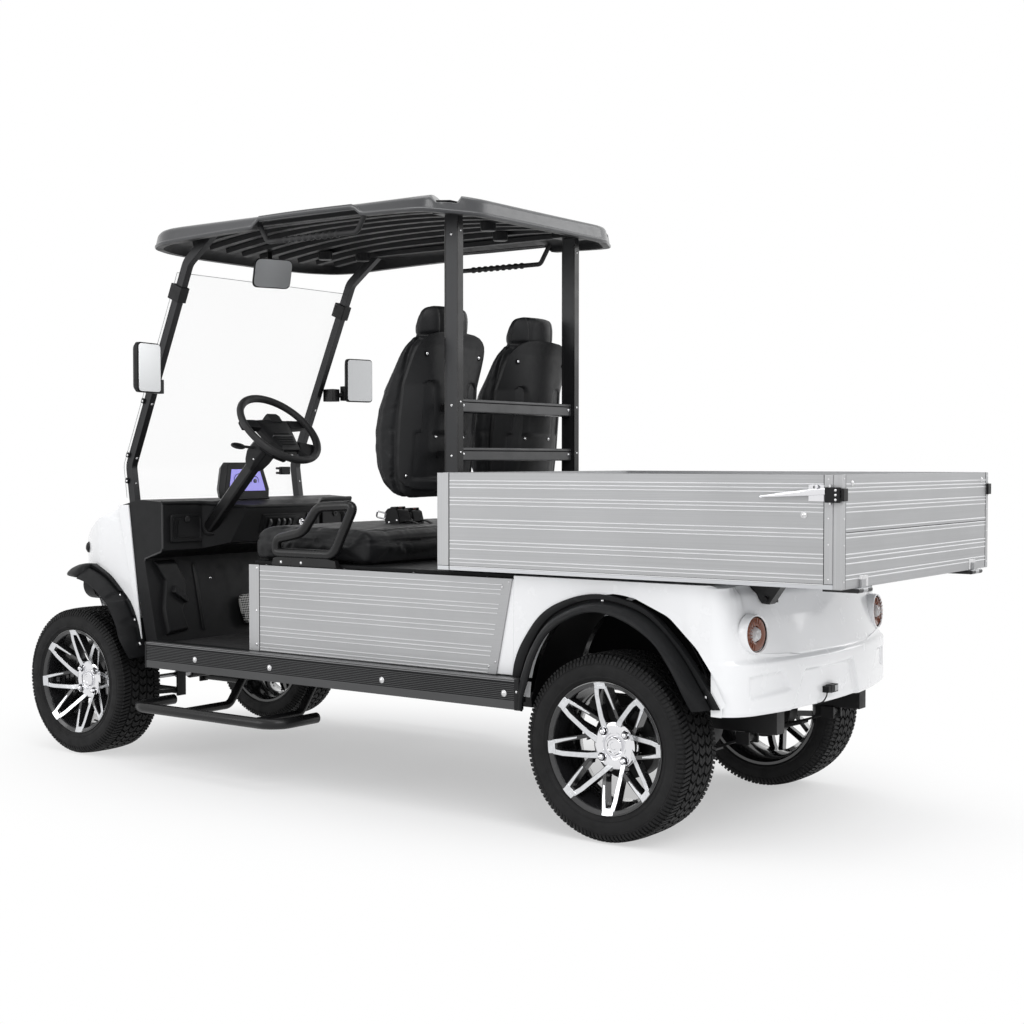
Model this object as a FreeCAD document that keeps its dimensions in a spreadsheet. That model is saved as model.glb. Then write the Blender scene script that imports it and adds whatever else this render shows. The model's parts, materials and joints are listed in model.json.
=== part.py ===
import FreeCAD, Part
import math
import os
import re
import Sketcher

# A two-seat golf cart with a long aluminium cargo bed.
# Millimetres. +X forward, +Y to the driver's left, +Z up, the ground at Z = 0.
# Lengths along X are measured from the rear axle and shifted by rear_x, so that the
# origin ends up under the middle of the whole cart.

Vector = FreeCAD.Vector

SIZES = [
    # wheels and axles
    ("wheelbase", 2440), ("track", 1023), ("rail_inset", 211.5),
    ("kingpin_inset", 41.5), ("steer_arm_inset", 20), ("web_inset", 52), ("web_thick", 18),
    ("web_half", 16), ("strut_inset", 140), ("tower_gap", 40), ("drum_inset", 86.5), ("drum_width", 60),
    ("tyre_radius", 285), ("tyre_width", 205), ("tread_half", 84), ("bead_radius", 194),
    ("bead_half", 92), ("rim_lip_radius", 202), ("rim_lip", 5), ("rim_inner_radius", 184),
    ("hub_radius", 62), ("hub_inner", -6), ("hub_outer", 32), ("hub_cap_radius", 31),
    ("hub_cap_face", 40), ("hub_gap", 3), ("stub_radius", 20), ("running_gap", 0.3),
    ("spoke_root", 55), ("spoke_tip", 187), ("spoke_root_angle", 22), ("spoke_tip_angle", 6.2),
    ("spoke_swirl", 12), ("spoke_back", 4), ("spoke_face", 90), ("spoke_leg", 12),
    ("spoke_depth", 24), ("dish_share", 0.57),
    # frame
    ("rail_width", 50), ("rail_z", 330), ("rail_height", 70),
    ("main_rail_tail", 430), ("front_rail_inset", 341.5),
    ("cross_width", 40), ("cross_height", 40),
    ("cross_reach", 575), ("plate", 8), ("hitch_spacing", 120), ("hitch_hole_radius", 6.5),
    # rear axle and drive
    ("axle_tube_radius", 36), ("diff_radius", 88), ("diff_y0", 20),
    ("diff_y1", 120), ("gear_case_x", 165), ("gear_case_low", 225), ("gear_case_high", 345),
    ("motor_x", 150), ("motor_z", 285), ("motor_radius", 80), ("motor_length", 230),
    ("drum_radius", 110),
    ("spring_half", 320), ("spring_low", 232), ("spring_rise", 76), ("leaf", 8),
    ("leaf_width", 50), ("leaf_step", 95), ("eye_radius", 15),
    # front suspension and steering
    ("kingpin_radius", 10), ("knuckle_radius", 24),
    ("carrier_low", 200), ("carrier_high", 370), ("ear", 15.7), ("ear_half", 28),
    ("arm_half", 116),
    ("arm_tube_radius", 14), ("knuckle_half_height", 35), ("knuckle_half_length", 26),
    ("steer_arm_reach", 100), ("steer_arm_z", 262), ("steer_arm_plate", 12),
    ("steer_arm_half", 14), ("rod_radius", 8), ("rod_gap", 1), ("rod_eye", 22), ("rod_eye_radius", 13),
    ("rack_radius", 14),
    ("rack_half", 180), ("rack_house_radius", 24), ("rack_house_half", 110),
    ("strut_radius", 28), ("strut_rod_radius", 12), ("strut_top", 640),
    ("tower_half", 35),
    # floor, sills and steps
    ("floor_z", 440), ("floor_plate", 12),
    ("sill_x0", 312), ("sill_y", 602), ("sill_inner", 577),
    ("sill_z0", 370), ("sill_z1", 466), ("sill_shelf", 12), ("sill_shelf_y", 536),
    ("step_y0", 470), ("step_y1", 675),
    ("step_z", 235), ("step_radius", 19), ("step_bend", 75),

    # seat pod, panels and battery
    ("pod_x0", 372), ("pod_half", 529.7), ("pod_top", 785), ("pod_wall", 8),
    ("pod_hatch_half", 410),
    ("panel_x_low", 437), ("panel_x_high", 374), ("panel_z0", 466.3),
    ("panel_z1", 774), ("panel_y1", 553), ("battery_x0", 780),
    ("battery_half", 300), ("battery_top", 700),
    # seats
    ("bench_half", 497),
    ("bench_z1", 906), ("seat_y", 262), ("seat_half", 228),
    ("shell_skin", 25),
    ("head_half", 118), ("bar_high_z", 1322), ("bar_low_z", 1165), ("bar_radius", 16),
    ("seat_arm_half", 72), ("armrest_y", 540), ("armrest_radius", 13),
    ("buckle_half", 38), ("buckle_z1", 976),
    # roof, posts and windscreen
    ("rear_post_y", 352), ("post_width", 28),
    ("post_depth", 34), ("front_post_y", 455),
    ("roof_half", 580), ("roof_skin", 18), ("roof_rim", 26), ("roof_rib", 16),
    ("roof_rib_step", 98),
    ("handle_radius", 9), ("handle_z", 1915), ("glass", 5),
    ("glass_half", 478),
    # dash and controls
    ("dash_half", 532), ("lid_y0", 335),
    ("lid_y1", 500), ("lid_z0", 832), ("lid_z1", 942), ("lid_plate", 10), ("bin_depth", 80),
    ("bin_wall", 8), ("pod_y", 104),
    ("pod_base_half", 124), ("pod_crown_half", 86), ("pod_base_z", 985), ("pod_crown_z", 1172),
    ("wheel_y", 300), ("wheel_z", 1262), ("wheel_ring_radius", 178),
    ("wheel_tube", 14), ("column_tilt", 45), ("column_radius", 21), ("column_length", 640),
    ("column_gap", 14), ("boss_radius", 30), ("pedal_z0", 495),
    ("pedal_z1", 605), ("pedal_y", 42), ("pedal_half", 58),
    # cowl, fenders, bumper and lamps
    ("cowl_wall", 6), ("flare_y0", 470), ("flare_y1", 622),
    ("bumper_radius", 26), ("bumper_z", 365), ("bumper_half", 400), ("bumper_back", 38),
    ("lamp_y", 345), ("lamp_z", 640), ("lamp_radius", 58),
    ("tail_lamp_y", 437), ("tail_lamp_z", 640), ("tail_lamp_radius", 52),
    ("plate_lamp_y", 71), ("plate_lamp_z", 446), ("recess_depth", 3.5),
    # cargo bed
    ("bed_x0", -744), ("bed_half", 575), ("bed_z0", 793), ("bed_z1", 1106),
    ("bed_floor", 14), ("board", 25), ("bed_pivot_x", -415), ("bed_pivot_z", 738),
    ("bed_pin_radius", 8), ("gate_gap", 1),
    ("hinge_radius", 7), ("hinge_y", 430), ("hinge_half", 30), ("latch_z", 1050),
    # mirrors
    ("mirror_y", 612), ("mirror_z", 1485), ("mirror_half", 56),
    ("mirror_rise", 84), ("mirror_depth", 34), ("mirror_glass", 3),
]

# how far behind the front axle the cab's places are, so that the cab moves with it
SETBACKS = [
    ("main_rail_nose", 500), ("front_rail_nose", -250), ("floor_front", 320), ("sill_x1", 402),
    ("step_x0", 1150), ("step_x1", 410), ("step_hang0", 1040), ("step_hang1", 680), ("pod_x1", 910),
    ("pod_hatch_x0", 1350), ("pod_hatch_x1", 980), ("battery_x1", 1000), ("bench_x0", 1420),
    ("bench_x1", 855), ("bar_x", 1650), ("buckle_x0", 1212), ("buckle_x1", 1140),
    ("rear_post_x0", 1705), ("rear_post_x1", 1649), ("roof_x0", 1818), ("roof_x1", 275),
    ("handle_x0", 1430), ("handle_x1", 970), ("dash_flat_x", 420), ("dash_mid_x", 525),
    ("pod_face_x", 455), ("pod_back_x", 360), ("wheel_x", 808), ("pedal_x", 415), ("bed_x1", 1784),
    ("mirror_x", 455), ("front_reach", -360),
]
SIZES += [(name + "_back", amount) for name, amount in SETBACKS]

# places worked out from the sizes, always as formulas
DERIVED = {
    "main_rail_y": "track / 2 - rail_inset",
    "front_rail_y": "track / 2 - front_rail_inset",
    "arm_pivot_y": "front_rail_y + 10",
    "kingpin_y": "track / 2 - kingpin_inset",
    "steer_arm_y": "kingpin_y - steer_arm_inset",
    "web_y0": "kingpin_y - web_inset",
    "web_y1": "web_y0 + web_thick",
    "strut_y": "kingpin_y - strut_inset",
    "tower_y1": "strut_y - tower_gap",
    "drum_y0": "track / 2 - drum_inset",
    "drum_y1": "drum_y0 + drum_width",
    "axle_tube_half": "drum_y0 + 15",
    "bracket_y0": "main_rail_y + 30",
    "bracket_y1": "bracket_y0 + 40",
    "panel_x1": "pod_x1 + 7",
    "handle_y": "roof_half - 42",
    "rear_reach": "2 * hinge_radius + gate_gap - bed_x0",
    "rear_x": "(rear_reach - front_reach) / 2",
    "wheel_half": "tyre_width / 2",
    "stub_end": "track / 2 + hub_outer - 1",
    "rail_top": "rail_z + rail_height",
    "bench_z0": "pod_top + running_gap",
    "floor_top": "floor_z + floor_plate",
    "floor_back": "pod_x0",
    "gate_x": "bed_x0 + board",
    "gate_hinge_z": "bed_z0 - hinge_radius",
    "gate_hinge_x": "bed_x0 - hinge_radius - gate_gap",
}
DERIVED.update({name: "wheelbase - %s_back" % name for name, amount in SETBACKS})

doc = FreeCAD.newDocument("GolfCart")
sheet = doc.addObject("Spreadsheet::Sheet", "Sizes")
for row, (name, amount) in enumerate(SIZES, start=1):
    sheet.set("A%d" % row, name)
    sheet.set("B%d" % row, str(amount))
    sheet.setAlias("B%d" % row, name)
doc.recompute()

ALIASES = {name for name, amount in SIZES}
nodes = []


def formula(text):
    """Write out derived places and put the sheet's name before each size."""
    def swap(match):
        word = match.group(0)
        if word in DERIVED:
            return "(" + formula(DERIVED[word]) + ")"
        return "Sizes." + word if word in ALIASES else word
    return re.sub(r"[a-z_][a-z0-9_]*", swap, str(text))


def amount_of(text):
    return float(sheet.evalExpression(formula(text)))


def bind(item, **formulas):
    """Bind properties to formulas; a double underscore in a name stands for a dot."""
    for name, text in formulas.items():
        item.setExpression(name.replace("__", "."), formula(text))
    return item


def add(kind, name):
    return doc.addObject(kind, name)


# Sketches

def read_points(points):
    """Each point is (u, v), or ("arc", u, v) for a point that the next arc passes."""
    corners = []
    arcs = {}
    for point in points:
        if point[0] == "arc":
            arcs[len(corners) - 1] = (point[1], point[2])
        else:
            corners.append(point)
    return corners, arcs


def pin(drawing, geometry, end, place):
    """Tie one sketch point to its two formulas."""
    for kind, text in zip(("DistanceX", "DistanceY"), place):
        constraint = Sketcher.Constraint(kind, -1, 1, geometry, end, amount_of(text))
        index = drawing.addConstraint(constraint)
        drawing.setExpression("Constraints[%d]" % index, formula(text))


def end_at(drawing, geometry, place):
    first = drawing.getPoint(geometry, 1)
    return 1 if (first - place).Length < 1e-6 else 2


def draw(drawing, points):
    """Fill a sketch with one closed outline of lines and arcs."""
    corners, arcs = read_points(points)
    spots = [Vector(amount_of(u), amount_of(v), 0) for u, v in corners]
    lines = []
    for index, spot in enumerate(spots):
        following = spots[(index + 1) % len(spots)]
        if index in arcs:
            middle = Vector(*[amount_of(text) for text in arcs[index]], 0)
            curve = Part.Arc(spot, middle, following)
        else:
            curve = Part.LineSegment(spot, following)
        lines.append(drawing.addGeometry(curve, False))
    for index, spot in enumerate(spots):
        here = lines[index]
        before = lines[index - 1]
        end = end_at(drawing, here, spot)
        other = end_at(drawing, before, spot)
        drawing.addConstraint(Sketcher.Constraint("Coincident", before, other, here, end))
        pin(drawing, here, end, corners[index])
    for index, middle in arcs.items():
        spot = Vector(*[amount_of(text) for text in middle], 0)
        mark = drawing.addGeometry(Part.Point(spot), True)
        pin(drawing, mark, 1, middle)
        drawing.addConstraint(Sketcher.Constraint("PointOnObject", mark, 1, lines[index]))
    return drawing


# Solids: each helper gives one document object bound to the sheet

TURNS = {
    "XY": (FreeCAD.Rotation(), Vector(0, 0, 1), "Placement__Base__z"),
    "XZ": (FreeCAD.Rotation(Vector(1, 0, 0), 90), Vector(0, 1, 0), "Placement__Base__y"),
    "YZ": (FreeCAD.Rotation(Vector(1, 1, 1), 120), Vector(1, 0, 0), "Placement__Base__x"),
}


def prism(name, plane, points, start, end):
    """An outline in one of the main planes, extruded from start to end."""
    turn, along, offset = TURNS[plane]
    drawing = draw(add("Sketcher::SketchObject", name + "_outline"), points)
    drawing.Placement = FreeCAD.Placement(Vector(0, 0, 0), turn)
    start_text = "rear_x + " + str(start) if plane == "YZ" else start
    bind(drawing, Placement__Base__x="rear_x")
    bind(drawing, **{offset: start_text})
    solid = add("Part::Extrusion", name)
    solid.Base = drawing
    solid.DirMode = "Custom"
    solid.Dir = along
    solid.Solid = True
    return bind(solid, LengthFwd="(%s) - (%s)" % (end, start))


def block(name, x0, x1, y0, y1, z0, z1):
    solid = add("Part::Box", name)
    bind(solid, Length="(%s) - (%s)" % (x1, x0), Width="(%s) - (%s)" % (y1, y0))
    bind(solid, Height="(%s) - (%s)" % (z1, z0), Placement__Base__x="rear_x + (%s)" % x0)
    return bind(solid, Placement__Base__y=y0, Placement__Base__z=z0)


AXIS_TURNS = {
    "X": FreeCAD.Rotation(Vector(0, 1, 0), 90),
    "Y": FreeCAD.Rotation(Vector(1, 0, 0), -90),
    "Z": FreeCAD.Rotation(),
}


def rod(name, axis, x, y, z, length, radius):
    """A cylinder that starts at (x, y, z) and runs along +X, +Y or +Z."""
    solid = add("Part::Cylinder", name)
    solid.Placement = FreeCAD.Placement(Vector(0, 0, 0), AXIS_TURNS[axis])
    bind(solid, Radius=radius, Height=length, Placement__Base__x="rear_x + (%s)" % x)
    return bind(solid, Placement__Base__y=y, Placement__Base__z=z)


def fuse(name, *items):
    solid = add("Part::MultiFuse", name)
    solid.Shapes = list(items)
    solid.Refine = True
    return solid


def common(name, *items):
    solid = add("Part::MultiCommon", name)
    solid.Shapes = list(items)
    return solid


def cut(name, base, *tools):
    solid = add("Part::Cut", name)
    solid.Base = base
    solid.Tool = tools[0] if len(tools) == 1 else group(name + "_tools", *tools)
    return solid


def group(name, *items):
    bundle = add("Part::Compound", name)
    bundle.Links = list(items)
    return bundle


def mirrored(item):
    """The same piece on the other side of the cart."""
    other = add("Part::Mirroring", item.Name + "_mirror")
    other.Source = item
    other.Normal = Vector(0, 1, 0)
    return other


def both_sides(*items):
    return [side for item in items for side in (item, mirrored(item))]


def shaped(name, shape):
    """A piece whose shape is worked out in code from the sheet's sizes."""
    solid = add("Part::Feature", name)
    solid.Shape = shape
    solid.Placement = FreeCAD.Placement(Vector(amount_of("rear_x"), 0, 0), FreeCAD.Rotation())
    return solid


def node(label, item):
    """Name a finished sub-part; its label names its file."""
    item.Label = label
    nodes.append(item)
    return item


def rounded_path(corners, bend, closed=False):
    """Straight runs joined by tangent arcs of radius bend."""
    count = len(corners)
    edges = []
    inner = range(count) if closed else range(1, count - 1)
    cuts = {}
    for index in inner:
        here = corners[index]
        back = (corners[index - 1] - here).normalize()
        ahead = (corners[(index + 1) % count] - here).normalize()
        half = back.getAngle(ahead) / 2
        reach = bend / math.tan(half)
        middle = (back + ahead).normalize()
        depth = bend / math.sin(half) - bend
        cuts[index] = (here + back * reach, here + middle * depth, here + ahead * reach)
    spans = range(count) if closed else range(count - 1)
    for index in spans:
        following = (index + 1) % count
        start = cuts[index][2] if index in cuts else corners[index]
        end = cuts[following][0] if following in cuts else corners[following]
        edges.append(Part.LineSegment(start, end).toShape())
        if following in cuts:
            edges.append(Part.Arc(*cuts[following]).toShape())
    return Part.Wire(edges)


def swept_tube(corners, radius, bend, closed=False):
    """A round bar along a rounded path."""
    path = rounded_path(corners, bend, closed)
    first = path.Edges[0]
    ring = Part.Circle(first.valueAt(first.FirstParameter), first.tangentAt(first.FirstParameter),
                       radius)
    return path.makePipeShell([Part.Wire(ring.toShape())], True, True)


def swept_bar(corners, width, depth, bend):
    """A flat-sided bar along a path in a plane of constant Y; width is along Y."""
    path = rounded_path(corners, bend)
    first = path.Edges[0]
    start = first.valueAt(first.FirstParameter)
    across = first.tangentAt(first.FirstParameter).cross(Vector(0, 1, 0)).normalize() * depth / 2
    side = Vector(0, width / 2, 0)
    ends = [start + across + side, start - across + side, start - across - side,
            start + across - side]
    profile = Part.makePolygon(ends + ends[:1])
    return path.makePipeShell([profile], True, True)


def points_of(*places):
    """Vectors from (x, y, z) formulas, x from the rear axle."""
    return [Vector(*[amount_of(text) for text in place]) for place in places]


# Turned pieces and wheels

def turned_body(name, points):
    """A body revolved about its own Y axis; sketch u is the radius, v is along Y."""
    body = add("PartDesign::Body", name)
    drawing = body.newObject("Sketcher::SketchObject", name + "_profile")
    plane = [item for item in body.Origin.OriginFeatures if item.Role == "XY_Plane"][0]
    drawing.AttachmentSupport = [(plane, "")]
    drawing.MapMode = "FlatFace"
    draw(drawing, points)
    turn = body.newObject("PartDesign::Revolution", name + "_turned")
    turn.Profile = drawing
    turn.ReferenceAxis = (drawing, ["V_Axis"])
    turn.Angle = 360
    doc.recompute()
    return body, turn


def polar(radius, angle):
    """A point on a circle, as two formulas; the angle is in degrees."""
    return "(%s) * cos(%s)" % (radius, angle), "(%s) * sin(%s)" % (radius, angle)


def face_sketch(body, name, points, height):
    """A sketch parallel to the body's XZ plane at the given height along Y."""
    drawing = body.newObject("Sketcher::SketchObject", name)
    plane = [item for item in body.Origin.OriginFeatures if item.Role == "XZ_Plane"][0]
    drawing.AttachmentSupport = [(plane, "")]
    drawing.MapMode = "FlatFace"
    draw(drawing, points)
    return bind(drawing, AttachmentOffset__Base__z="-(%s)" % height)


SPOKES = 8


def spoke_outline(inset):
    """One swirling spoke, wide at the rim; inset draws its pocket."""
    lead = "spoke_swirl"
    root = "spoke_root + 2.6 * %s" % inset
    tip = "spoke_tip - %s" % inset
    root_turn = "spoke_root_angle - 0.62 * %s" % inset
    tip_turn = "spoke_tip_angle - 0.3 * %s" % inset
    return [polar(root, "-(%s)" % root_turn), polar(tip, "%s - (%s)" % (lead, tip_turn)),
            polar(tip, "%s + (%s)" % (lead, tip_turn)), polar(root, root_turn)]


def repeat(body, feature, count, name):
    """Repeat a feature round the body's Y axis."""
    pattern = body.newObject("PartDesign::PolarPattern", name)
    pattern.Originals = [feature]
    axis = [item for item in body.Origin.OriginFeatures if item.Role == "Y_Axis"][0]
    pattern.Axis = (axis, [""])
    pattern.Angle = 360
    pattern.Occurrences = count
    body.Tip = pattern
    doc.recompute()
    return pattern


def turned_cut(body, name, points):
    """Cut a ring out of the body, turned about its Y axis."""
    drawing = body.newObject("Sketcher::SketchObject", name + "_profile")
    plane = [item for item in body.Origin.OriginFeatures if item.Role == "XY_Plane"][0]
    drawing.AttachmentSupport = [(plane, "")]
    drawing.MapMode = "FlatFace"
    draw(drawing, points)
    groove = body.newObject("PartDesign::Groove", name)
    groove.Profile = drawing
    groove.ReferenceAxis = (drawing, ["V_Axis"])
    groove.Angle = 360
    doc.recompute()
    body.Tip = groove


def rim_body(name):
    """Barrel with lips, a bored hub and eight dished spokes with open pockets."""
    barrel = [("rim_inner_radius", "-bead_half - rim_lip"), ("rim_lip_radius", "-bead_half - rim_lip"),
              ("rim_lip_radius", "-bead_half"), ("bead_radius", "-bead_half"),
              ("bead_radius", "bead_half"), ("rim_lip_radius", "bead_half"),
              ("rim_lip_radius", "bead_half + rim_lip"),
              ("rim_inner_radius", "bead_half + rim_lip")]
    body, turn = turned_body(name, barrel)
    bore = "stub_radius + running_gap"
    hub = [(bore, "hub_inner"), ("hub_radius", "hub_inner"), ("hub_radius", "hub_outer"),
           ("hub_cap_radius", "hub_outer"), ("hub_cap_radius", "hub_cap_face - 3"),
           ("hub_cap_radius - 3", "hub_cap_face"), ("0", "hub_cap_face"), ("0", "hub_outer"),
           (bore, "hub_outer")]
    spoke = body.newObject("PartDesign::Pad", name + "_spoke")
    spoke.Profile = face_sketch(body, name + "_spoke_outline", spoke_outline("0"), "spoke_back")
    spoke.Direction = Vector(0, 1, 0)
    spoke.UseCustomVector = True
    bind(spoke, Length="spoke_face - spoke_back")
    doc.recompute()
    repeat(body, spoke, SPOKES, name + "_spokes")
    pocket = body.newObject("PartDesign::Pocket", name + "_pocket")
    pocket.Profile = face_sketch(body, name + "_pocket_outline", spoke_outline("spoke_leg"),
                                 "spoke_face + 1")
    pocket.UseCustomVector = True
    pocket.Direction = Vector(0, -1, 0)
    bind(pocket, Length="spoke_face + 2 - spoke_back")
    doc.recompute()
    repeat(body, pocket, SPOKES, name + "_pockets")
    middle = "(hub_radius + rim_inner_radius) / 2"
    dish = "hub_outer + (spoke_face - hub_outer) * dish_share"
    turned_cut(body, name + "_dish", [
        ("spoke_root - 5", "hub_outer"), ("hub_radius", "hub_outer"), (middle, dish),
        ("rim_inner_radius", "spoke_face - 0.5"), ("rim_inner_radius", "spoke_face + 5"),
        ("spoke_root - 5", "spoke_face + 5")])
    turned_cut(body, name + "_back", [
        ("hub_radius", "hub_outer - spoke_depth"), (middle, dish + " - spoke_depth"),
        ("rim_inner_radius", "spoke_face - spoke_depth"), ("rim_inner_radius", "spoke_back - 5"),
        ("hub_radius", "spoke_back - 5")])
    centre = body.newObject("Sketcher::SketchObject", name + "_hub_profile")
    plane = [item for item in body.Origin.OriginFeatures if item.Role == "XY_Plane"][0]
    centre.AttachmentSupport = [(plane, "")]
    centre.MapMode = "FlatFace"
    draw(centre, hub)
    turn = body.newObject("PartDesign::Revolution", name + "_hub")
    turn.Profile = centre
    turn.ReferenceAxis = (centre, ["V_Axis"])
    turn.Angle = 360
    doc.recompute()
    body.Tip = turn
    return body


def tyre_body(name):
    """A low all-terrain tyre on its bead seats."""
    side = "wheel_half"
    points = [("bead_radius", "-bead_half"), ("rim_lip_radius + 1", "-bead_half"),
              ("arc", "(rim_lip_radius + tyre_radius) / 2", "-" + side),
              ("tyre_radius - 14", "-tread_half - 8"), ("tyre_radius", "-tread_half + 6"),
              ("tyre_radius", "tread_half - 6"), ("tyre_radius - 14", "tread_half + 8"),
              ("arc", "(rim_lip_radius + tyre_radius) / 2", side),
              ("rim_lip_radius + 1", "bead_half"), ("bead_radius", "bead_half")]
    body, turn = turned_body(name, points)
    return body


def set_wheel(body, x, side):
    """Stand a wheel piece on its axle; the right-hand one is turned round."""
    turn = FreeCAD.Rotation() if side > 0 else FreeCAD.Rotation(Vector(0, 0, 1), 180)
    body.Placement = FreeCAD.Placement(Vector(0, 0, 0), turn)
    bind(body, Placement__Base__x="rear_x + %s" % x, Placement__Base__z="tyre_radius")
    return bind(body, Placement__Base__y="%d * track / 2" % side)


def wheels():
    places = [("front_left", "wheelbase", 1), ("front_right", "wheelbase", -1),
              ("rear_left", "0", 1), ("rear_right", "0", -1)]
    for name, x, side in places:
        node("rim_" + name, set_wheel(rim_body("rim_" + name), x, side))
        node("tyre_" + name, set_wheel(tyre_body("tyre_" + name), x, side))


# Frame

def frame():
    half = "rail_width / 2"
    main = block("main_rail", "-main_rail_tail", "main_rail_nose", "main_rail_y - " + half,
                 "main_rail_y + " + half, "rail_z", "rail_top")
    front = block("front_rail", "main_rail_nose - cross_width", "front_rail_nose",
                  "front_rail_y - " + half, "front_rail_y + " + half, "rail_z", "rail_top")
    node("frame_rails", group("rail_set", *both_sides(main, front)))
    stations = ["-main_rail_tail + 5", "pod_x0 + 10", "pod_hatch_x0 - 300", "pod_x1 - 60",
                "main_rail_nose - cross_width - 10"]
    members = []
    hole = rod("hitch_hole", "Z", stations[0] + " + cross_width / 2", "hitch_spacing / 2",
               "rail_top - 1", "cross_height + 2", "hitch_hole_radius")
    for index, x in enumerate(stations):
        reach = "cross_reach" if index else "main_rail_y"
        members.append(block("member%d" % index, x, "%s + cross_width" % x, "-(%s)" % reach,
                             reach, "rail_top", "rail_top + cross_height"))
    members[0] = cut("hitch_member", members[0], *both_sides(hole))
    for index, x in enumerate(["main_rail_nose - 2 * cross_width", "front_rail_nose - 90"]):
        inner = "main_rail_y - " + half if index == 0 else "front_rail_y - " + half
        members.append(block("tie%d" % index, x, "%s + cross_width" % x, "-(%s)" % inner,
                             inner, "rail_z", "rail_top"))
    node("crossmembers", group("crossmember_set", *members))


# Rear axle, springs and drive

def rear_axle():
    tube = rod("axle_tube", "Y", "0", "-axle_tube_half", "tyre_radius", "2 * axle_tube_half",
               "axle_tube_radius")
    stub = rod("axle_stub", "Y", "0", "-(stub_end)", "tyre_radius", "2 * (stub_end)",
               "stub_radius")
    housing = rod("diff", "Y", "0", "diff_y0", "tyre_radius", "diff_y1 - diff_y0", "diff_radius")
    case = block("gear_case", "0", "gear_case_x + 60", "diff_y0 + 15", "diff_y1 - 15",
                 "gear_case_low", "gear_case_high")
    drum = rod("drum", "Y", "0", "drum_y0", "tyre_radius", "drum_y1 - drum_y0", "drum_radius")
    seat = block("spring_seat", "-24", "24", "main_rail_y - leaf_width / 2",
                 "main_rail_y + leaf_width / 2", "spring_low + leaf + 0.45", "tyre_radius")
    axle = fuse("rear_axle_all", tube, stub, housing, case, *both_sides(drum, seat))
    motor = rod("motor", "Y", "motor_x", "diff_y0 + 15 - motor_length", "motor_z", "motor_length",
                "motor_radius")
    node("rear_axle", group("rear_axle_set", axle, motor))


def leaf_outline(half, low, thick):
    """A curved leaf between two arcs about the axle's middle."""
    drop = "spring_rise * (%s) * (%s) / spring_half / spring_half" % (half, half)
    return [("-(%s)" % half, "%s + %s" % (low, drop)), ("arc", "0", low),
            (half, "%s + %s" % (low, drop)), (half, "%s + %s + %s" % (low, drop, thick)),
            ("arc", "0", "%s + %s" % (low, thick)),
            ("-(%s)" % half, "%s + %s + %s" % (low, drop, thick))]


def springs():
    y0 = "main_rail_y - leaf_width / 2"
    y1 = "main_rail_y + leaf_width / 2"
    leaves = []
    for index in range(3):
        half = "spring_half - %d * leaf_step" % index
        leaves.append(prism("leaf%d" % index, "XZ",
                            leaf_outline(half, "spring_low - %d * leaf" % index, "leaf"), y0, y1))
    eyes = [rod("eye%d" % index, "Y", "%s * spring_half" % side, y0,
                "spring_low + spring_rise + leaf / 2", "leaf_width", "eye_radius")
            for index, side in enumerate(("-1", "1"))]
    left = fuse("leaf_pack", *leaves, *eyes)
    node("rear_springs", group("spring_pair", *both_sides(left)))
    plates = []
    for index, side in enumerate(("-1", "1")):
        middle = "%s * spring_half" % side
        for edge, y in enumerate(("%s - plate" % y0, y1)):
            plates.append(block("hanger%d%d" % (index, edge), middle + " - 22", middle + " + 22",
                                y, y + " + plate", "spring_low + spring_rise - 16", "rail_z"))
    node("frame_brackets", group("bracket_set", *both_sides(bed_pivot(), *plates)))


# Front suspension and steering

def front_suspension():
    x = "wheelbase"
    pivot = rod("arm_pivot", "X", "wheelbase - arm_half", "arm_pivot_y", "carrier_low + ear / 2",
                "2 * arm_half", "arm_tube_radius")
    reach = "kingpin_y + 25"
    outer = [(x + " - arm_half", "arm_pivot_y"), (x + " + arm_half", "arm_pivot_y"),
             (x + " + ear_half", "web_y0"), (x + " + ear_half", reach),
             (x + " - ear_half", reach), (x + " - ear_half", "web_y0")]
    plate = prism("arm_plate", "XY", outer, "carrier_low", "carrier_low + ear")
    web_gap = [(x + " - arm_half + 34", "arm_pivot_y + 26"), (x + " + arm_half - 34", "arm_pivot_y + 26"),
               (x + " + 26", "strut_y - 40"), (x + " - 26", "strut_y - 40")]
    gap = prism("arm_gap", "XY", web_gap, "carrier_low - 1", "carrier_low + ear + 1")
    web = block("carrier_web", x + " - web_half", x + " + web_half", "web_y0", "web_y1",
                "carrier_low + ear", "carrier_high")
    top = block("carrier_top", x + " - ear_half", x + " + ear_half", "web_y0", reach,
                "carrier_high - ear", "carrier_high")
    hole = rod("kingpin_hole", "Z", x, "kingpin_y", "carrier_low - 1",
               "carrier_high - carrier_low + 2", "kingpin_radius + running_gap")
    arm = cut("front_arm", fuse("front_arm_all", cut("arm_open", plate, gap), pivot, web, top),
              hole)
    low = "carrier_low + ear"
    spring = rod("strut_spring", "Z", x, "strut_y", low + " + 70", "strut_top - 120 - " + low,
                 "strut_radius")
    body = rod("strut_body", "Z", x, "strut_y", low, "strut_top - running_gap - (" + low + ")",
               "strut_rod_radius")
    strut = fuse("strut", spring, body)
    node("front_suspension", group("front_suspension_set", *both_sides(arm, strut)))


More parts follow.
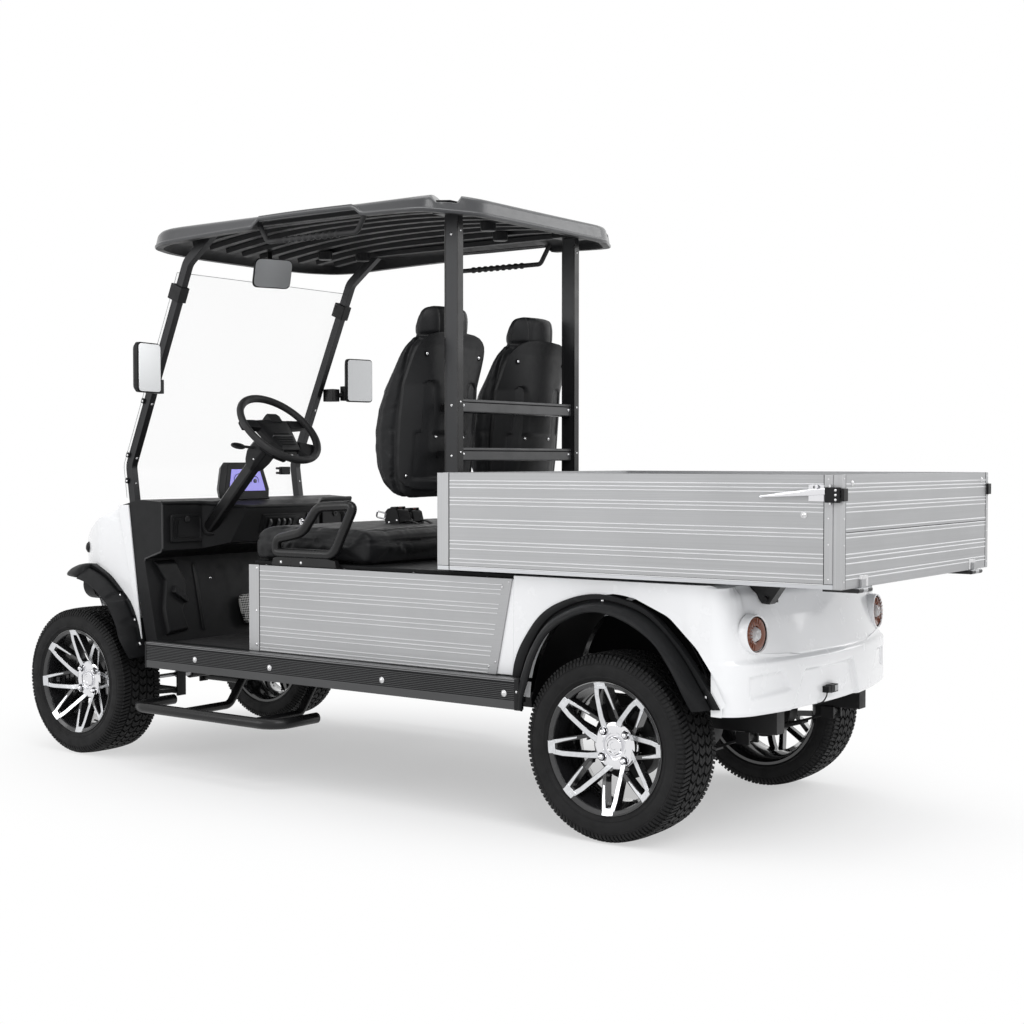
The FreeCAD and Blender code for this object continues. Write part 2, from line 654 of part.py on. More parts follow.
def subframe():
    """Brackets for the arms and the two strut towers."""
    x = "wheelbase"
    pieces = []
    for index, side in enumerate(("-1", "1")):
        near = "wheelbase + %s * (arm_half + plate / 2)" % side
        pieces.append(block("arm_bracket%d" % index, near + " - plate / 2", near + " + plate / 2",
                            "arm_pivot_y - 30", "front_rail_y + rail_width / 2",
                            "carrier_low - 12", "rail_z"))
    leg = block("tower_leg", x + " - tower_half", x + " + tower_half",
                "front_rail_y + rail_width / 2", "tower_y1", "rail_z", "strut_top + 10")
    cap = block("tower_cap", x + " - tower_half", x + " + tower_half", "tower_y1",
                "strut_y + strut_radius + 6", "strut_top", "strut_top + 10")
    tower = fuse("tower", leg, cap)
    node("front_subframe", group("subframe_set", *both_sides(tower, *pieces), rack_housing()))


def knuckle_solid(name):
    """Kingpin, stub axle and steering arm of the left front wheel."""
    x = "wheelbase"
    pin_rod = rod(name + "_pin", "Z", x, "kingpin_y", "carrier_low",
                  "carrier_high - carrier_low", "kingpin_radius")
    barrel = rod(name + "_barrel", "Z", x, "kingpin_y", "carrier_low + ear + running_gap",
                 "carrier_high - carrier_low - 2 * (ear + running_gap)", "knuckle_radius")
    stub = rod(name + "_stub", "Y", x, "kingpin_y", "tyre_radius", "stub_end - kingpin_y",
               "stub_radius")
    flange = rod(name + "_flange", "Y", x, "kingpin_y + 20", "tyre_radius",
                 "track / 2 + hub_inner - hub_gap - kingpin_y - 20", "knuckle_half_height + 5")
    bend = "knuckle_half_length"
    arm = [(x + " - steer_arm_reach - steer_arm_half", "steer_arm_y - steer_arm_half"),
           (x + " - 20", "kingpin_y - 14"), (x, "kingpin_y"), (x, "kingpin_y + 10"),
           (x + " - " + bend, "kingpin_y + 10"),
           (x + " - steer_arm_reach - steer_arm_half", "steer_arm_y + steer_arm_half")]
    plate = prism(name + "_arm", "XY", arm, "steer_arm_z - steer_arm_plate", "steer_arm_z")
    return fuse(name, pin_rod, barrel, stub, flange, plate)


RACK_Z = "steer_arm_z + rod_gap + rod_eye / 2"


def steering():
    left = knuckle_solid("knuckle")
    node("knuckle_left", group("knuckle_left_all", left))
    node("knuckle_right", group("knuckle_right_all", mirrored(left)))
    x = "wheelbase - steer_arm_reach"
    z = RACK_Z
    rack = rod("rack_bar", "Y", x, "-rack_half", z, "2 * rack_half", "rack_radius")
    ties = rod("tie_rod", "Y", x, "-steer_arm_y", z, "2 * steer_arm_y", "rod_radius")
    eye = rod("tie_eye", "Z", x, "steer_arm_y", "steer_arm_z + rod_gap", "rod_eye",
              "rod_eye_radius")
    node("steering_rack", fuse("rack_all", rack, ties, *both_sides(eye)))


def rack_housing():
    """The rack's tube, its feet and the plate that bolts under the rails."""
    x = "wheelbase - steer_arm_reach"
    z = RACK_Z
    case = rod("rack_case", "Y", x, "-rack_house_half", z, "2 * rack_house_half",
               "rack_house_radius")
    hole = rod("rack_case_bore", "Y", x, "-rack_house_half - 1", z, "2 * rack_house_half + 2",
               "rack_radius + running_gap")
    feet = block("rack_feet", x + " - 30", x + " + 30", "-rack_house_half", "rack_house_half",
                 z + " + rack_house_radius - 8", "rail_z")
    side = block("rack_wings", x + " - 30", x + " + 30", "-(front_rail_y - rail_width / 2)",
                 "front_rail_y - rail_width / 2", "rail_z - 12", "rail_z")
    return cut("rack_housing_all", fuse("rack_house_solid", case, feet, side), hole)


# Floor, sills and steps

def floor_and_sills():
    pan = block("floor_plate", "floor_back", "floor_front", "-sill_shelf_y", "sill_shelf_y",
                "floor_z", "floor_top")
    node("floor_pan", group("floor_all", pan))
    board = [("sill_inner", "sill_z0"), ("sill_y", "sill_z0 + 6"), ("sill_y", "sill_z1 - 8"),
             ("sill_y - 8", "sill_z1"), ("sill_shelf_y + running_gap", "sill_z1"),
             ("sill_shelf_y + running_gap", "sill_z1 - sill_shelf"),
             ("sill_inner", "sill_z1 - sill_shelf")]
    left = prism("sill", "YZ", board, "sill_x0", "sill_x1")
    node("rocker_sills", group("sill_pair", *both_sides(left)))
    corners = points_of(("step_x0", "step_y0", "step_z"), ("step_x0", "step_y1", "step_z"),
                        ("step_x1", "step_y1", "step_z"), ("step_x1", "step_y0", "step_z"))
    hoop = swept_tube(corners, amount_of("step_radius"), amount_of("step_bend"))
    hangers = []
    for name in ("step_hang0", "step_hang1"):
        run = points_of((name, "step_y1 - step_radius / 2", "step_z"), (name, "step_y0 - 30", "step_z"),
                        (name, "main_rail_y + rail_width / 2 + 20", "rail_z + 30"),
                        (name, "main_rail_y + rail_width / 2 - 0", "rail_z + 30"))
        hangers.append(swept_tube(run[:3], amount_of("step_radius - 4"), 40))
        stub = Part.makeCylinder(amount_of("step_radius - 4"), 22, run[3], Vector(0, 1, 0))
        ball_end = Part.makeSphere(amount_of("step_radius - 4"), run[2])
        hangers[-1] = hangers[-1].fuse([stub, ball_end])
    solid = hoop.fuse(hangers).removeSplitter()
    step = shaped("step_tube", solid)
    node("side_steps", group("step_pair", *both_sides(step)))


# Seat pod, panels and battery

def seat_pod():
    outer = block("pod_outer", "pod_x0", "pod_x1", "-pod_half", "pod_half", "floor_top", "pod_top")
    inner = block("pod_inner", "pod_x0 + pod_wall", "pod_x1 - pod_wall", "-pod_half + pod_wall",
                  "pod_half - pod_wall", "floor_top - 1", "pod_top - pod_wall")
    hatch = block("pod_hatch", "pod_hatch_x0", "pod_hatch_x1", "-pod_hatch_half",
                  "pod_hatch_half", "pod_top - 20", "pod_top + 1")
    node("seat_pod", cut("seat_pod_all", outer, inner, hatch))
    outline = [("panel_x_low", "panel_z0"), ("panel_x1", "panel_z0"), ("panel_x1", "panel_z1"),
               ("panel_x_high", "panel_z1")]
    panel = prism("side_panel", "XZ", outline, "pod_half", "panel_y1")
    node("side_panels", group("panel_pair", *both_sides(panel)))
    pack = block("battery", "battery_x0", "battery_x1", "-battery_half", "battery_half",
                 "floor_top", "battery_top")
    node("battery_pack", group("battery_all", pack))


# Seats

def bench():
    outline = [("bench_x0", "bench_z0"), ("bench_x1 - 12", "bench_z0"), ("bench_x1", "bench_z0 + 14"),
               ("bench_x1", "bench_z1 - 40"), ("arc", "bench_x1 - 12", "bench_z1 - 12"),
               ("bench_x1 - 42", "bench_z1"), ("bench_x0 + 20", "bench_z1 - 6"),
               ("bench_x0", "bench_z1 - 26")]
    node("bench_cushion", prism("bench", "XZ", outline, "-bench_half", "bench_half"))
    block_outline = [("buckle_x0", "bench_z1 - 3.45"), ("buckle_x1 + 6", "bench_z1 - 2.5"),
                     ("buckle_x1", "buckle_z1 - 12"), ("buckle_x1 - 30", "buckle_z1"),
                     ("buckle_x0 + 8", "buckle_z1 - 14")]
    node("belt_buckles", prism("buckle", "XZ", block_outline, "-buckle_half", "buckle_half"))


# front face and rear face of a seat back, as (x, z) from the rear axle
BACK_FRONT = [("wheelbase - 1440", "1012"), ("wheelbase - 1418", "1100"), ("wheelbase - 1422", "1220"),
              ("wheelbase - 1452", "1400"), ("wheelbase - 1505", "1530"), ("wheelbase - 1532", "1600"),
              ("wheelbase - 1540", "1672")]
BACK_REAR = [("wheelbase - 1615", "1680"), ("wheelbase - 1608", "1560"), ("wheelbase - 1592", "1420"),
             ("wheelbase - 1568", "1220"), ("wheelbase - 1556", "1100"), ("wheelbase - 1528", "1010")]


def shifted(points, dx):
    return [("%s + (%s)" % (x, dx), z) for x, z in points]


def seat_backs():
    side_view = BACK_FRONT + BACK_REAR
    pads = []
    shells = []
    for name, y in (("left", "seat_y"), ("right", "-seat_y")):
        plan = [(y + " - 0.80 * seat_half", "1005"), (y + " + 0.80 * seat_half", "1005"),
                ("arc", y + " + 0.97 * seat_half", "1080"),
                (y + " + seat_half", "1230"), ("arc", y + " + 0.94 * seat_half", "1400"),
                (y + " + head_half + 20", "1545"), (y + " + head_half", "1570"),
                (y + " + head_half - 12", "1670"), ("arc", y, "1684"),
                (y + " - head_half + 12", "1670"), (y + " - head_half", "1570"),
                (y + " - head_half - 20", "1545"), ("arc", y + " - 0.94 * seat_half", "1400"),
                (y + " - seat_half", "1230"), ("arc", y + " - 0.97 * seat_half", "1080")]
        front = prism("back_side_" + name, "XZ", side_view, y + " - seat_half - 5",
                      y + " + seat_half + 5")
        face = prism("back_face_" + name, "YZ", plan, "wheelbase - 1740", "wheelbase - 1190")
        pads.append(common("back_pad_" + name, front, face))
        rear_view = shifted(BACK_REAR[1:], "-shell_skin") + shifted(reversed(BACK_REAR[1:]), "0")
        skin = prism("shell_side_" + name, "XZ", rear_view, y + " - seat_half - 5",
                     y + " + seat_half + 5")
        shell_face = prism("shell_face_" + name, "YZ", plan, "wheelbase - 1740", "wheelbase - 1190")
        shells.append(common("back_shell_" + name, skin, shell_face))
    node("seat_backs", group("seat_back_pair", *pads))
    node("seat_shells", group("seat_shell_pair", *shells))
    bars = []
    inner = "rear_post_y - post_width / 2"
    for index, z in enumerate(("bar_high_z", "bar_low_z")):
        bars.append(rod("seat_bar%d" % index, "Y", "bar_x - 26", "-(%s)" % inner, z,
                        "2 * (%s)" % inner, "bar_radius"))
    arms = []
    for index, y in enumerate(("seat_y - seat_arm_half", "seat_y + seat_arm_half - 26")):
        brace = [("bar_x - 26", "bar_low_z - 12"), ("bar_x - 26", "bar_low_z + 12"),
                 ("wheelbase - 1589", "bar_low_z + 12"), ("wheelbase - 1586.6", "bar_low_z - 12")]
        arms.append(prism("seat_brace%d" % index, "XZ", brace, y, y + " + 26"))
        high = [("bar_x - 26", "bar_high_z - 12"), ("bar_x - 26", "bar_high_z + 12"),
                ("wheelbase - 1608", "bar_high_z + 12"), ("wheelbase - 1605", "bar_high_z - 12")]
        arms.append(prism("seat_stay%d" % index, "XZ", high, y, y + " + 26"))
    node("seat_back_frame", fuse("seat_frame_all", *bars, *both_sides(*arms)))


def armrests():
    y = "armrest_y"
    corners = points_of(
        ("wheelbase - 1028", y, "panel_z1 + 29"), ("wheelbase - 1042", y, "panel_z1 + 88"),
        ("wheelbase - 1195", y, "panel_z1 + 118"), ("wheelbase - 1254", y, "panel_z1 + 218"),
        ("wheelbase - 1410", y, "panel_z1 + 232"), ("wheelbase - 1355", y, "panel_z1 + 29"))
    loop = swept_tube(corners, amount_of("armrest_radius"), 24, closed=True)
    foot = block("arm_foot", "wheelbase - 1330", "wheelbase - 1050", "armrest_y - 9",
                 "armrest_y + 9", "panel_z1", "panel_z1 + 32 - armrest_radius")
    solid = fuse("armrest", shaped("arm_loop", loop), foot)
    node("armrests", group("armrest_pair", *both_sides(solid)))


# Roof, posts and windscreen

ROOF_TOP = [("roof_x0", "2008"), ("arc", "wheelbase - 1190", "2056"), ("roof_x1 - 60", "1988"),
            ("roof_x1", "1962"), ("roof_x1", "1938"), ("roof_x1 - 120", "1938"),
            ("arc", "wheelbase - 1140", "1962"), ("roof_x0", "1950")]


def roof():
    side = prism("roof_side", "XZ", ROOF_TOP, "-roof_half", "roof_half")
    plan = [("roof_x0", "-roof_half + 190"), ("roof_x0 + 95", "-roof_half + 12"),
            ("roof_x0 + 160", "-roof_half"), ("roof_x1 - 130", "-roof_half + 20"),
            ("arc", "roof_x1 - 40", "-roof_half + 60"), ("roof_x1 - 12", "-roof_half + 190"),
            ("arc", "roof_x1", "0"), ("roof_x1 - 12", "roof_half - 190"),
            ("arc", "roof_x1 - 40", "roof_half - 60"), ("roof_x1 - 130", "roof_half - 20"),
            ("roof_x0 + 160", "roof_half"), ("roof_x0 + 95", "roof_half - 12"),
            ("roof_x0", "roof_half - 190")]
    top = prism("roof_plan", "XY", plan, "1900", "2100")
    crown = [("-roof_half", "1900"), ("roof_half", "1900"), ("roof_half", "1995"),
             ("arc", "0", "2058"), ("-roof_half", "1995")]
    front = prism("roof_crown", "YZ", crown, "roof_x0 - 5", "roof_x1 + 5")
    solid = common("roof_solid", side, top, front)
    hollow_side = [("roof_x0 + roof_rim", "1990"), ("arc", "wheelbase - 1190", "2030"),
                   ("roof_x1 - 90", "1965"), ("roof_x1 - 130", "1900"),
                   ("roof_x0 + roof_rim", "1900")]
    long_hollow = prism("roof_hollow", "XZ", hollow_side, "-roof_half + roof_rim",
                        "roof_half - roof_rim")
    low_crown = [("-roof_half", "1890"), ("roof_half", "1890"), ("roof_half", "1995 - roof_skin"),
                 ("arc", "0", "2058 - roof_skin"), ("-roof_half", "1995 - roof_skin")]
    hollow = common("roof_inside", long_hollow,
                    prism("roof_inner_crown", "YZ", low_crown, "roof_x0 - 5", "roof_x1 + 5"))
    shell = cut("roof_shell", solid, hollow)
    handle_notch = [("handle_x0 - 50", "1900"), ("handle_x1 + 50", "1900"),
                    ("handle_x1 + 10", "1975"), ("handle_x0 - 10", "1975")]
    notch = prism("roof_notch", "XZ", handle_notch, "roof_half - roof_rim - 10", "roof_half + 5")
    ribs = []
    for index in range(-4, 5):
        y = "%d * roof_rib_step" % index
        rib = [("roof_x0 + roof_rim - 2", "1976"), ("arc", "wheelbase - 1190", "2010"),
               ("roof_x1 - 128", "1958"), ("roof_x1 - 128", "1990"),
               ("arc", "wheelbase - 1190", "2034"), ("roof_x0 + roof_rim - 2", "1994")]
        ribs.append(prism("roof_rib%d" % (index + 4), "XZ", rib, y + " - roof_rib / 2",
                          y + " + roof_rib / 2"))
    canopy = cut("roof_all", fuse("roof_ribbed", shell, *ribs), *both_sides(notch))
    node("roof_canopy", canopy)
    run = points_of(("handle_x0 - 30", "handle_y", "1996"), ("handle_x0 + 20", "handle_y", "handle_z"),
                    ("handle_x1 - 20", "handle_y", "handle_z"), ("handle_x1 + 30", "handle_y", "1996"))
    grip = shaped("grab_bar", swept_tube(run, amount_of("handle_radius"), 22))
    node("roof_grab_handles", cut("grab_set", group("grab_pair", *both_sides(grip)), canopy))
    return canopy


def offset_run(corners, distance):
    """The same path in a plane of constant Y, moved sideways; forward is positive."""
    normals = [(b - a).normalize().cross(Vector(0, 1, 0)) * -1 for a, b in zip(corners, corners[1:])]
    moved = [corners[0] + normals[0] * distance]
    for index in range(1, len(corners) - 1):
        middle = (normals[index - 1] + normals[index]).normalize()
        moved.append(corners[index] + middle * (distance / middle.dot(normals[index])))
    return moved + [corners[-1] + normals[-1] * distance]


def posts(*ends):
    """Two straight rear posts and two bent front ones; their ends follow what they meet."""
    rear = block("rear_post", "rear_post_x0", "rear_post_x1", "rear_post_y - post_width / 2",
                 "rear_post_y + post_width / 2", "pod_top", "2010")
    y = "front_post_y"
    run = points_of(("wheelbase - 182", y, "970"), ("wheelbase - 160", y, "1125"),
                    ("wheelbase - 490", y, "1888"), ("wheelbase - 640", y, "2000"))
    bar = shaped("front_post", swept_bar(run, amount_of("post_width"), amount_of("post_depth"), 60))
    node("roof_posts", cut("post_set", group("post_group", *both_sides(rear, bar)), *ends))
    mid = points_of(("wheelbase - 177.4", "0", "1000"), ("wheelbase - 160", "0", "1125"),
                    ("wheelbase - 472", "0", "1846.4"))
    shift = amount_of("post_depth / 2 + running_gap + glass / 2")
    pane = swept_bar(offset_run(mid, shift), amount_of("2 * glass_half"), amount_of("glass"), 80)
    node("windscreen", shaped("screen", pane))


def mirrors():
    x = "mirror_x"
    outline = [("mirror_y - mirror_half", "mirror_z - mirror_rise + 14"),
               ("arc", "mirror_y - mirror_half + 5", "mirror_z - mirror_rise + 5"),
               ("mirror_y - mirror_half + 14", "mirror_z - mirror_rise"),
               ("mirror_y + mirror_half - 14", "mirror_z - mirror_rise"),
               ("arc", "mirror_y + mirror_half - 5", "mirror_z - mirror_rise + 5"),
               ("mirror_y + mirror_half", "mirror_z - mirror_rise + 14"),
               ("mirror_y + mirror_half", "mirror_z + mirror_rise - 14"),
               ("arc", "mirror_y + mirror_half - 5", "mirror_z + mirror_rise - 5"),
               ("mirror_y + mirror_half - 14", "mirror_z + mirror_rise"),
               ("mirror_y - mirror_half + 14", "mirror_z + mirror_rise"),
               ("arc", "mirror_y - mirror_half + 5", "mirror_z + mirror_rise - 5"),
               ("mirror_y - mirror_half", "mirror_z + mirror_rise - 14")]
    shell = prism("mirror_shell", "YZ", outline, x, x + " + mirror_depth")
    clamp = block("mirror_clamp", "wheelbase - 318", "wheelbase - 282", "front_post_y + post_width / 2",
                  "front_post_y + post_width / 2 + 18", "1405", "1445")
    arm = block("mirror_arm", x + " + mirror_depth / 2 - 10", "wheelbase - 283",
                "front_post_y + post_width / 2 + 4", "front_post_y + post_width / 2 + 18",
                "1415", "1437")
    bridge = block("mirror_bridge", x + " + mirror_depth / 2 - 10", x + " + mirror_depth / 2 + 10",
                   "front_post_y + post_width / 2 + 4", "mirror_y - mirror_half + 4", "1415", "1437")
    outer = fuse("side_mirror", shell, clamp, arm, bridge)
    inside_outline = [("-68", "1845"), ("76", "1857"), ("66", "1918"), ("-60", "1912")]
    inside = prism("cabin_mirror", "YZ", inside_outline,
                   "wheelbase - 535", "wheelbase - 510")
    stem = block("cabin_mirror_stem", "wheelbase - 510", "wheelbase - 490", "-8", "8", "1890", "1968.7")
    node("mirror_housings", group("mirror_set", *both_sides(outer), fuse("inner_mirror", inside, stem)))
    glass = block("mirror_plate", x + " - mirror_glass", x, "mirror_y - mirror_half + 6",
                  "mirror_y + mirror_half - 6", "mirror_z - mirror_rise + 6",
                  "mirror_z + mirror_rise - 6")
    node("mirror_glasses", group("mirror_glass_pair", *both_sides(glass)))


# Dash and controls

def dashboard():
    side = [("wheelbase - 188", "972"), ("wheelbase - 290", "995"), ("wheelbase - 480", "985"),
            ("dash_mid_x", "965"), ("dash_mid_x", "935"), ("wheelbase - 490", "826"),
            ("wheelbase - 370", "790"), ("wheelbase - 320", "770"), ("wheelbase - 390", "floor_top"),
            ("wheelbase - 330", "floor_top"), ("wheelbase - 244", "800")]
    profile = prism("dash_side", "XZ", side, "-dash_half", "dash_half")
    plan = [("dash_mid_x - 5", "-200"), ("dash_flat_x", "-330"), ("dash_flat_x", "-dash_half"),
            ("wheelbase - 140", "-dash_half"), ("wheelbase - 140", "dash_half"),
            ("dash_flat_x", "dash_half"), ("dash_flat_x", "330"), ("dash_mid_x - 5", "200")]
    top = prism("dash_plan", "XY", plan, "floor_top - 5", "1010")
    bin_hole = block("glove_bin", "dash_flat_x - 5", "dash_flat_x + bin_depth", "lid_y0 + bin_wall",
                     "lid_y1 - bin_wall", "lid_z0 + bin_wall", "lid_z1 - bin_wall")
    solid = common("dash_solid", profile, top)
    slot = column_rod(200, amount_of("column_length + 20"), amount_of("column_radius + running_gap"))
    dash = cut("dash_all", solid, shaped("column_slot", slot), *both_sides(bin_hole))
    node("dashboard", dash)
    panel = block("glove_lid_panel", "dash_flat_x - running_gap - lid_plate", "dash_flat_x - running_gap",
                  "lid_y0", "lid_y1", "lid_z0", "lid_z1")
    pin = rod("glove_lid_pin", "Y", "dash_flat_x - running_gap - lid_plate / 2", "lid_y0", "lid_z0",
              "lid_y1 - lid_y0", "lid_plate / 2")
    lid = fuse("glove_lid", panel, pin)
    node("glove_lid_left", group("lid_left_all", lid))
    node("glove_lid_right", group("lid_right_all", mirrored(lid)))
    return dash


def instrument_pod():
    base = [("pod_y - pod_base_half", "pod_base_z"), ("pod_y + pod_base_half", "pod_base_z"),
            ("pod_y + pod_crown_half + 6", "pod_crown_z - 14"),
            ("pod_y + pod_crown_half - 10", "pod_crown_z"),
            ("pod_y - pod_crown_half + 10", "pod_crown_z"),
            ("pod_y - pod_crown_half - 6", "pod_crown_z - 14")]
    face = prism("pod_face", "YZ", base, "pod_face_x - 60", "pod_back_x + 10")
    side = [("pod_face_x - 20", "pod_base_z + 0.61"), ("pod_back_x", "pod_base_z + 6.67"),
            ("pod_back_x - 10", "pod_crown_z - 20"), ("pod_back_x - 40", "pod_crown_z"),
            ("pod_face_x + 6", "pod_crown_z")]
    flank = prism("pod_side", "XZ", side, "pod_y - pod_base_half", "pod_y + pod_base_half")
    node("instrument_pod", common("pod_all", face, flank))


def along_column(distance):
    """A point on the steering column's axis, below the wheel's centre."""
    tilt = math.radians(amount_of("column_tilt"))
    return Vector(amount_of("wheel_x") + distance * math.cos(tilt), amount_of("wheel_y"),
                  amount_of("wheel_z") - distance * math.sin(tilt))


def column_axis():
    return (along_column(1) - along_column(0)).normalize()


def column_rod(start, end, radius):
    return Part.makeCylinder(radius, end - start, along_column(start), column_axis())


def steering_wheel():
    axis = column_axis()
    hub = along_column(0)
    ring = Part.makeTorus(amount_of("wheel_ring_radius"), amount_of("wheel_tube"), hub, axis * -1)
    boss = column_rod(2, amount_of("column_gap + 40"), amount_of("boss_radius"))
    pieces = [boss]
    reach = amount_of("wheel_ring_radius")
    across = axis.cross(Vector(0, 1, 0)).normalize()
    for angle in (10, 170, 270):
        turn = FreeCAD.Rotation(axis, angle)
        direction = turn.multVec(Vector(0, 1, 0))
        spoke = Part.makeCylinder(10, reach, hub + axis * 12, direction)
        pieces.append(spoke)
    pad = Part.makeBox(150, 120, 22, Vector(-75, -60, -11))
    turn = FreeCAD.Rotation(Vector(0, 1, 0), across, axis, "ZXY")
    pad.Placement = FreeCAD.Placement(hub + axis * 4, turn)
    pieces.append(pad)
    node("steering_wheel", shaped("wheel_all", ring.fuse(pieces).removeSplitter()))
    start = amount_of("column_gap + 41")
    column = column_rod(start, amount_of("column_length"), amount_of("column_radius"))
    shroud = column_rod(start, start + 90, amount_of("column_radius + 14"))
    stalk = Part.makeCylinder(6, 120, along_column(start + 50), Vector(0.35, 0.93, 0.1))
    knob = Part.makeSphere(13, along_column(start + 50) + Vector(0.35, 0.93, 0.1).normalize() * 122)
    whole = column.fuse([shroud, stalk, knob]).removeSplitter()
    node("steering_column", shaped("column_all", whole))


def pedals():
    """The accelerator pad, leaning on a short foot against the toe board."""
    tread = [("pedal_x", "pedal_z0"), ("pedal_x + 12", "pedal_z0 - 3"),
             ("pedal_x + 42", "pedal_z1"), ("pedal_x + 30", "pedal_z1 + 4")]
    pad = prism("pedal_tread", "XZ", tread, "pedal_y - pedal_half", "pedal_y + pedal_half")
    foot = [("pedal_x + 15", "pedal_z0 + 15"), ("pedal_x + 28", "pedal_z0 + 65"),
            ("pedal_x + 48.4", "pedal_z0 + 65"), ("pedal_x + 37.4", "pedal_z0 + 15")]
    stand = prism("pedal_foot", "XZ", foot, "pedal_y - 20", "pedal_y + 20")
    node("pedals", fuse("pedal_all", pad, stand))


# Cowl, rear body, fenders, bumpers and lamps

def cowl_form(name, wall):
    """The front body's form; wall draws it again inside the skin."""
    w = wall
    x = "wheelbase"
    side = [(x + " - 301 + 2 * %s" % w, "452 - 60 * (%s > 0 ? 1 : 0)" % w),
            (x + " - 176 + %s" % w, "972 - %s" % w),
            ("arc", x + " + 40 - %s" % w, "872 - %s" % w), (x + " + 230 - %s" % w, "752 - %s" % w),
            ("arc", x + " + 300 - %s" % w, "650 - %s" % w), (x + " + 306 - %s" % w, "520"),
            (x + " + 268 - %s" % w, "400 - 20 * (%s > 0 ? 1 : 0)" % w),
            (x + " + 180", "400 - 20 * (%s > 0 ? 1 : 0)" % w)]
    plan = [(x + " - 310", "-540 + %s" % w), (x + " - 60", "-528 + %s" % w),
            ("arc", x + " + 190 - %s" % w, "-380 + %s" % w), (x + " + 307 - %s" % w, "0"),
            ("arc", x + " + 190 - %s" % w, "380 - %s" % w), (x + " - 60", "528 - %s" % w),
            (x + " - 310", "540 - %s" % w)]
    front = [("-545 + %s" % w, "350"), ("545 - %s" % w, "350"), ("545 - %s" % w, "800"),
             ("arc", "520 - %s" % w, "930 - %s" % w), ("430 - %s" % w, "1000 - %s" % w),
             ("-430 + %s" % w, "1000 - %s" % w), ("arc", "-520 + %s" % w, "930 - %s" % w),
             ("-545 + %s" % w, "800")]
    return common(name, prism(name + "_side", "XZ", side, "-560", "560"),
                  prism(name + "_plan", "XY", plan, "380", "1010"),
                  prism(name + "_front", "YZ", front, x + " - 330", x + " + 340"))


def front_arch(grow):
    """The wheel opening, the flare's inner edge grown by a margin."""
    x = "wheelbase"
    g = grow
    return [(x + " - 297 - %s" % g, "330"), (x + " - 297 - %s" % g, "409"),
            ("arc", x + " - 205 - %s" % g, "600 + 0.6 * %s" % g),
            (x + " + 10", "698 + %s" % g), ("arc", x + " + 190 + 0.6 * %s" % g, "640 + %s" % g),
            (x + " + 262 + 0.5 * %s" % g, "520"), (x + " + 262 + 0.5 * %s" % g, "330")]


def rear_arch(grow):
    g = grow
    return [("286 + %s" % g, "330"), ("286 + %s" % g, "407"),
            ("arc", "205 + %s" % g, "610 + 0.6 * %s" % g), ("3", "722 + %s" % g),
            ("arc", "-205 - %s" % g, "640 + 0.7 * %s" % g),
            ("-336 - %s" % g, "421"), ("-336 - %s" % g, "330")]


def front_cowl():
    """The white nose, open below, with its wheel arches and lamp holes."""
    outer = cowl_form("cowl_outer", "0")
    inner = cowl_form("cowl_inner", "cowl_wall")
    arch = prism("cowl_arch", "XZ", front_arch("22"), "250", "620")
    lamp = rod("lamp_hole", "X", "wheelbase + 150", "lamp_y", "lamp_z", "300", "lamp_radius + 0.3")
    return node("front_cowl", cut("cowl_all", outer, inner, *both_sides(arch, lamp)))


def body_form(name, wall):
    w = wall
    side = [("pod_x0 - 1 - %s" % w, "405 - 20 * (%s > 0 ? 1 : 0)" % w),
            ("pod_x0 - 1 - %s" % w, "783 - %s" % w), ("-322 + %s" % w, "783 - %s" % w),
            ("arc", "-345 + %s" % w, "772 - %s" % w), ("-358 + %s" % w, "750"),
            ("-392 + %s" % w, "592"), ("-455 + %s" % w, "574 - %s" % w), ("-482 + %s" % w, "552"),
            ("-486 + %s" % w, "455"), ("-462 + %s" % w, "405 - 20 * (%s > 0 ? 1 : 0)" % w)]
    plan = [("pod_x0", "-548 + %s" % w), ("pod_x0", "548 - %s" % w), ("-230", "548 - %s" % w),
            ("arc", "-345 + %s" % w, "528 - %s" % w), ("-408 + %s" % w, "478 - %s" % w),
            ("arc", "-486 + %s" % w, "0"), ("-408 + %s" % w, "-478 + %s" % w),
            ("arc", "-345 + %s" % w, "-528 + %s" % w), ("-230", "-548 + %s" % w)]
    return common(name, prism(name + "_side", "XZ", side, "-560", "560"),
                  prism(name + "_plan", "XY", plan, "370", "800"))


def rear_body():
    outer = body_form("body_outer", "0")
    inner = body_form("body_inner", "cowl_wall")
    arch = prism("body_arch", "XZ", rear_arch("22"), "380", "620")
    lamp = rod("tail_lamp_hole", "X", "-460", "tail_lamp_y", "tail_lamp_z", "120",
               "tail_lamp_radius + 0.3")
    rail = block("body_rail_gap", "-main_rail_tail - 5", "pod_x0 + 5", "-main_rail_y - 32",
                 "main_rail_y + 32", "300", "rail_top + cross_height + 3")
    shelf = block("sill_notch", "sill_x0 - 10", "pod_x0 + 1", "sill_shelf_y - 4", "560",
                  "sill_z1 - sill_shelf - running_gap", "sill_z1 + running_gap")
    slot = block("pivot_slot", "bed_pivot_x - 40", "bed_pivot_x + 90", "bracket_y0 - 19",
                 "bracket_y0", "bed_pivot_z - 19", "bed_pivot_z + 19")
    skin = body_form("body_recess_floor", "recess_depth")
    grip_outline = [("303", "468"), ("344", "525"), ("483", "519"), ("481", "457")]
    plate_outline = [("-147", "400"), ("-75", "522"), ("230", "519"), ("305", "400")]
    grip = cut("grip_recess", prism("grip_tool", "YZ", grip_outline, "-500", "-380"), skin)
    plate = cut("plate_recess", prism("plate_tool", "YZ", plate_outline, "-500", "-440"), skin)
    node("rear_body", cut("body_all", outer, inner, rail, plate,
                          *both_sides(arch, lamp, shelf, slot, grip)))


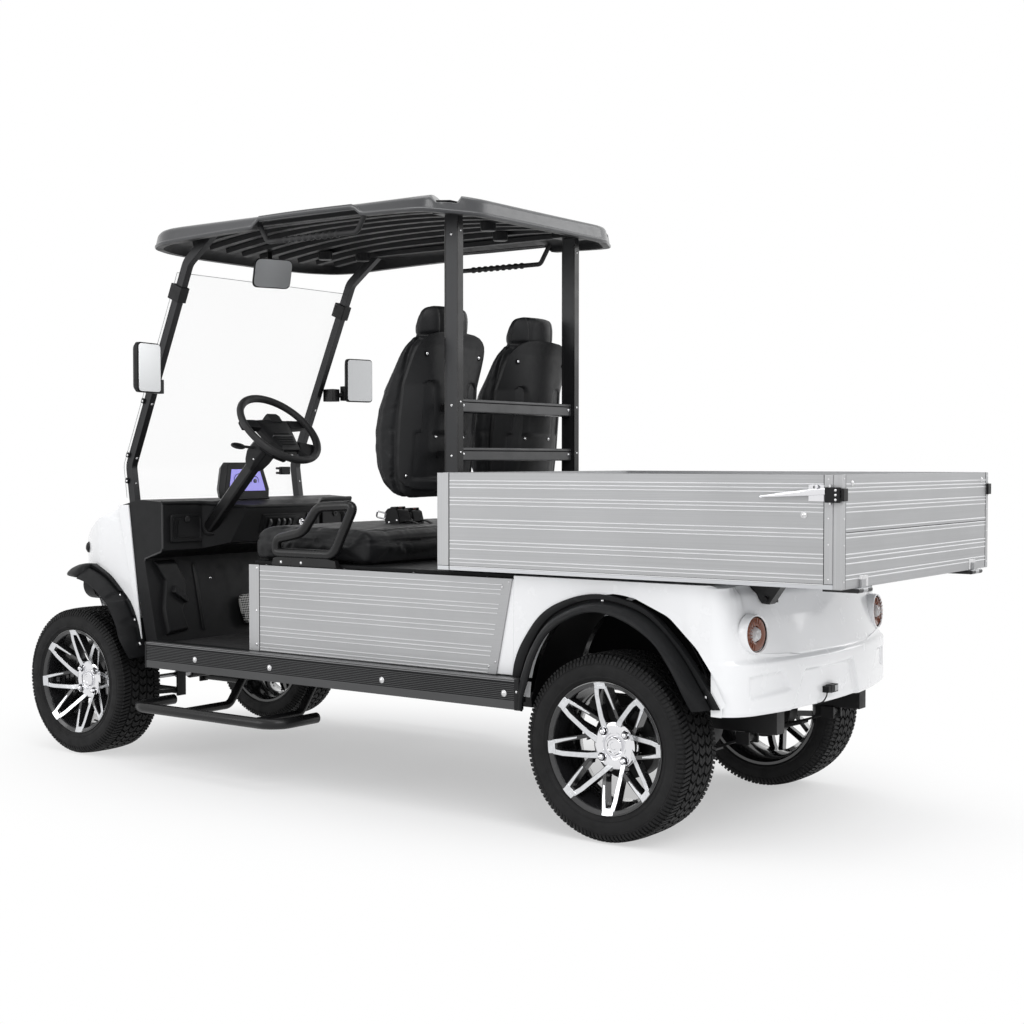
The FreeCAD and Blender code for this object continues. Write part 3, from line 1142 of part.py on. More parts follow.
def flares():
    x = "wheelbase"
    front_outer = [(x + " - 400", "417"), ("arc", x + " - 300", "640"), (x + " - 123", "751"),
                   (x + " - 18", "745"), ("arc", x + " + 55", "730"), (x + " + 98", "706"),
                   (x + " + 94", "682"), ("arc", x + " + 30", "694"), (x + " - 50", "684"),
                   ("arc", x + " - 205", "600"), (x + " - 297", "409")]
    rear_outer = [("286", "407"), ("306", "474"), ("arc", "195", "668"), ("3", "757"),
                  ("arc", "-190", "686"), ("-342", "535"), ("-393", "435"), ("-336", "421"),
                  ("arc", "-205", "640"), ("3", "722"), ("arc", "205", "610")]
    front = prism("front_flare", "XZ", front_outer, "flare_y0", "flare_y1")
    rear = prism("rear_flare", "XZ", rear_outer, "flare_y0", "flare_y1")
    taper_plan = [(x + " - 40", "flare_y1 + 1"), (x + " + 110", "flare_y1 - 62"),
                  (x + " + 110", "flare_y1 + 1")]
    taper = prism("front_flare_taper", "XY", taper_plan, "600", "800")
    foot_gap = block("flare_foot_gap", x + " - 410", x + " - 180", "flare_y0 - 5",
                     "sill_inner", "400", "700")
    pieces = [cut("front_flare_seated", front, cowl_form("cowl_seat", "0"), foot_gap, taper),
              cut("rear_flare_seated", rear, body_form("body_seat", "0"))]
    node("fender_flares", group("flare_set", *both_sides(*pieces)))


def bumper_and_lamps():
    back = points_of(("front_reach - bumper_back", "-bumper_half", "bumper_z"),
                     ("front_reach - bumper_radius", "-bumper_half + 110", "bumper_z"),
                     ("front_reach - bumper_radius", "bumper_half - 110", "bumper_z"),
                     ("front_reach - bumper_back", "bumper_half", "bumper_z"))
    tube = shaped("bumper_tube", swept_tube(back, amount_of("bumper_radius"), 90))
    stay = block("bumper_stay", "front_rail_nose", "front_reach - 2 * bumper_radius + 6",
                 "front_rail_y - 16", "front_rail_y + 16", "bumper_z - 20", "bumper_z + 20")
    node("front_bumper", fuse("bumper_all", tube, *both_sides(stay)))
    lamp = rod("head_lamp", "X", "wheelbase + 150", "lamp_y", "lamp_z", "75", "lamp_radius")
    node("headlamps", group("headlamp_set", *both_sides(lamp)))
    tail = rod("tail_lamp", "X", "-396", "tail_lamp_y", "tail_lamp_z", "40", "tail_lamp_radius")
    plate_lamp = block("plate_lamp", "-503", "recess_depth - 486.6", "plate_lamp_y - 46",
                       "plate_lamp_y + 46", "plate_lamp_z - 14", "plate_lamp_z + 14")
    node("tail_lamps", group("tail_lamp_set", *both_sides(tail), plate_lamp))


# Cargo bed

def cargo_bed():
    floor = block("bed_floor_plate", "gate_x + gate_gap", "bed_x1", "-bed_half", "bed_half", "bed_z0",
                  "bed_z0 + bed_floor")
    ear = [("bed_pivot_x - 60", "bed_z0"), ("bed_pivot_x + 70", "bed_z0"),
           ("bed_pivot_x + 14", "bed_pivot_z - 14"), ("bed_pivot_x - 10", "bed_pivot_z - 16")]
    bracket = prism("bed_bracket", "XZ", ear, "bracket_y0", "bracket_y1")
    hole = rod("bed_pin_hole", "Y", "bed_pivot_x", "bracket_y0 - 1", "bed_pivot_z",
               "bracket_y1 - bracket_y0 + 2", "bed_pin_radius + running_gap")
    pieces = both_sides(cut("bed_ear", bracket, hole))
    for index, y in enumerate(("hinge_y - hinge_half - 0.5", "hinge_y + hinge_half + 0.5")):
        knuckle = rod("bed_knuckle%d" % index, "Y", "gate_hinge_x", y, "gate_hinge_z",
                      "hinge_half", "hinge_radius")
        strap = block("bed_strap%d" % index, "gate_hinge_x", "gate_x + 70", y, y + " + hinge_half",
                      "gate_hinge_z - hinge_radius + 0.5", "bed_z0 - 1")
        foot = block("bed_strap_foot%d" % index, "gate_x + 8", "gate_x + 70", y,
                     y + " + hinge_half", "bed_z0 - 2", "bed_z0")
        pieces += both_sides(knuckle, strap, foot)
    node("bed_floor", fuse("bed_floor_all", floor, *pieces))
    low = "bed_z0 + bed_floor"
    side = block("bed_side", "gate_x + gate_gap", "bed_x1", "bed_half - board", "bed_half", low,
                 "bed_z1")
    front = block("bed_front", "bed_x1 - board", "bed_x1", "-bed_half + board", "bed_half - board",
                  low, "bed_z1")
    node("bed_boards", group("bed_board_set", *both_sides(side), front))
    gate = block("gate_board", "bed_x0", "gate_x", "-bed_half", "bed_half", "bed_z0", "bed_z1")
    barrel = rod("gate_barrel", "Y", "gate_hinge_x", "hinge_y", "gate_hinge_z", "hinge_half",
                 "hinge_radius")
    leaf = block("gate_leaf", "gate_hinge_x", "bed_x0", "hinge_y", "hinge_y + hinge_half",
                 "gate_hinge_z", "gate_hinge_z + 30")
    node("tailgate", fuse("tailgate_all", gate, *both_sides(fuse("gate_hinge", barrel, leaf))))
    lever = block("latch_lever", "bed_x0 + 86", "bed_x0 + 228", "bed_half", "bed_half + 14",
                  "latch_z - 6", "latch_z + 8")
    catch = block("latch_catch", "gate_x + gate_gap", "bed_x0 + 90", "bed_half", "bed_half + 10",
                  "latch_z - 4", "latch_z + 4")
    node("gate_latches", group("latch_pair", *both_sides(fuse("latch", lever, catch))))


def bed_pivot():
    """The left pin that the bed tips on, and its post on the rear rail."""
    pin_rod = rod("bed_pin", "Y", "bed_pivot_x", "bracket_y0 - 14", "bed_pivot_z",
                  "bracket_y1 - bracket_y0 + 28", "bed_pin_radius")
    post = block("bed_pin_post", "bed_pivot_x + 62", "bed_pivot_x + 92", "bracket_y0 - 14",
                 "bracket_y0 - 5", "rail_top", "bed_pivot_z + 12")
    arm = block("bed_pin_arm", "bed_pivot_x - 13", "bed_pivot_x + 92", "bracket_y0 - 14",
                "bracket_y0 - 5", "bed_pivot_z - 13", "bed_pivot_z + 12")
    return fuse("bed_pivot", pin_rod, post, arm)


def build():
    wheels()
    frame()
    rear_axle()
    springs()
    front_suspension()
    subframe()
    steering()
    floor_and_sills()
    seat_pod()
    bench()
    seat_backs()
    armrests()
    posts(roof(), dashboard(), front_cowl())
    mirrors()
    instrument_pod()
    steering_wheel()
    pedals()
    rear_body()
    flares()
    bumper_and_lamps()
    cargo_bed()
    doc.recompute()


def check():
    for item in doc.Objects:
        if "Invalid" in item.State or "Error" in item.State:
            raise RuntimeError("failed object: %s %s" % (item.Name, item.State))
    bad = [item.Label for item in nodes
           if item.Shape.isNull() or not item.Shape.isValid() or not item.Shape.Solids]
    if bad:
        raise RuntimeError("bad shapes: " + ", ".join(bad))


def write():
    os.makedirs("parts", exist_ok=True)
    for item in nodes:
        item.Shape.exportStep("parts/%s.step" % item.Label)
        box = item.Shape.BoundBox
        print("%-20s solids %2d volume %10.0f  x %.0f..%.0f y %.0f..%.0f z %.0f..%.0f" % (
            item.Label, len(item.Shape.Solids), item.Shape.Volume, box.XMin, box.XMax, box.YMin,
            box.YMax, box.ZMin, box.ZMax))
    print("nodes", len(nodes))


build()
check()
write()
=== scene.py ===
"""Looks of the golf cart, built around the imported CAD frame. Metres, +X forward, +Z up."""

import json
import math

import bmesh
import bpy
from mathutils import Matrix, Vector


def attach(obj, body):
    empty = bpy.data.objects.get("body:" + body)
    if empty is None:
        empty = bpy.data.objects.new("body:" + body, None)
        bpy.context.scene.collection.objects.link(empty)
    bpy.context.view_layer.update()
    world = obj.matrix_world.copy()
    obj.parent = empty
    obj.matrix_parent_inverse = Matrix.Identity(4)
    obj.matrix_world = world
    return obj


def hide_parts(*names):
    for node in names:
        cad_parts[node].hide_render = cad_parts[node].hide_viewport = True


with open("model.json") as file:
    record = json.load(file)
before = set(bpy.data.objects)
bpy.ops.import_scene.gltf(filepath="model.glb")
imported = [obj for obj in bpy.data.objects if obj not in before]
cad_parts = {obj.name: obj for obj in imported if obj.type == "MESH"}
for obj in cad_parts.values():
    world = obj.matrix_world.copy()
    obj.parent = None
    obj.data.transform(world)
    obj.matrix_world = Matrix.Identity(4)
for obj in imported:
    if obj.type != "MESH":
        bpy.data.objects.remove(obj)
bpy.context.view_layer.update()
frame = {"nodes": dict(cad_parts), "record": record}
scene = bpy.context.scene

AXLE = -1.0205          # X of the rear axle; every shape below is drawn with X from it
BASE = 2.44            # wheelbase
HALF_TRACK = 0.5115
HUB_HEIGHT = 0.285
PI = math.pi
BEVEL_FROM = 32         # degrees: edges that turn less than this are not rounded
MIX_COLOR_INPUTS = (0, 6, 7)
MIX_COLOR_OUTPUT = 2


# Mesh helpers: each shape is (vertices, faces), which join() adds up

def around(count):
    """Even angles round a circle."""
    return [2 * PI * k / count for k in range(count)]


def join(*parts):
    verts, faces = [], []
    for vs, fs in parts:
        start = len(verts)
        verts += [Vector(v) for v in vs]
        faces += [tuple(i + start for i in f) for f in fs]
    return verts, faces


def moved(part, matrix):
    return [matrix @ Vector(v) for v in part[0]], part[1]


def mirrored(part):
    """The same shape on the other side of the cart."""
    return [Vector((v[0], -v[1], v[2])) for v in part[0]], [tuple(reversed(f)) for f in part[1]]


def pair(part):
    return join(part, mirrored(part))


def box(x0, x1, y0, y1, z0, z1):
    vs = [(x, y, z) for x in (x0, x1) for y in (y0, y1) for z in (z0, z1)]
    fs = [(0, 1, 3, 2), (4, 6, 7, 5), (0, 4, 5, 1), (2, 3, 7, 6), (0, 2, 6, 4), (1, 5, 7, 3)]
    return [Vector(v) for v in vs], fs


def loft(rings, closed=True, caps=True):
    """A skin over rings with the same number of points."""
    n = len(rings[0])
    verts = [Vector(p) for ring in rings for p in ring]
    faces = []
    for i in range(len(rings) - 1):
        for j in range(n if closed else n - 1):
            k = (j + 1) % n
            faces.append((i * n + j, i * n + k, (i + 1) * n + k, (i + 1) * n + j))
    if caps and closed:
        faces.append(tuple(reversed(range(n))))
        faces.append(tuple((len(rings) - 1) * n + j for j in range(n)))
    return verts, faces


def prism(outline, axis, lo, hi):
    """An outline, as (u, v) in the other two axes in order, pushed along axis."""
    order = {"X": (2, 0, 1), "Y": (0, 2, 1), "Z": (0, 1, 2)}[axis]

    def place(u, v, w):
        got = (u, v, w)
        return Vector(tuple(got[i] for i in order))

    return loft([[place(u, v, lo) for u, v in outline], [place(u, v, hi) for u, v in outline]])


def frame_of(direction, up=Vector((0, 0, 1))):
    z = Vector(direction).normalized()
    if abs(z.dot(up)) > 0.99:
        up = Vector((1, 0, 0))
    x = up.cross(z).normalized()
    return Matrix((x, z.cross(x), z)).transposed()


def lathe(profile, centre, axis, steps=32, close=True):
    """Turns (radius, distance along axis) points round an axis."""
    m = frame_of(axis)
    rings = []
    for a in around(steps):
        rings.append([Vector(centre) + m @ Vector((r * math.cos(a), r * math.sin(a), d))
                      for r, d in profile])
    n = len(profile)
    verts = [p for ring in rings for p in ring]
    faces = []
    for i in range(steps):
        j = (i + 1) % steps
        for k in range(n if close else n - 1):
            q = (k + 1) % n
            faces.append((i * n + k, j * n + k, j * n + q, i * n + q))
    return verts, faces


def dome(centre, axis, radius, height, steps=14):
    """A round screw head with its base on centre."""
    profile = [(0.0005, height), (radius * 0.45, height * 0.92), (radius * 0.8, height * 0.62),
               (radius, height * 0.2), (radius, 0), (0.0005, 0)]
    return lathe(profile, centre, axis, steps, close=False)


def nut(centre, axis, radius, height):
    m = frame_of(axis)
    rings = []
    for r, d in ((radius, 0), (radius, height * 0.8), (radius * 0.82, height)):
        rings.append([Vector(centre) + m @ Vector((r * math.cos(i * PI / 3), r * math.sin(i * PI / 3), d))
                      for i in range(6)])
    return loft(rings)


def tube(points, radius, sides=16, closed=False, flat=1.0):
    """A round bar along points."""
    pts = [Vector(p) for p in points]
    n = len(pts)
    rings = []
    last = None
    for i, p in enumerate(pts):
        before = pts[(i - 1) % n] if closed or i else p
        after = pts[(i + 1) % n] if closed or i < n - 1 else p
        t = (after - before).normalized()
        if last is None:
            m = frame_of(t)
            side = m @ Vector((1, 0, 0))
        else:
            side = (last - t * last.dot(t)).normalized()
        last = side
        other = t.cross(side)
        rings.append([p + side * math.cos(a) * radius + other * math.sin(a) * radius * flat
                      for a in around(sides)])
    if closed:
        rings.append(rings[0])
    return loft(rings, caps=not closed)


def rounded(corners, bend, steps=6, closed=False):
    """Corners in order, each replaced by a smooth turn."""
    pts = [Vector(c) for c in corners]
    n = len(pts)
    out = []
    for i, p in enumerate(pts):
        if not closed and i in (0, n - 1):
            out.append(p)
            continue
        a, b = pts[(i - 1) % n], pts[(i + 1) % n]
        reach = min(bend, (a - p).length * 0.49, (b - p).length * 0.49)
        s = p + (a - p).normalized() * reach
        e = p + (b - p).normalized() * reach
        for k in range(steps + 1):
            t = k / steps
            out.append(s.lerp(p, t).lerp(p.lerp(e, t), t))
    return out


def smooth_curve(points, steps):
    """A Catmull-Rom line through points."""
    pts = [Vector(p) for p in points]
    n = len(pts)
    out = []
    for i in range(n - 1):
        p0, p1, p2, p3 = pts[max(0, i - 1)], pts[i], pts[i + 1], pts[min(n - 1, i + 2)]
        for k in range(steps):
            t = k / steps
            out.append(0.5 * (2 * p1 + (p2 - p0) * t + (2 * p0 - 5 * p1 + 4 * p2 - p3) * t * t
                              + (3 * p1 - p0 - 3 * p2 + p3) * t ** 3))
    return out + [pts[-1]]


def piece(name, part, finish, body="chassis", bevel=0.0, segments=2, levels=0,
          replaces=(), angle=40):
    """Makes the object in a finish of M, parents it to its body and hides the nodes it replaces."""
    mesh = bpy.data.meshes.new(name)
    mesh.from_pydata([(v[0] + AXLE, v[1], v[2]) for v in part[0]], [], part[1])
    mesh.validate()
    bm = bmesh.new()
    bm.from_mesh(mesh)
    bmesh.ops.recalc_face_normals(bm, faces=bm.faces)
    bm.to_mesh(mesh)
    bm.free()
    obj = bpy.data.objects.new(name, mesh)
    scene.collection.objects.link(obj)
    mesh.materials.append(M[finish])
    for polygon in mesh.polygons:
        polygon.use_smooth = True
    if bevel:
        mod = obj.modifiers.new("edge", "BEVEL")
        mod.width = bevel
        mod.segments = segments
        mod.limit_method = "ANGLE"
        mod.angle_limit = math.radians(BEVEL_FROM)
    if levels:
        mod = obj.modifiers.new("smooth", "SUBSURF")
        mod.levels = levels
        mod.render_levels = levels
    else:
        mark_sharp(mesh, angle)
    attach(obj, body)
    if replaces:
        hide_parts(*replaces)
    return obj


def mark_sharp(mesh, angle):
    """Keeps the edges that turn by more than angle, in degrees, as hard folds."""
    bm = bmesh.new()
    bm.from_mesh(mesh)
    limit = math.radians(angle)
    for edge in bm.edges:
        edge.smooth = len(edge.link_faces) != 2 or edge.calc_face_angle(0) < limit
    bm.to_mesh(mesh)
    bm.free()


# Materials

def shader(name, color, rough, metal=0.0, coat=0.0, spec=0.5, sheen=0.0, alpha=1.0):
    """A plain material, which the makers below dress with maps."""
    mat = bpy.data.materials.new(name)
    mat.use_nodes = True
    ins = mat.node_tree.nodes["Principled BSDF"].inputs
    for key, value in (("Base Color", (*color, 1)), ("Roughness", rough), ("Metallic", metal),
                       ("Coat Weight", coat), ("Coat Roughness", 0.06), ("Specular IOR Level", spec),
                       ("Sheen Weight", sheen), ("Alpha", alpha), ("IOR", 1.45)):
        ins[key].default_value = value
    return mat


class Graph:
    """Short names for the nodes a material needs."""

    def __init__(self, mat):
        self.tree = mat.node_tree
        self.bsdf = self.tree.nodes["Principled BSDF"]
        self.where = self.add("ShaderNodeTexCoord").outputs["Object"]

    def add(self, kind, **values):
        node = self.tree.nodes.new(kind)
        for key, value in values.items():
            if hasattr(node, key):
                setattr(node, key, value)
            else:
                node.inputs[key.replace("_", " ")].default_value = value
        return node

    def link(self, a, b):
        self.tree.links.new(a, b)

    def scaled(self, scale, turn=(0, 0, 0)):
        node = self.add("ShaderNodeMapping")
        node.inputs["Scale"].default_value = scale
        node.inputs["Rotation"].default_value = turn
        self.link(self.where, node.inputs["Vector"])
        return node.outputs["Vector"]

    def noise(self, scale, detail=3.0, rough=0.55, vector=None, distortion=0.0):
        node = self.add("ShaderNodeTexNoise", Scale=scale, Detail=detail, Roughness=rough,
                        Distortion=distortion)
        self.link(vector or self.where, node.inputs["Vector"])
        return node.outputs["Fac"]

    def cells(self, scale):
        node = self.add("ShaderNodeTexVoronoi", Scale=scale)
        self.link(self.where, node.inputs["Vector"])
        return node.outputs["Distance"]

    def ramp(self, value, stops):
        node = self.add("ShaderNodeValToRGB")
        ramp = node.color_ramp
        while len(ramp.elements) < len(stops):
            ramp.elements.new(0.5)
        for element, (at, shade) in zip(ramp.elements, stops):
            element.position = at
            element.color = (*shade, 1) if isinstance(shade, tuple) else (shade, shade, shade, 1)
        self.link(value, node.inputs["Fac"])
        return node.outputs["Color"]

    def math(self, kind, a, b=0.0):
        node = self.add("ShaderNodeMath", operation=kind)
        for socket, value in zip(node.inputs, (a, b)):
            if isinstance(value, (int, float)):
                socket.default_value = value
            else:
                self.link(value, socket)
        return node.outputs[0]

    def mix(self, factor, a, b):
        node = self.add("ShaderNodeMix", data_type="RGBA")
        for index, value in zip(MIX_COLOR_INPUTS, (factor, a, b)):
            if isinstance(value, tuple):
                node.inputs[index].default_value = (*value, 1)
            else:
                self.link(value, node.inputs[index])
        return node.outputs[MIX_COLOR_OUTPUT]

    def bump(self, height, strength, distance, under=None):
        node = self.add("ShaderNodeBump", Strength=strength, Distance=distance)
        self.link(height, node.inputs["Height"])
        if under:
            self.link(under, node.inputs["Normal"])
        return node.outputs["Normal"]

    def out(self, **sockets):
        for key, value in sockets.items():
            self.link(value, self.bsdf.inputs[key.replace("_", " ")])


def grained(name, color, rough, grain=420, depth=0.0004, strength=0.5, tint=0.25, **rest):
    """Moulded plastic: fine cells, slight shade changes and dusting."""
    mat = shader(name, color, rough, **rest)
    g = Graph(mat)
    large = g.noise(3.1, 4)
    shade = g.ramp(large, [(0.3, tuple(c * (1 - tint) for c in color)),
                           (0.7, tuple(min(1, c * (1 + tint)) for c in color))])
    wear = g.ramp(g.noise(26, 5), [(0.42, rough * 0.9), (0.68, min(1, rough * 1.15))])
    cell = g.cells(grain)
    g.out(Base_Color=shade, Roughness=wear, Normal=g.bump(cell, strength, depth))
    return mat


def brushed(name, color, rough, along=(2, 400, 400), metal=1.0, depth=0.00012, **rest):
    """Drawn metal: streaks run along one axis."""
    mat = shader(name, color, rough, metal, **rest)
    g = Graph(mat)
    streak = g.noise(1.0, 4, 0.6, g.scaled(along))
    smear = g.noise(4.0, 3)
    shade = g.ramp(streak, [(0.25, tuple(c * 0.86 for c in color)),
                            (0.75, tuple(min(1, c * 1.08) for c in color))])
    shade = g.mix(g.ramp(smear, [(0.35, 0.0), (0.75, 0.35)]), shade, tuple(c * 0.8 for c in color))
    rough_map = g.ramp(streak, [(0.2, rough * 0.8), (0.8, min(1, rough * 1.3))])
    g.out(Base_Color=shade, Roughness=rough_map, Normal=g.bump(streak, 0.35, depth))
    return mat


def painted(name, color, rough, coat=0.6, orange=0.00015, tint=0.06, **rest):
    """Sprayed paint with a faint orange peel and a little dust."""
    mat = shader(name, color, rough, coat=coat, **rest)
    g = Graph(mat)
    shade = g.ramp(g.noise(2.2, 4), [(0.35, tuple(c * (1 - tint) for c in color)),
                                      (0.7, tuple(min(1, c * (1 + tint)) for c in color))])
    rough_map = g.ramp(g.noise(14, 5), [(0.4, rough * 0.8), (0.75, min(1, rough * 1.35))])
    g.out(Base_Color=shade, Roughness=rough_map, Normal=g.bump(g.noise(160, 2), 0.2, orange))
    return mat


M = {}
M["plastic"] = grained("black_plastic", (0.0085, 0.0088, 0.0095), 0.46, spec=0.17)
M["plastic_fine"] = grained("fine_plastic", (0.0115, 0.0117, 0.0125), 0.42, grain=900, depth=0.0002,
                            spec=0.2)
M["roof"] = grained("roof_plastic", (0.04, 0.041, 0.044), 0.32, grain=520, tint=0.18, spec=0.5, coat=0.35)
M["dash"] = grained("dash_plastic", (0.0115, 0.0117, 0.0125), 0.48, grain=620, spec=0.17)
M["tube"] = painted("black_powder", (0.0085, 0.0085, 0.009), 0.34, spec=0.3, coat=0.12, orange=0.0004)
M["frame"] = painted("frame_paint", (0.0115, 0.0115, 0.012), 0.5, spec=0.3, coat=0.03, orange=0.0006,
                     tint=0.25)
M["white"] = painted("white_gelcoat", (0.88, 0.885, 0.895), 0.24, coat=0.6, tint=0.03)
M["aluminium"] = brushed("brushed_boards", (0.42, 0.423, 0.43), 0.5, along=(1.5, 260, 420), metal=0.62)
M["aluminium_up"] = brushed("brushed_upright", (0.46, 0.463, 0.47), 0.48, along=(260, 420, 1.5), metal=0.62)
M["aluminium_across"] = brushed("brushed_across", (0.42, 0.423, 0.43), 0.5, along=(260, 1.5, 420),
                                metal=0.62)
M["tread"] = brushed("bed_sheet", (0.56, 0.57, 0.59), 0.42, along=(2, 300, 300))
M["steel"] = brushed("machined_steel", (0.5, 0.5, 0.51), 0.38, along=(60, 60, 60))
M["chrome"] = shader("bright_plate", (0.78, 0.78, 0.8), 0.1, 1.0)
M["polish"] = brushed("polished_spokes", (0.72, 0.73, 0.75), 0.16, along=(90, 90, 90), depth=0.00004)
M["rim"] = painted("rim_gloss_black", (0.012, 0.012, 0.013), 0.16, coat=0.8)
M["rubber"] = grained("tyre_rubber", (0.009, 0.009, 0.0094), 0.66, grain=700, depth=0.0003, tint=0.3,
                      spec=0.25)
# The pressed lines' ridges catch real light, and their brighter colour than the boards adds a painted
# highlight
M["line"] = brushed("pressed_lines_highlight", (0.66, 0.665, 0.675), 0.4, metal=0.7, along=(1.5, 1.5, 420))
# Near-black sheets laid into grooves, seams, wells and the rear arches: painted shade where the real surface
# is only in shadow
M["gap"] = shader("dark_gap", (0.004, 0.004, 0.0045), 0.7, spec=0.1)
M["bolt"] = brushed("zinc_bolts", (0.7, 0.7, 0.71), 0.24, along=(70, 70, 70), depth=0.00005)
M["trim"] = brushed("sill_trim_metal", (0.2, 0.2, 0.205), 0.42, along=(1.5, 300, 300), metal=0.85)
M["grey"] = painted("rim_lip_grey", (0.03, 0.03, 0.031), 0.3, coat=0.4)
M["grip"] = grained("grip_rubber", (0.016, 0.016, 0.017), 0.62, grain=800, depth=0.0002)
M["mat"] = grained("floor_mat", (0.02, 0.02, 0.021), 0.7, grain=520, tint=0.35)
M["post"] = brushed("post_finish", (0.026, 0.0265, 0.028), 0.34, along=(320, 320, 1.2), metal=0.55)
# A grey, half-metal finish: the mirror's real sheen, with a painted reflection of bright surroundings in its
# grey base colour
M["mirror"] = shader("mirror_silver", (0.7, 0.71, 0.72), 0.16, 0.45)
M["glass"] = shader("clear_screen", (0.97, 0.985, 0.98), 0.02, alpha=0.035, spec=0.5)
M["rim_line"] = shader("screen_rim_line", (0.36, 0.38, 0.38), 0.3)
M["lens"] = shader("clear_lens", (0.92, 0.93, 0.94), 0.06, alpha=0.45, spec=0.7, coat=0.5)
M["amber"] = shader("amber_lens", (0.17, 0.042, 0.014), 0.16, coat=0.35)
M["battery"] = grained("battery_case", (0.05, 0.053, 0.056), 0.5)
M["shell"] = grained("shell_moulding", (0.0115, 0.0117, 0.0125), 0.46, spec=0.25, grain=560, depth=0.0003,
                     tint=0.2)
M["rail"] = painted("rail_paint", (0.046, 0.0465, 0.048), 0.42, coat=0.12, orange=0.0003, tint=0.12)
M["tag"] = grained("release_key", (0.36, 0.05, 0.045), 0.42)
M["screen"] = painted("display_film", (0.34, 0.31, 0.86), 0.25, coat=0.2, tint=0.25)
for socket, value in (("Emission Color", (0.3, 0.27, 0.9, 1)), ("Emission Strength", 0.45)):
    M["screen"].node_tree.nodes["Principled BSDF"].inputs[socket].default_value = value
M["dial"] = painted("display_dials", (0.1, 0.1, 0.2), 0.3, coat=0.3)


def leatherette():
    mat = shader("black_leatherette", (0.01, 0.0103, 0.011), 0.44, sheen=0.04, spec=0.27)
    g = Graph(mat)
    pore = g.cells(330)
    fold = g.noise(9, 4, 0.5, distortion=1.2)
    shade = g.ramp(g.noise(5, 4), [(0.3, (0.0065, 0.0067, 0.0075)), (0.75, (0.0135, 0.0139, 0.015))])
    rough = g.ramp(g.noise(30, 4), [(0.35, 0.4), (0.7, 0.54)])
    low = g.bump(fold, 0.25, 0.004)
    g.out(Base_Color=shade, Roughness=rough, Normal=g.bump(pore, 0.55, 0.0006, low))
    return mat


def hatched():
    """The pedal's pale and black diamonds."""
    mat = shader("pedal_hatch", (0.5, 0.5, 0.5), 0.55)
    g = Graph(mat)
    check = g.add("ShaderNodeTexChecker", Scale=1.0)
    g.link(g.scaled((0.0001, 155, 155), (math.radians(45), 0, 0)), check.inputs["Vector"])
    shade = g.mix(check.outputs["Fac"], (0.02, 0.02, 0.021), (0.58, 0.58, 0.56))
    g.out(Base_Color=shade, Normal=g.bump(check.outputs["Fac"], 0.6, 0.0012))
    return mat


SHEET_LOW = 0.7915


def bed_metal():
    """The bed's sheet is bare metal; the ears below it are painted black."""
    mat = M["tread"]
    g = Graph(mat)
    cut = g.add("ShaderNodeSeparateXYZ")
    g.link(g.where, cut.inputs[0])
    sheet = g.math("GREATER_THAN", cut.outputs[2], SHEET_LOW)
    old = g.bsdf.inputs["Base Color"].links[0].from_socket
    g.out(Base_Color=g.mix(sheet, (0.01, 0.01, 0.0105), old), Metallic=sheet)


# The rear arches' hollow, which the body's material paints near-black as shade
ARCH = (0.05, 0.36)           # middle of the wheel arch, X and Z
ARCH_REACH = 0.405
ARCH_ENDS = (-0.335, 0.37)
ARCH_SIDE = 0.547              # outside this the body is white


def body_white():
    """The rear body: white outside, and near-black inside its arches as painted shade."""
    mat = painted("body_gelcoat", (0.88, 0.885, 0.895), 0.24, coat=0.6, tint=0.03)
    g = Graph(mat)
    cut = g.add("ShaderNodeSeparateXYZ")
    g.link(g.where, cut.inputs[0])
    inside = g.math("LESS_THAN", g.math("ABSOLUTE", cut.outputs[1]), ARCH_SIDE)
    behind = g.math("GREATER_THAN", cut.outputs[0], ARCH_ENDS[0] + AXLE)
    before = g.math("LESS_THAN", cut.outputs[0], ARCH_ENDS[1] + AXLE)
    from_axle = g.math("ADD", cut.outputs[0], -AXLE - ARCH[0])
    up = g.math("ADD", cut.outputs[2], -ARCH[1])
    reach = g.math("ADD", g.math("MULTIPLY", from_axle, from_axle), g.math("MULTIPLY", up, up))
    near = g.math("LESS_THAN", reach, ARCH_REACH ** 2)
    # under: 1 inside the arch's hollow, where the colour is painted shade
    under = g.math("MULTIPLY", g.math("MULTIPLY", inside, near), g.math("MULTIPLY", behind, before))
    old = g.bsdf.inputs["Base Color"].links[0].from_socket
    g.out(Base_Color=g.mix(under, old, (0.006, 0.006, 0.0065)))
    return mat


M["body"] = body_white()
bed_metal()
M["leather"] = leatherette()
M["hatch"] = hatched()

# The finish of each slot in the record, then the nodes that have one of their own
FINISH = {
    "chassis_black": "frame", "machined_steel": "steel", "floor_mat": "mat",
    "sill_plastic": "plastic", "pod_plastic": "plastic", "brushed_aluminium": "aluminium",
    "battery_case": "battery", "leatherette": "leather", "shell_plastic": "plastic_fine",
    "roof_plastic": "roof", "grip_rubber": "grip", "post_black": "post", "clear_glass": "glass",
    "mirror_frame": "plastic_fine", "mirror_silver": "mirror", "dash_plastic": "dash",
    "pod_gloss": "plastic_fine", "wheel_rim_plastic": "plastic_fine", "pedal_pad": "hatch",
    "white_paint": "white", "flare_plastic": "plastic", "lamp_clear": "lens",
    "lamp_amber": "amber", "latch_chrome": "chrome", "buckle_black": "plastic_fine",
    "tyre_rubber": "rubber", "rim_black": "rim",
}
SPECIAL = {"rear_body": "body", "side_steps": "tube", "seat_back_frame": "tube", "armrests": "tube",
           "front_bumper": "tube", "bed_floor": "tread", "tailgate": "aluminium_across"}
# Nodes whose shading is evened by face size: plain flat ones wholly, the two shells by half
FLAT_FACED = ("battery_pack bed_floor crossmembers dashboard floor_pan frame_brackets frame_rails "
              "front_subframe front_suspension rear_axle rocker_sills roof_posts seat_pod side_panels "
              "tailgate windscreen").split()
SHELLS = ("front_cowl", "rear_body")
WELD_REACH = 0.00002
NODE_EDGE = 0.0012
NODE_BEVEL_FROM = 35            # degrees


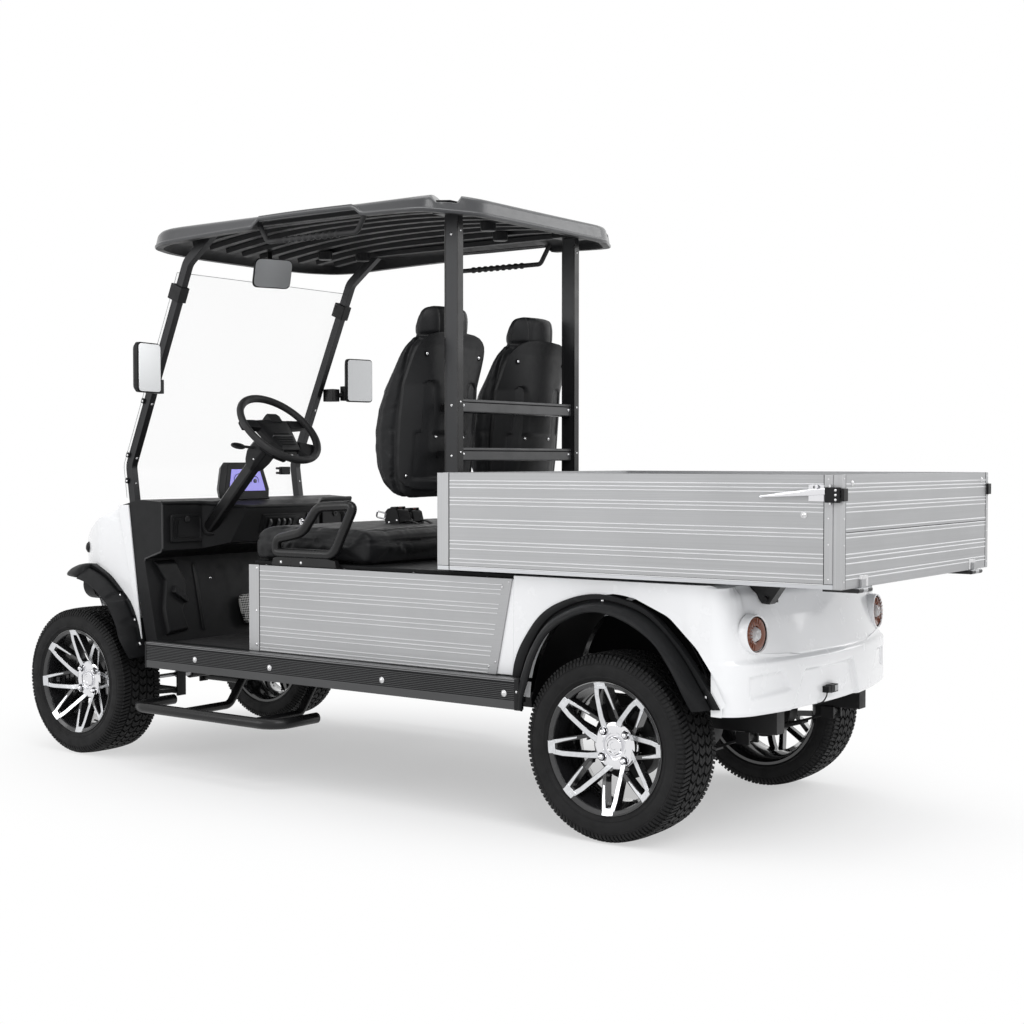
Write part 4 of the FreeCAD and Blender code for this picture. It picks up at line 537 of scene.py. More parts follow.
def dress_nodes():
    """Every CAD node gets its finish, and all but the bed boards their edges a small round."""
    slot_of = {s["node"]: s["material_slot"] for s in frame["record"]["subparts"]}
    for name, obj in frame["nodes"].items():
        material = M[SPECIAL.get(name) or FINISH[slot_of[name]]]
        obj.data.materials.clear()
        obj.data.materials.append(material)
        for polygon in obj.data.polygons:
            polygon.use_smooth = True
        if name == "bed_boards":        # four plain boards, whose edges are under trim
            continue
        mod = obj.modifiers.new("weld", "WELD")
        mod.merge_threshold = WELD_REACH
        mod = obj.modifiers.new("edge", "BEVEL")
        mod.width = NODE_EDGE
        mod.segments = 2
        mod.limit_method = "ANGLE"
        mod.angle_limit = math.radians(NODE_BEVEL_FROM)
        mod.harden_normals = True
        if name in FLAT_FACED or name in SHELLS:
            mod = obj.modifiers.new("even", "WEIGHTED_NORMAL")
            mod.weight = 100 if name in FLAT_FACED else 50
            mod.keep_sharp = True


def light(name, place, aim, power, size):
    """A square lamp, turned to face a place."""
    data = bpy.data.lights.new(name, "AREA")
    data.energy = power
    data.shape = "RECTANGLE"
    data.size = size
    data.size_y = size
    obj = bpy.data.objects.new(name, data)
    scene.collection.objects.link(obj)
    obj.location = place
    obj.rotation_euler = (Vector(aim) - Vector(place)).to_track_quat("-Z", "Y").to_euler()


def camera_switch(tree, plain, seen):
    """The seen shader for the camera, in metal and through glass; the plain one as light."""
    path = tree.nodes.new("ShaderNodeLightPath")
    any_of = path.outputs["Is Camera Ray"]
    for ray in ("Is Glossy Ray", "Is Transmission Ray"):
        either = tree.nodes.new("ShaderNodeMath")
        either.operation = "MAXIMUM"
        tree.links.new(any_of, either.inputs[0])
        tree.links.new(path.outputs[ray], either.inputs[1])
        any_of = either.outputs[0]
    mix = tree.nodes.new("ShaderNodeMixShader")
    tree.links.new(any_of, mix.inputs[0])
    tree.links.new(plain, mix.inputs[1])
    tree.links.new(seen, mix.inputs[2])
    return mix.outputs[0]


FLOOR = 30              # half the floor's side, far past the picture's edge


def studio():
    """White surroundings, four soft lamps and the pale floor."""
    world = bpy.data.worlds.new("studio")
    scene.world = world
    world.use_nodes = True
    tree = world.node_tree
    soft = tree.nodes["Background"]
    soft.inputs["Color"].default_value = (0.98, 0.985, 1.0, 1)
    soft.inputs["Strength"].default_value = 0.62
    white = tree.nodes.new("ShaderNodeBackground")
    white.inputs["Color"].default_value = (1, 1, 1, 1)
    white.inputs["Strength"].default_value = 1.0
    tree.links.new(camera_switch(tree, soft.outputs[0], white.outputs[0]),
                   tree.nodes["World Output"].inputs["Surface"])

    light("key", (-4.5, 3.0, 5.0), (-0.3, 0, 0.8), 150, 3.4)
    light("fill", (3.5, 5.5, 3.0), (0.4, 0, 0.8), 90, 3.5)
    light("top", (0.0, 0.0, 6.0), (0, 0, 0), 130, 4.5)
    light("back", (-3.5, -5.0, 3.5), (-0.4, 0, 0.8), 80, 3.5)

    mesh = bpy.data.meshes.new("floor")
    mesh.from_pydata([(-FLOOR, -FLOOR, 0), (FLOOR, -FLOOR, 0), (FLOOR, FLOOR, 0), (-FLOOR, FLOOR, 0)], [],
                     [(0, 1, 2, 3)])
    floor = bpy.data.objects.new("floor", mesh)
    scene.collection.objects.link(floor)
    mat = bpy.data.materials.new("pale_floor")
    mat.use_nodes = True
    tree = mat.node_tree
    tree.nodes.remove(tree.nodes["Principled BSDF"])
    plain = tree.nodes.new("ShaderNodeBsdfDiffuse")
    plain.inputs["Color"].default_value = (0.88, 0.88, 0.88, 1)
    white = tree.nodes.new("ShaderNodeEmission")
    white.inputs["Strength"].default_value = 1.0
    blend = tree.nodes.new("ShaderNodeMixShader")
    tree.links.new(near_cart(tree), blend.inputs[0])
    tree.links.new(white.outputs[0], blend.inputs[1])
    tree.links.new(plain.outputs[0], blend.inputs[2])
    tree.links.new(camera_switch(tree, plain.outputs[0], blend.outputs[0]),
                   tree.nodes["Material Output"].inputs["Surface"])
    mesh.materials.append(mat)


def near_cart(tree):
    """1 by the cart, 0 away from it, so the floor keeps a soft shadow and then goes white."""
    where = tree.nodes.new("ShaderNodeTexCoord")
    scale = tree.nodes.new("ShaderNodeMapping")
    scale.inputs["Scale"].default_value = (0.36, 0.62, 0)
    reach = tree.nodes.new("ShaderNodeVectorMath")
    reach.operation = "LENGTH"
    fade = tree.nodes.new("ShaderNodeMapRange")
    fade.interpolation_type = "SMOOTHSTEP"
    for key, value in (("From Min", 0.35), ("From Max", 1.0), ("To Min", 0.55), ("To Max", 0.0)):
        fade.inputs[key].default_value = value
    tree.links.new(where.outputs["Object"], scale.inputs["Vector"])
    tree.links.new(scale.outputs["Vector"], reach.inputs[0])
    tree.links.new(reach.outputs["Value"], fade.inputs["Value"])
    return fade.outputs["Result"]


CAMERA_AT = (-3.5195, 4.505, 1.144)
CAMERA_DOWN = 1.886             # degrees below level
CAMERA_TURN = -143.98           # degrees about Z
LENS = 54.84                    # millimetres, on a sensor 36 wide


def camera():
    """The photograph's place, worked out from the cart's own edges and wheels."""
    data = bpy.data.cameras.new("camera")
    data.sensor_width = 36
    data.lens = LENS
    obj = bpy.data.objects.new("camera", data)
    scene.collection.objects.link(obj)
    obj.location = CAMERA_AT
    obj.rotation_euler = (math.radians(90 - CAMERA_DOWN), 0, math.radians(CAMERA_TURN))
    scene.camera = obj


# Wheels, drawn with their axis along +Y and the outer face at +Y

SPOKES = 8
FIRST_SPOKE = 4.3       # degrees
PITCHES = 60            # of the tread
TREAD_TOP = 0.2848
TREAD_BASE = 0.2745


def round_y(r, a, y):
    return Vector((r * math.cos(a), y, r * math.sin(a)))


def tyre_shape():
    """Half a section from bead to tread, mirrored and turned round the axle."""
    half = [(0.2, 0.086), (0.2035, 0.0925), (0.208, 0.0945), (0.211, 0.0975), (0.213, 0.1),
            (0.216, 0.1008), (0.218, 0.0994), (0.22, 0.0994), (0.225, 0.1012), (0.233, 0.1022),
            (0.244, 0.1023), (0.25, 0.1017), (0.2515, 0.1005), (0.253, 0.1005), (0.2545, 0.101),
            (0.26, 0.0985), (0.266, 0.0945), (0.2705, 0.09), (TREAD_BASE, 0.084), (0.276, 0.06),
            (0.2762, 0.03)]
    profile = half + [(0.2762, 0.0)] + [(r, -y) for r, y in reversed(half)]
    rings = [[round_y(r, a, y) for r, y in profile] for a in around(96)]
    return loft(rings + [rings[0]], closed=False, caps=False)


def crown(y):
    """The tread blocks' height, which falls towards the shoulders."""
    return TREAD_TOP - 0.005 * (abs(y) / 0.092) ** 3


def tread_block(start, y0, y1, slant, width):
    """A tread block as a frustum; slant turns its far end forward."""
    base = []
    for y, t in ((y0, 0), (y1, 1)):
        for side in (0, 1):
            base.append((start + slant * t + side * width, y))
    order = [base[0], base[1], base[3], base[2]]
    mid_a = sum(a for a, y in order) / 4
    mid_y = (y0 + y1) / 2
    top = [(mid_a + (a - mid_a) * 0.9, mid_y + (y - mid_y) * 0.93) for a, y in order]
    low = [round_y(0.2738 if abs(y) < 0.08 else 0.2672, a, y) for a, y in order]
    high = [round_y(crown(y), a, y) for a, y in top]
    return loft([low, high])


def shoulder_fin(a, side, width):
    """The end of a tread block, running down over the shoulder."""
    places = [(0.2745, 0.085), (0.2735, 0.0905), (0.269, 0.0965), (0.261, 0.101), (0.256, 0.1019),
              (0.255, 0.099), (0.266, 0.09)]
    return loft([[round_y(r, a + w, side * y) for r, y in places] for w in (0, width)])


def tread_shape():
    pitch = 2 * PI / PITCHES
    parts = []
    for i in range(PITCHES):
        a = i * pitch
        parts.append(tread_block(a, -0.0165, 0.0, pitch * 0.42, pitch * 0.76))
        parts.append(tread_block(a + pitch * 0.42, 0.0, 0.0165, -pitch * 0.42, pitch * 0.76))
        for side in (-1, 1):
            b = a + pitch * (0.5 if side > 0 else 0.1)
            parts.append(tread_block(b, side * 0.0215, side * 0.0365, pitch * 0.42, pitch * 0.76))
            parts.append(tread_block(b + pitch * 0.42, side * 0.0365, side * 0.0515, -pitch * 0.42,
                                     pitch * 0.76))
            c = b + pitch * 0.3
            parts.append(tread_block(c, side * 0.057, side * 0.089, pitch * 0.3, pitch * 0.33))
            parts.append(tread_block(c + pitch * 0.46, side * 0.057, side * 0.089, pitch * 0.3,
                                     pitch * 0.33))
            parts.append(shoulder_fin(c + pitch * 0.32, side, pitch * 0.3))
            parts.append(shoulder_fin(c + pitch * 0.79, side, pitch * 0.3))
    return join(*parts)


def polar_y(r, degrees, y):
    return round_y(r, math.radians(degrees), y)


def strip(left, right, low, lean=0.0):
    """A raised bar between two edges, each a list of (radius, degrees, y)."""
    rings = []
    for (ra, da, ya), (rb, db, yb) in zip(left, right):
        rings.append([polar_y(ra, da, ya), polar_y(rb, db, yb),
                      polar_y(rb, db + lean, yb - low), polar_y(ra, da - lean, ya - low)])
    return loft(rings)


def face_y(r):
    """How far out the spokes' face lies: a dish that is deep at the hub."""
    return 0.034 + 0.0565 * max(0.0, (r - 0.062) / 0.128) ** 0.8


def leg(places, widths, low, sink=0.0, lean=0.0):
    """One leg of a spoke: places are (radius, degrees); the width is across it, in metres."""
    left, right = [], []
    for (r, degrees), w in zip(places, widths):
        turn = math.degrees(w / 2 / r)
        y = face_y(r) - sink
        left.append((r, degrees - turn, y))
        right.append((r, degrees + turn, y))
    return strip(left, right, low, lean)


LONG = [(0.05, -36.0), (0.062, -29.0), (0.09, -18.6), (0.125, -11.5), (0.16, -7.6), (0.188, -4.2)]
SHORT = [(0.085, 21.0), (0.1, 16.5), (0.117, 13.0), (0.15, 8.2), (0.188, 4.4)]


def spoke_faces():
    """The polished top of one spoke: long leg to the hub, short leg, and the bar over the rim's lip."""
    long_leg = leg(LONG, (0.026, 0.021, 0.0165, 0.015, 0.015, 0.016), 0.0012)
    short_leg = leg(SHORT[2:], (0.005, 0.0085, 0.0125), 0.0012)
    bar = strip([(0.179, -6.2, 0.088), (0.179, 0.0, 0.088), (0.179, 6.2, 0.088)],
                [(0.19, -5.9, 0.0925), (0.19, 0.0, 0.0925), (0.19, 5.9, 0.0925)], 0.004)
    lip = strip([(0.1895, -5.9, 0.0922), (0.1895, 0.0, 0.0922), (0.1895, 5.9, 0.0922)],
                [(0.199, -5.5, 0.0966), (0.1994, 0.0, 0.0968), (0.199, 5.5, 0.0966)], 0.004)
    return join(long_leg, short_leg, bar, lip)


def spoke_bodies():
    """The black body under the faces, with the flanks that run down into the pockets."""
    long_leg = leg(LONG, (0.03, 0.024, 0.0185, 0.017, 0.017, 0.0175), 0.026, 0.001, 1.0)
    short_leg = leg(SHORT, (0.011, 0.0125, 0.013, 0.0135, 0.0155), 0.03, 0.001, 0.6)
    tie = leg([(0.08, 27.5), (0.086, 21.0), (0.092, 14.0)], (0.012, 0.016, 0.012), 0.018, 0.006)
    web = strip([(0.178, -5.5, 0.078), (0.178, 5.5, 0.078)], [(0.191, -5.4, 0.085), (0.191, 5.4, 0.085)],
                0.03)
    return join(long_leg, short_leg, tie, web)


def wheel_details():
    """What the rims are made of, by finish."""
    turn = [Matrix.Rotation(math.radians(FIRST_SPOKE - 45 * i), 4, "Y") for i in range(SPOKES)]
    faces = join(*[moved(spoke_faces(), m) for m in turn])
    bodies = join(*[moved(spoke_bodies(), m) for m in turn])
    barrel = lathe([(0.1985, 0.095), (0.2015, 0.094), (0.202, 0.089), (0.199, 0.085), (0.196, 0.07),
                    (0.18, 0.045), (0.178, -0.03), (0.195, -0.06), (0.2, -0.085),
                    (0.208, -0.0905), (0.208, -0.095), (0.199, -0.094), (0.19, -0.082),
                    (0.185, -0.06), (0.17, -0.03), (0.1715, 0.04), (0.185, 0.06),
                    (0.185, 0.08), (0.188, 0.087)], (0, 0, 0), (0, 1, 0), 96)
    inner_ring = lathe([(0.188, 0.0871), (0.1862, 0.083), (0.1855, 0.0832), (0.1872, 0.088),
                        (0.197, 0.0945), (0.1975, 0.0938)], (0, 0, 0), (0, 1, 0), 96)
    hub = lathe([(0.0212, 0.006), (0.0212, 0.03), (0.029, 0.031), (0.031, 0.028), (0.037, 0.028),
                 (0.039, 0.033), (0.044, 0.0345), (0.068, 0.0345), (0.072, 0.032), (0.074, 0.026),
                 (0.074, 0.006)], (0, 0, 0), (0, 1, 0), 64)
    cap = lathe([(0.0003, 0.0392), (0.01, 0.039), (0.0125, 0.037), (0.0195, 0.037),
                 (0.0215, 0.0398), (0.0262, 0.0398), (0.0285, 0.037), (0.0288, 0.0312),
                 (0.0003, 0.0312)], (0, 0, 0), (0, 1, 0), 48, close=False)
    wells, nuts, collars = [], [], []
    for i in range(4):
        a = math.radians(48.6 + 90 * i)
        at = round_y(0.0555, a, 0.0346)
        wells.append(lathe([(0.0001, 0.0), (0.0135, 0.0), (0.0138, 0.0007), (0.0001, 0.0007)], at,
                           (0, 1, 0), 24, close=False))
        collars.append(lathe([(0.013, 0.0002), (0.015, 0.0002), (0.0156, 0.0016), (0.0148, 0.003),
                              (0.0136, 0.0026)], at, (0, 1, 0), 28))
        nuts.append(nut(at + Vector((0, 0.0007, 0)), (0, 1, 0), 0.0098, 0.012))
        nuts.append(dome(at + Vector((0, 0.0126, 0)), (0, 1, 0), 0.0078, 0.005, 16))
    plugs = []
    for i in range(SPOKES):
        m = Matrix.Rotation(math.radians(FIRST_SPOKE - 45 * i + 22), 4, "Y")
        plugs.append(moved(strip([(0.04, -9, 0.0348), (0.04, 9, 0.0348)],
                                 [(0.043, -10, 0.0352), (0.043, 10, 0.0352)], 0.003), m))
    valve = tube([round_y(0.186, -2.2, 0.072), round_y(0.176, -2.2, 0.09)], 0.0035, 10)
    return {"polish": join(faces, *plugs), "chrome": join(hub, cap, *nuts, *collars),
            "plastic": join(*wells), "rim": join(barrel, bodies), "grey": inner_ring, "grip": valve}


def wheels():
    tyre, tread, details = tyre_shape(), tread_shape(), wheel_details()
    for corner, x, side in (("front_left", BASE, 1), ("front_right", BASE, -1),
                            ("rear_left", 0, 1), ("rear_right", 0, -1)):
        place = Matrix.Translation((x, side * HALF_TRACK, HUB_HEIGHT))
        if side < 0:
            place = place @ Matrix.Rotation(PI, 4, "Z")
        body = "wheel_" + corner
        piece("tyre_skin_" + corner, moved(join(tyre, tread), place), "rubber", body,
              angle=28, replaces=["tyre_" + corner])
        for finish, part in details.items():
            piece("wheel_%s_%s" % (finish, corner), moved(part, place), finish, body,
                  angle=35, bevel=0.0007 if finish == "polish" else 0,
                  replaces=["rim_" + corner] if finish == "rim" else ())


# Aluminium boards, side panels and sills

BOARD_LINES = (1.08, 1.069, 1.058, 1.026, 1.016, 1.003, 0.957, 0.944, 0.933, 0.888, 0.877, 0.862,
               0.83, 0.819, 0.805)
PANEL_LINES = (0.753, 0.737, 0.723, 0.69, 0.676, 0.661, 0.625, 0.609, 0.593, 0.553, 0.539, 0.524,
               0.495, 0.481, 0.4705)
BED_TOP = 1.1055
BOARD_LOW = 0.8075      # lower edge of the side boards' trim
BOARD_IN = 0.5745       # trim starts inside the side boards' outer face
RIB = 0.0011            # how far a pressed line stands out of its board
RIB_HALF = 0.0024       # half its height at the board


def raised_line(z, lo, hi, face, out, along="X"):
    """A pressed line on an upright board: a low trapezium along X or Y."""
    outline = [(face - out * 0.0004, z - RIB_HALF), (face + out * RIB, z - RIB_HALF * 0.45),
               (face + out * RIB, z + RIB_HALF * 0.45), (face - out * 0.0004, z + RIB_HALF)]
    return prism(outline, along, lo, hi)


def screw(x, y, z, axis, radius=0.005, washer=0.0):
    """A dome screw, on a washer if one is given."""
    parts = []
    base = Vector((x, y, z))
    if washer:
        parts.append(lathe([(0.0004, 0.0), (washer, 0.0), (washer, 0.0012), (0.0004, 0.0014)], base,
                           axis, 18, close=False))
        base = base + Vector(axis) * 0.0012
    parts.append(dome(base, axis, radius, radius * 0.55))
    return join(*parts)


def bed_boards():
    """The boards' pressed lines, corner posts, grooves drawn as strips of painted shade, rubber caps and
    screws.
    """
    lines, inner, posts, caps, shade_sheets, screws = [], [], [], [], [], []
    for z in BOARD_LINES:
        lines.append(raised_line(z, -0.69, 0.606, 0.575, 1))
        if z > 0.81:
            inner.append(raised_line(z, -0.69, 0.625, 0.55, -1))
    posts.append(box(-0.718, -0.6925, BOARD_IN, 0.5764, BOARD_LOW, BED_TOP))
    posts.append(box(-0.7168, -0.7, 0.5755, 0.5772, 0.809, 1.104))
    posts.append(box(0.6105, 0.656, BOARD_IN, 0.5758, BOARD_LOW, BED_TOP))
    # Thin near-black strips in the grooves at the boards' ends and foot: painted shade
    shade_sheets.append(box(0.607, 0.61, 0.574, 0.5753, 0.7935, BED_TOP))
    shade_sheets.append(box(-0.6918, -0.69, 0.574, 0.5754, BOARD_LOW, BED_TOP))
    shade_sheets.append(box(-0.718, 0.656, 0.574, 0.5752, 0.806, 0.8078))
    caps.append(box(-0.718, 0.654, 0.552, 0.5735, 1.104, 1.1062))
    caps.append(box(0.632, 0.656, 0.548, 0.576, 1.105, 1.1063))
    screws.append(screw(-0.632, 0.575, 0.995, (0, 1, 0), 0.0065, 0.0095))
    for z in (1.093, 0.986, 0.915, 0.82):
        screws.append(screw(-0.705, 0.5764, z, (0, 1, 0), 0.0028))
    piece("bed_board_lines", pair(join(*lines, *inner)), "line", "cargo_bed", angle=25)
    front = [raised_line(z, -0.545, 0.545, 0.656, 1, "Y") for z in BOARD_LINES if z > 0.81]
    back = [raised_line(z, -0.545, 0.545, 0.631, -1, "Y") for z in BOARD_LINES if z > 0.81]
    piece("front_board_lines", join(*front, *back), "line", "cargo_bed", angle=25)
    piece("bed_corner_posts", pair(join(*posts)), "aluminium_up", "cargo_bed", bevel=0.0004)
    piece("bed_board_groove_shade", pair(join(*shade_sheets)), "gap", "cargo_bed")
    piece("bed_rubber_caps", join(pair(join(*caps)), box(0.633, 0.654, -0.55, 0.55, 1.1045, 1.1062)),
          "grip", "cargo_bed", bevel=0.0005)
    piece("bed_screws", pair(join(*screws)), "bolt", "cargo_bed")


def tail_board():
    """The tailgate's face, riding with it."""
    lines = [raised_line(z, -0.552, 0.552, -0.744, -1, "Y") for z in BOARD_LINES if z > 0.81]
    inside = [raised_line(z, -0.545, 0.545, -0.719, 1, "Y") for z in BOARD_LINES if z > 0.81]
    piece("tailgate_lines", join(*lines, *inside), "line", "tailgate", angle=25)
    ends = join(*[box(-0.745, -0.7185, s - 0.0105, s + 0.0105, 0.7955, 1.106) for s in (-0.5646, 0.5646)])
    piece("tailgate_ends", ends, "aluminium_up", "tailgate", bevel=0.0006)
    # Near-black lines in the tailgate's seams: painted shade
    seam_shade = [box(-0.7446, -0.7436, -0.552, 0.552, 0.9474, 0.9488)]
    seam_shade += [box(-0.7448, -0.7436, s - 0.0006, s + 0.0006, 0.7955, 1.1055) for s in (-0.553, 0.553)]
    piece("tailgate_seam_shade", join(*seam_shade), "gap", "tailgate")
    screws = [screw(-0.745, s * 0.564, z, (-1, 0, 0), 0.003) for z in (1.094, 0.985, 0.912, 0.812)
              for s in (-1, 1)]
    screws += [screw(-0.744, s * 0.511, 1.083, (-1, 0, 0), 0.0062, 0.0085) for s in (-1, 1)]
    screws += [screw(-0.744, s * y, 0.815, (-1, 0, 0), 0.004) for y in (0.412, 0.448) for s in (-1, 1)]
    piece("tailgate_screws", join(*screws), "bolt", "tailgate")
    leaves = [box(-0.7456, -0.744, s * 0.43 - 0.03, s * 0.43 + 0.03, 0.794, 0.826) for s in (-1, 1)]
    piece("tailgate_hinge_leaves", join(*leaves), "bolt", "tailgate", bevel=0.0005)


def latches():
    """The long chrome lever and its pivot block at each rear corner of the bed."""
    lever, blocks, pins = [], [], []
    y = 0.5885
    path = [(-0.508, y - 0.002, 1.045), (-0.56, y, 1.0495), (-0.64, y + 0.0005, 1.056), (-0.7, y, 1.0605)]
    rings = []
    for (x, yy, z), high, deep in zip(path, (0.0026, 0.0055, 0.0085, 0.0085),
                                      (0.0025, 0.0035, 0.004, 0.004)):
        rings.append([Vector((x, yy + deep * math.cos(a) * 0.8, z + high * math.sin(a)))
                      for a in around(12)])
    lever.append(loft(rings))
    lever.append(tube([(-0.51, y - 0.002, 1.0452), (-0.5045, y - 0.001, 1.043)], 0.0045, 10))
    for x in (-0.664, -0.6715):
        lever.append(lathe([(0.0004, -0.004), (0.0065, -0.004), (0.0065, 0.004), (0.0004, 0.004)],
                           (x, y - 0.003, 1.072), (0, 1, 0), 16, close=False))
        lever.append(box(x - 0.0022, x + 0.0022, 0.5755, y, 1.056, 1.073))
    lever.append(box(-0.692, -0.646, 0.5752, 0.5778, 1.033, 1.078))
    blocks.append(box(-0.742, -0.698, 0.5782, 0.588, 1.03, 1.072))
    blocks.append(box(-0.753, -0.744, 0.556, 0.584, 1.034, 1.069))
    for z in (1.038, 1.051, 1.064):
        pins.append(dome((-0.73, 0.588, z), (0, 1, 0), 0.004, 0.0024))
    pins.append(tube([(-0.712, 0.5835, 1.024), (-0.712, 0.5835, 1.079)], 0.0036, 12))
    piece("latch_levers", pair(join(*lever)), "chrome", "cargo_bed", bevel=0.0006,
          replaces=["gate_latches"])
    piece("latch_blocks", pair(join(*blocks)), "plastic_fine", "cargo_bed",
          bevel=0.0015)
    piece("latch_pins", pair(join(*pins)), "bolt", "cargo_bed")


PANEL_SIDE = 0.553
PANEL_TOP = 0.774
PANEL_REAR = 0.374      # at the top; the rear edge runs forward on its way down
SILL_ENDS = (0.33, 2.037)


def side_panels():
    """The panels' pressed lines, which follow the slanting rear edge, with strips and screws."""
    lines, strips, shade_sheets, screws = [], [], [], []
    for z in PANEL_LINES:
        slant = PANEL_REAR + (PANEL_TOP - z) / 0.3077 * 0.063
        lines.append(raised_line(z, slant + 0.034, 1.483, PANEL_SIDE, 1))
    strips.append(box(1.4875, 1.5368, 0.5525, 0.5539, 0.4665, 0.7738))
    # Near-black strips in the gaps beside the end strip and along the top and foot: painted shade
    shade_sheets.append(box(1.4842, 1.4868, 0.552, 0.5533, 0.4665, 0.7738))
    shade_sheets.append(box(PANEL_REAR, 1.537, 0.53, 0.5534, 0.773, 0.7752))
    shade_sheets.append(box(0.437, 1.537, 0.54, 0.553, 0.464, 0.4675))
    for x, z in ((1.497, 0.762), (1.499, 0.61), (1.499, 0.49), (0.413, 0.745), (0.386, 0.762),
                 (0.466, 0.49), (0.439, 0.506)):
        screws.append(screw(x, 0.5538, z, (0, 1, 0), 0.0052 if x > 1.4 else 0.0034))
    for x in (1.46, 1.09, 0.785, 0.48):
        screws.append(screw(x, 0.541, 0.7742, (0, 0, 1), 0.0045))
    piece("side_panel_lines", pair(join(*lines)), "line", angle=25)
    piece("side_panel_strips", pair(join(*strips)), "aluminium_up", bevel=0.0005)
    piece("side_panel_groove_shade", pair(join(*shade_sheets)), "gap")
    piece("side_panel_screws", pair(join(*screws)), "bolt")


def sills():
    """Ribs along the sills, their bright trim, bolts and end caps."""
    ribs, trim, bolts, ends = [], [], [], []
    for k in range(9):
        z = 0.403 + k * 0.0058
        ribs.append(prism([(0.6018, z - 0.0016), (0.603, z - 0.0008), (0.603, z + 0.0008),
                           (0.6018, z + 0.0016)], "X", *SILL_ENDS))
    ribs.append(prism([(0.6018, 0.3705), (0.6032, 0.372), (0.6032, 0.3965), (0.6018, 0.3985)], "X",
                      *SILL_ENDS))
    for z0, z1 in ((0.4575, 0.461), (0.4625, 0.4662)):
        trim.append(box(0.318, 2.0375, 0.578, 0.6034, z0, z1))
    for x in (1.767, 1.388, 0.87, 0.369):
        bolts.append(screw(x, 0.6029, 0.419, (0, 1, 0), 0.0088, 0.0105))
    ends.append(box(0.312, 0.33, 0.578, 0.604, 0.369, 0.4665))
    ends.append(box(2.03, 2.0385, 0.578, 0.604, 0.369, 0.4665))
    bolts.append(screw(0.321, 0.604, 0.427, (0, 1, 0), 0.004))
    piece("sill_ribs", pair(join(*ribs)), "rail", angle=25)
    piece("sill_trim", pair(join(*trim)), "trim", bevel=0.0006)
    piece("sill_bolts", pair(join(*bolts)), "bolt")
    piece("sill_ends", pair(join(*ends)), "plastic_fine", bevel=0.0012)


# Wheel-arch flares

def even_steps(line, count, steps):
    """count points along a line, one for each of its steps."""
    lengths = [0.0]
    for a, b in zip(line, line[1:]):
        lengths.append(lengths[-1] + (b - a).length)
    out, k = [], 0
    for i in range(count):
        want = lengths[-1] * i / steps
        while k < len(line) - 2 and lengths[k + 1] < want:
            k += 1
        step = lengths[k + 1] - lengths[k]
        out.append(line[k].lerp(line[k + 1], (want - lengths[k]) / step if step else 0))
    return out


def spread(points, count):
    """A smooth line through points, cut into equal steps."""
    return even_steps(smooth_curve(points, 12), count, count - 1)


def flare_skin(body, lip, section, pockets=(), count=72):
    """A closed moulding from its body edge to its lip; (u, w) run inward and outward."""
    rings = []
    for b, l in zip(spread(body, count), spread(lip, count)):
        ring = []
        for u, w in section:
            p = b.lerp(l, u)
            y = b.y + (l.y - b.y) * w
            for x, z, long, wide, deep in pockets:
                d = math.hypot((p.x - x) / long, (p.z - z) / wide)
                if d < 1.25 and w > 0:
                    y = max(b.y - 0.002, y - deep * min(1, (1.25 - d) * 3.5))
            ring.append(Vector((p.x, y, p.z)))
        rings.append(ring)
    return loft(rings)


REAR_SECTION = [(0, -0.05), (0.0, 0.05), (0.03, 0.085), (0.3, 0.095), (0.335, 0.06), (0.34, -0.03),
                (0.4, -0.03), (0.41, 0.04), (0.45, 0.12), (0.5, 0.3), (0.56, 0.5), (0.64, 0.7),
                (0.73, 0.85), (0.82, 0.94), (0.88, 0.985), (0.91, 1.015), (0.96, 1.02), (1.0, 0.99),
                (1.015, 0.94), (1.0, 0.88), (0.9, 0.82), (0.75, 0.7), (0.62, 0.45), (0.52, 0.1),
                (0.45, -0.3), (0.05, -0.35)]
FRONT_SECTION = [(0, -0.05), (0.0, 0.09), (0.02, 0.13), (0.05, 0.13), (0.06, 0.08), (0.085, 0.08),
                 (0.095, 0.13), (0.13, 0.13), (0.14, 0.08), (0.165, 0.08), (0.175, 0.14), (0.2, 0.14),
                 (0.21, 0.02), (0.29, 0.02), (0.31, 0.24), (0.35, 0.32), (0.45, 0.47), (0.56, 0.61),
                 (0.68, 0.74), (0.8, 0.86), (0.9, 0.95), (0.96, 1.0), (1.0, 0.99), (1.015, 0.95),
                 (1.0, 0.9), (0.8, 0.74), (0.6, 0.52), (0.42, 0.2), (0.3, -0.3), (0.02, -0.35)]


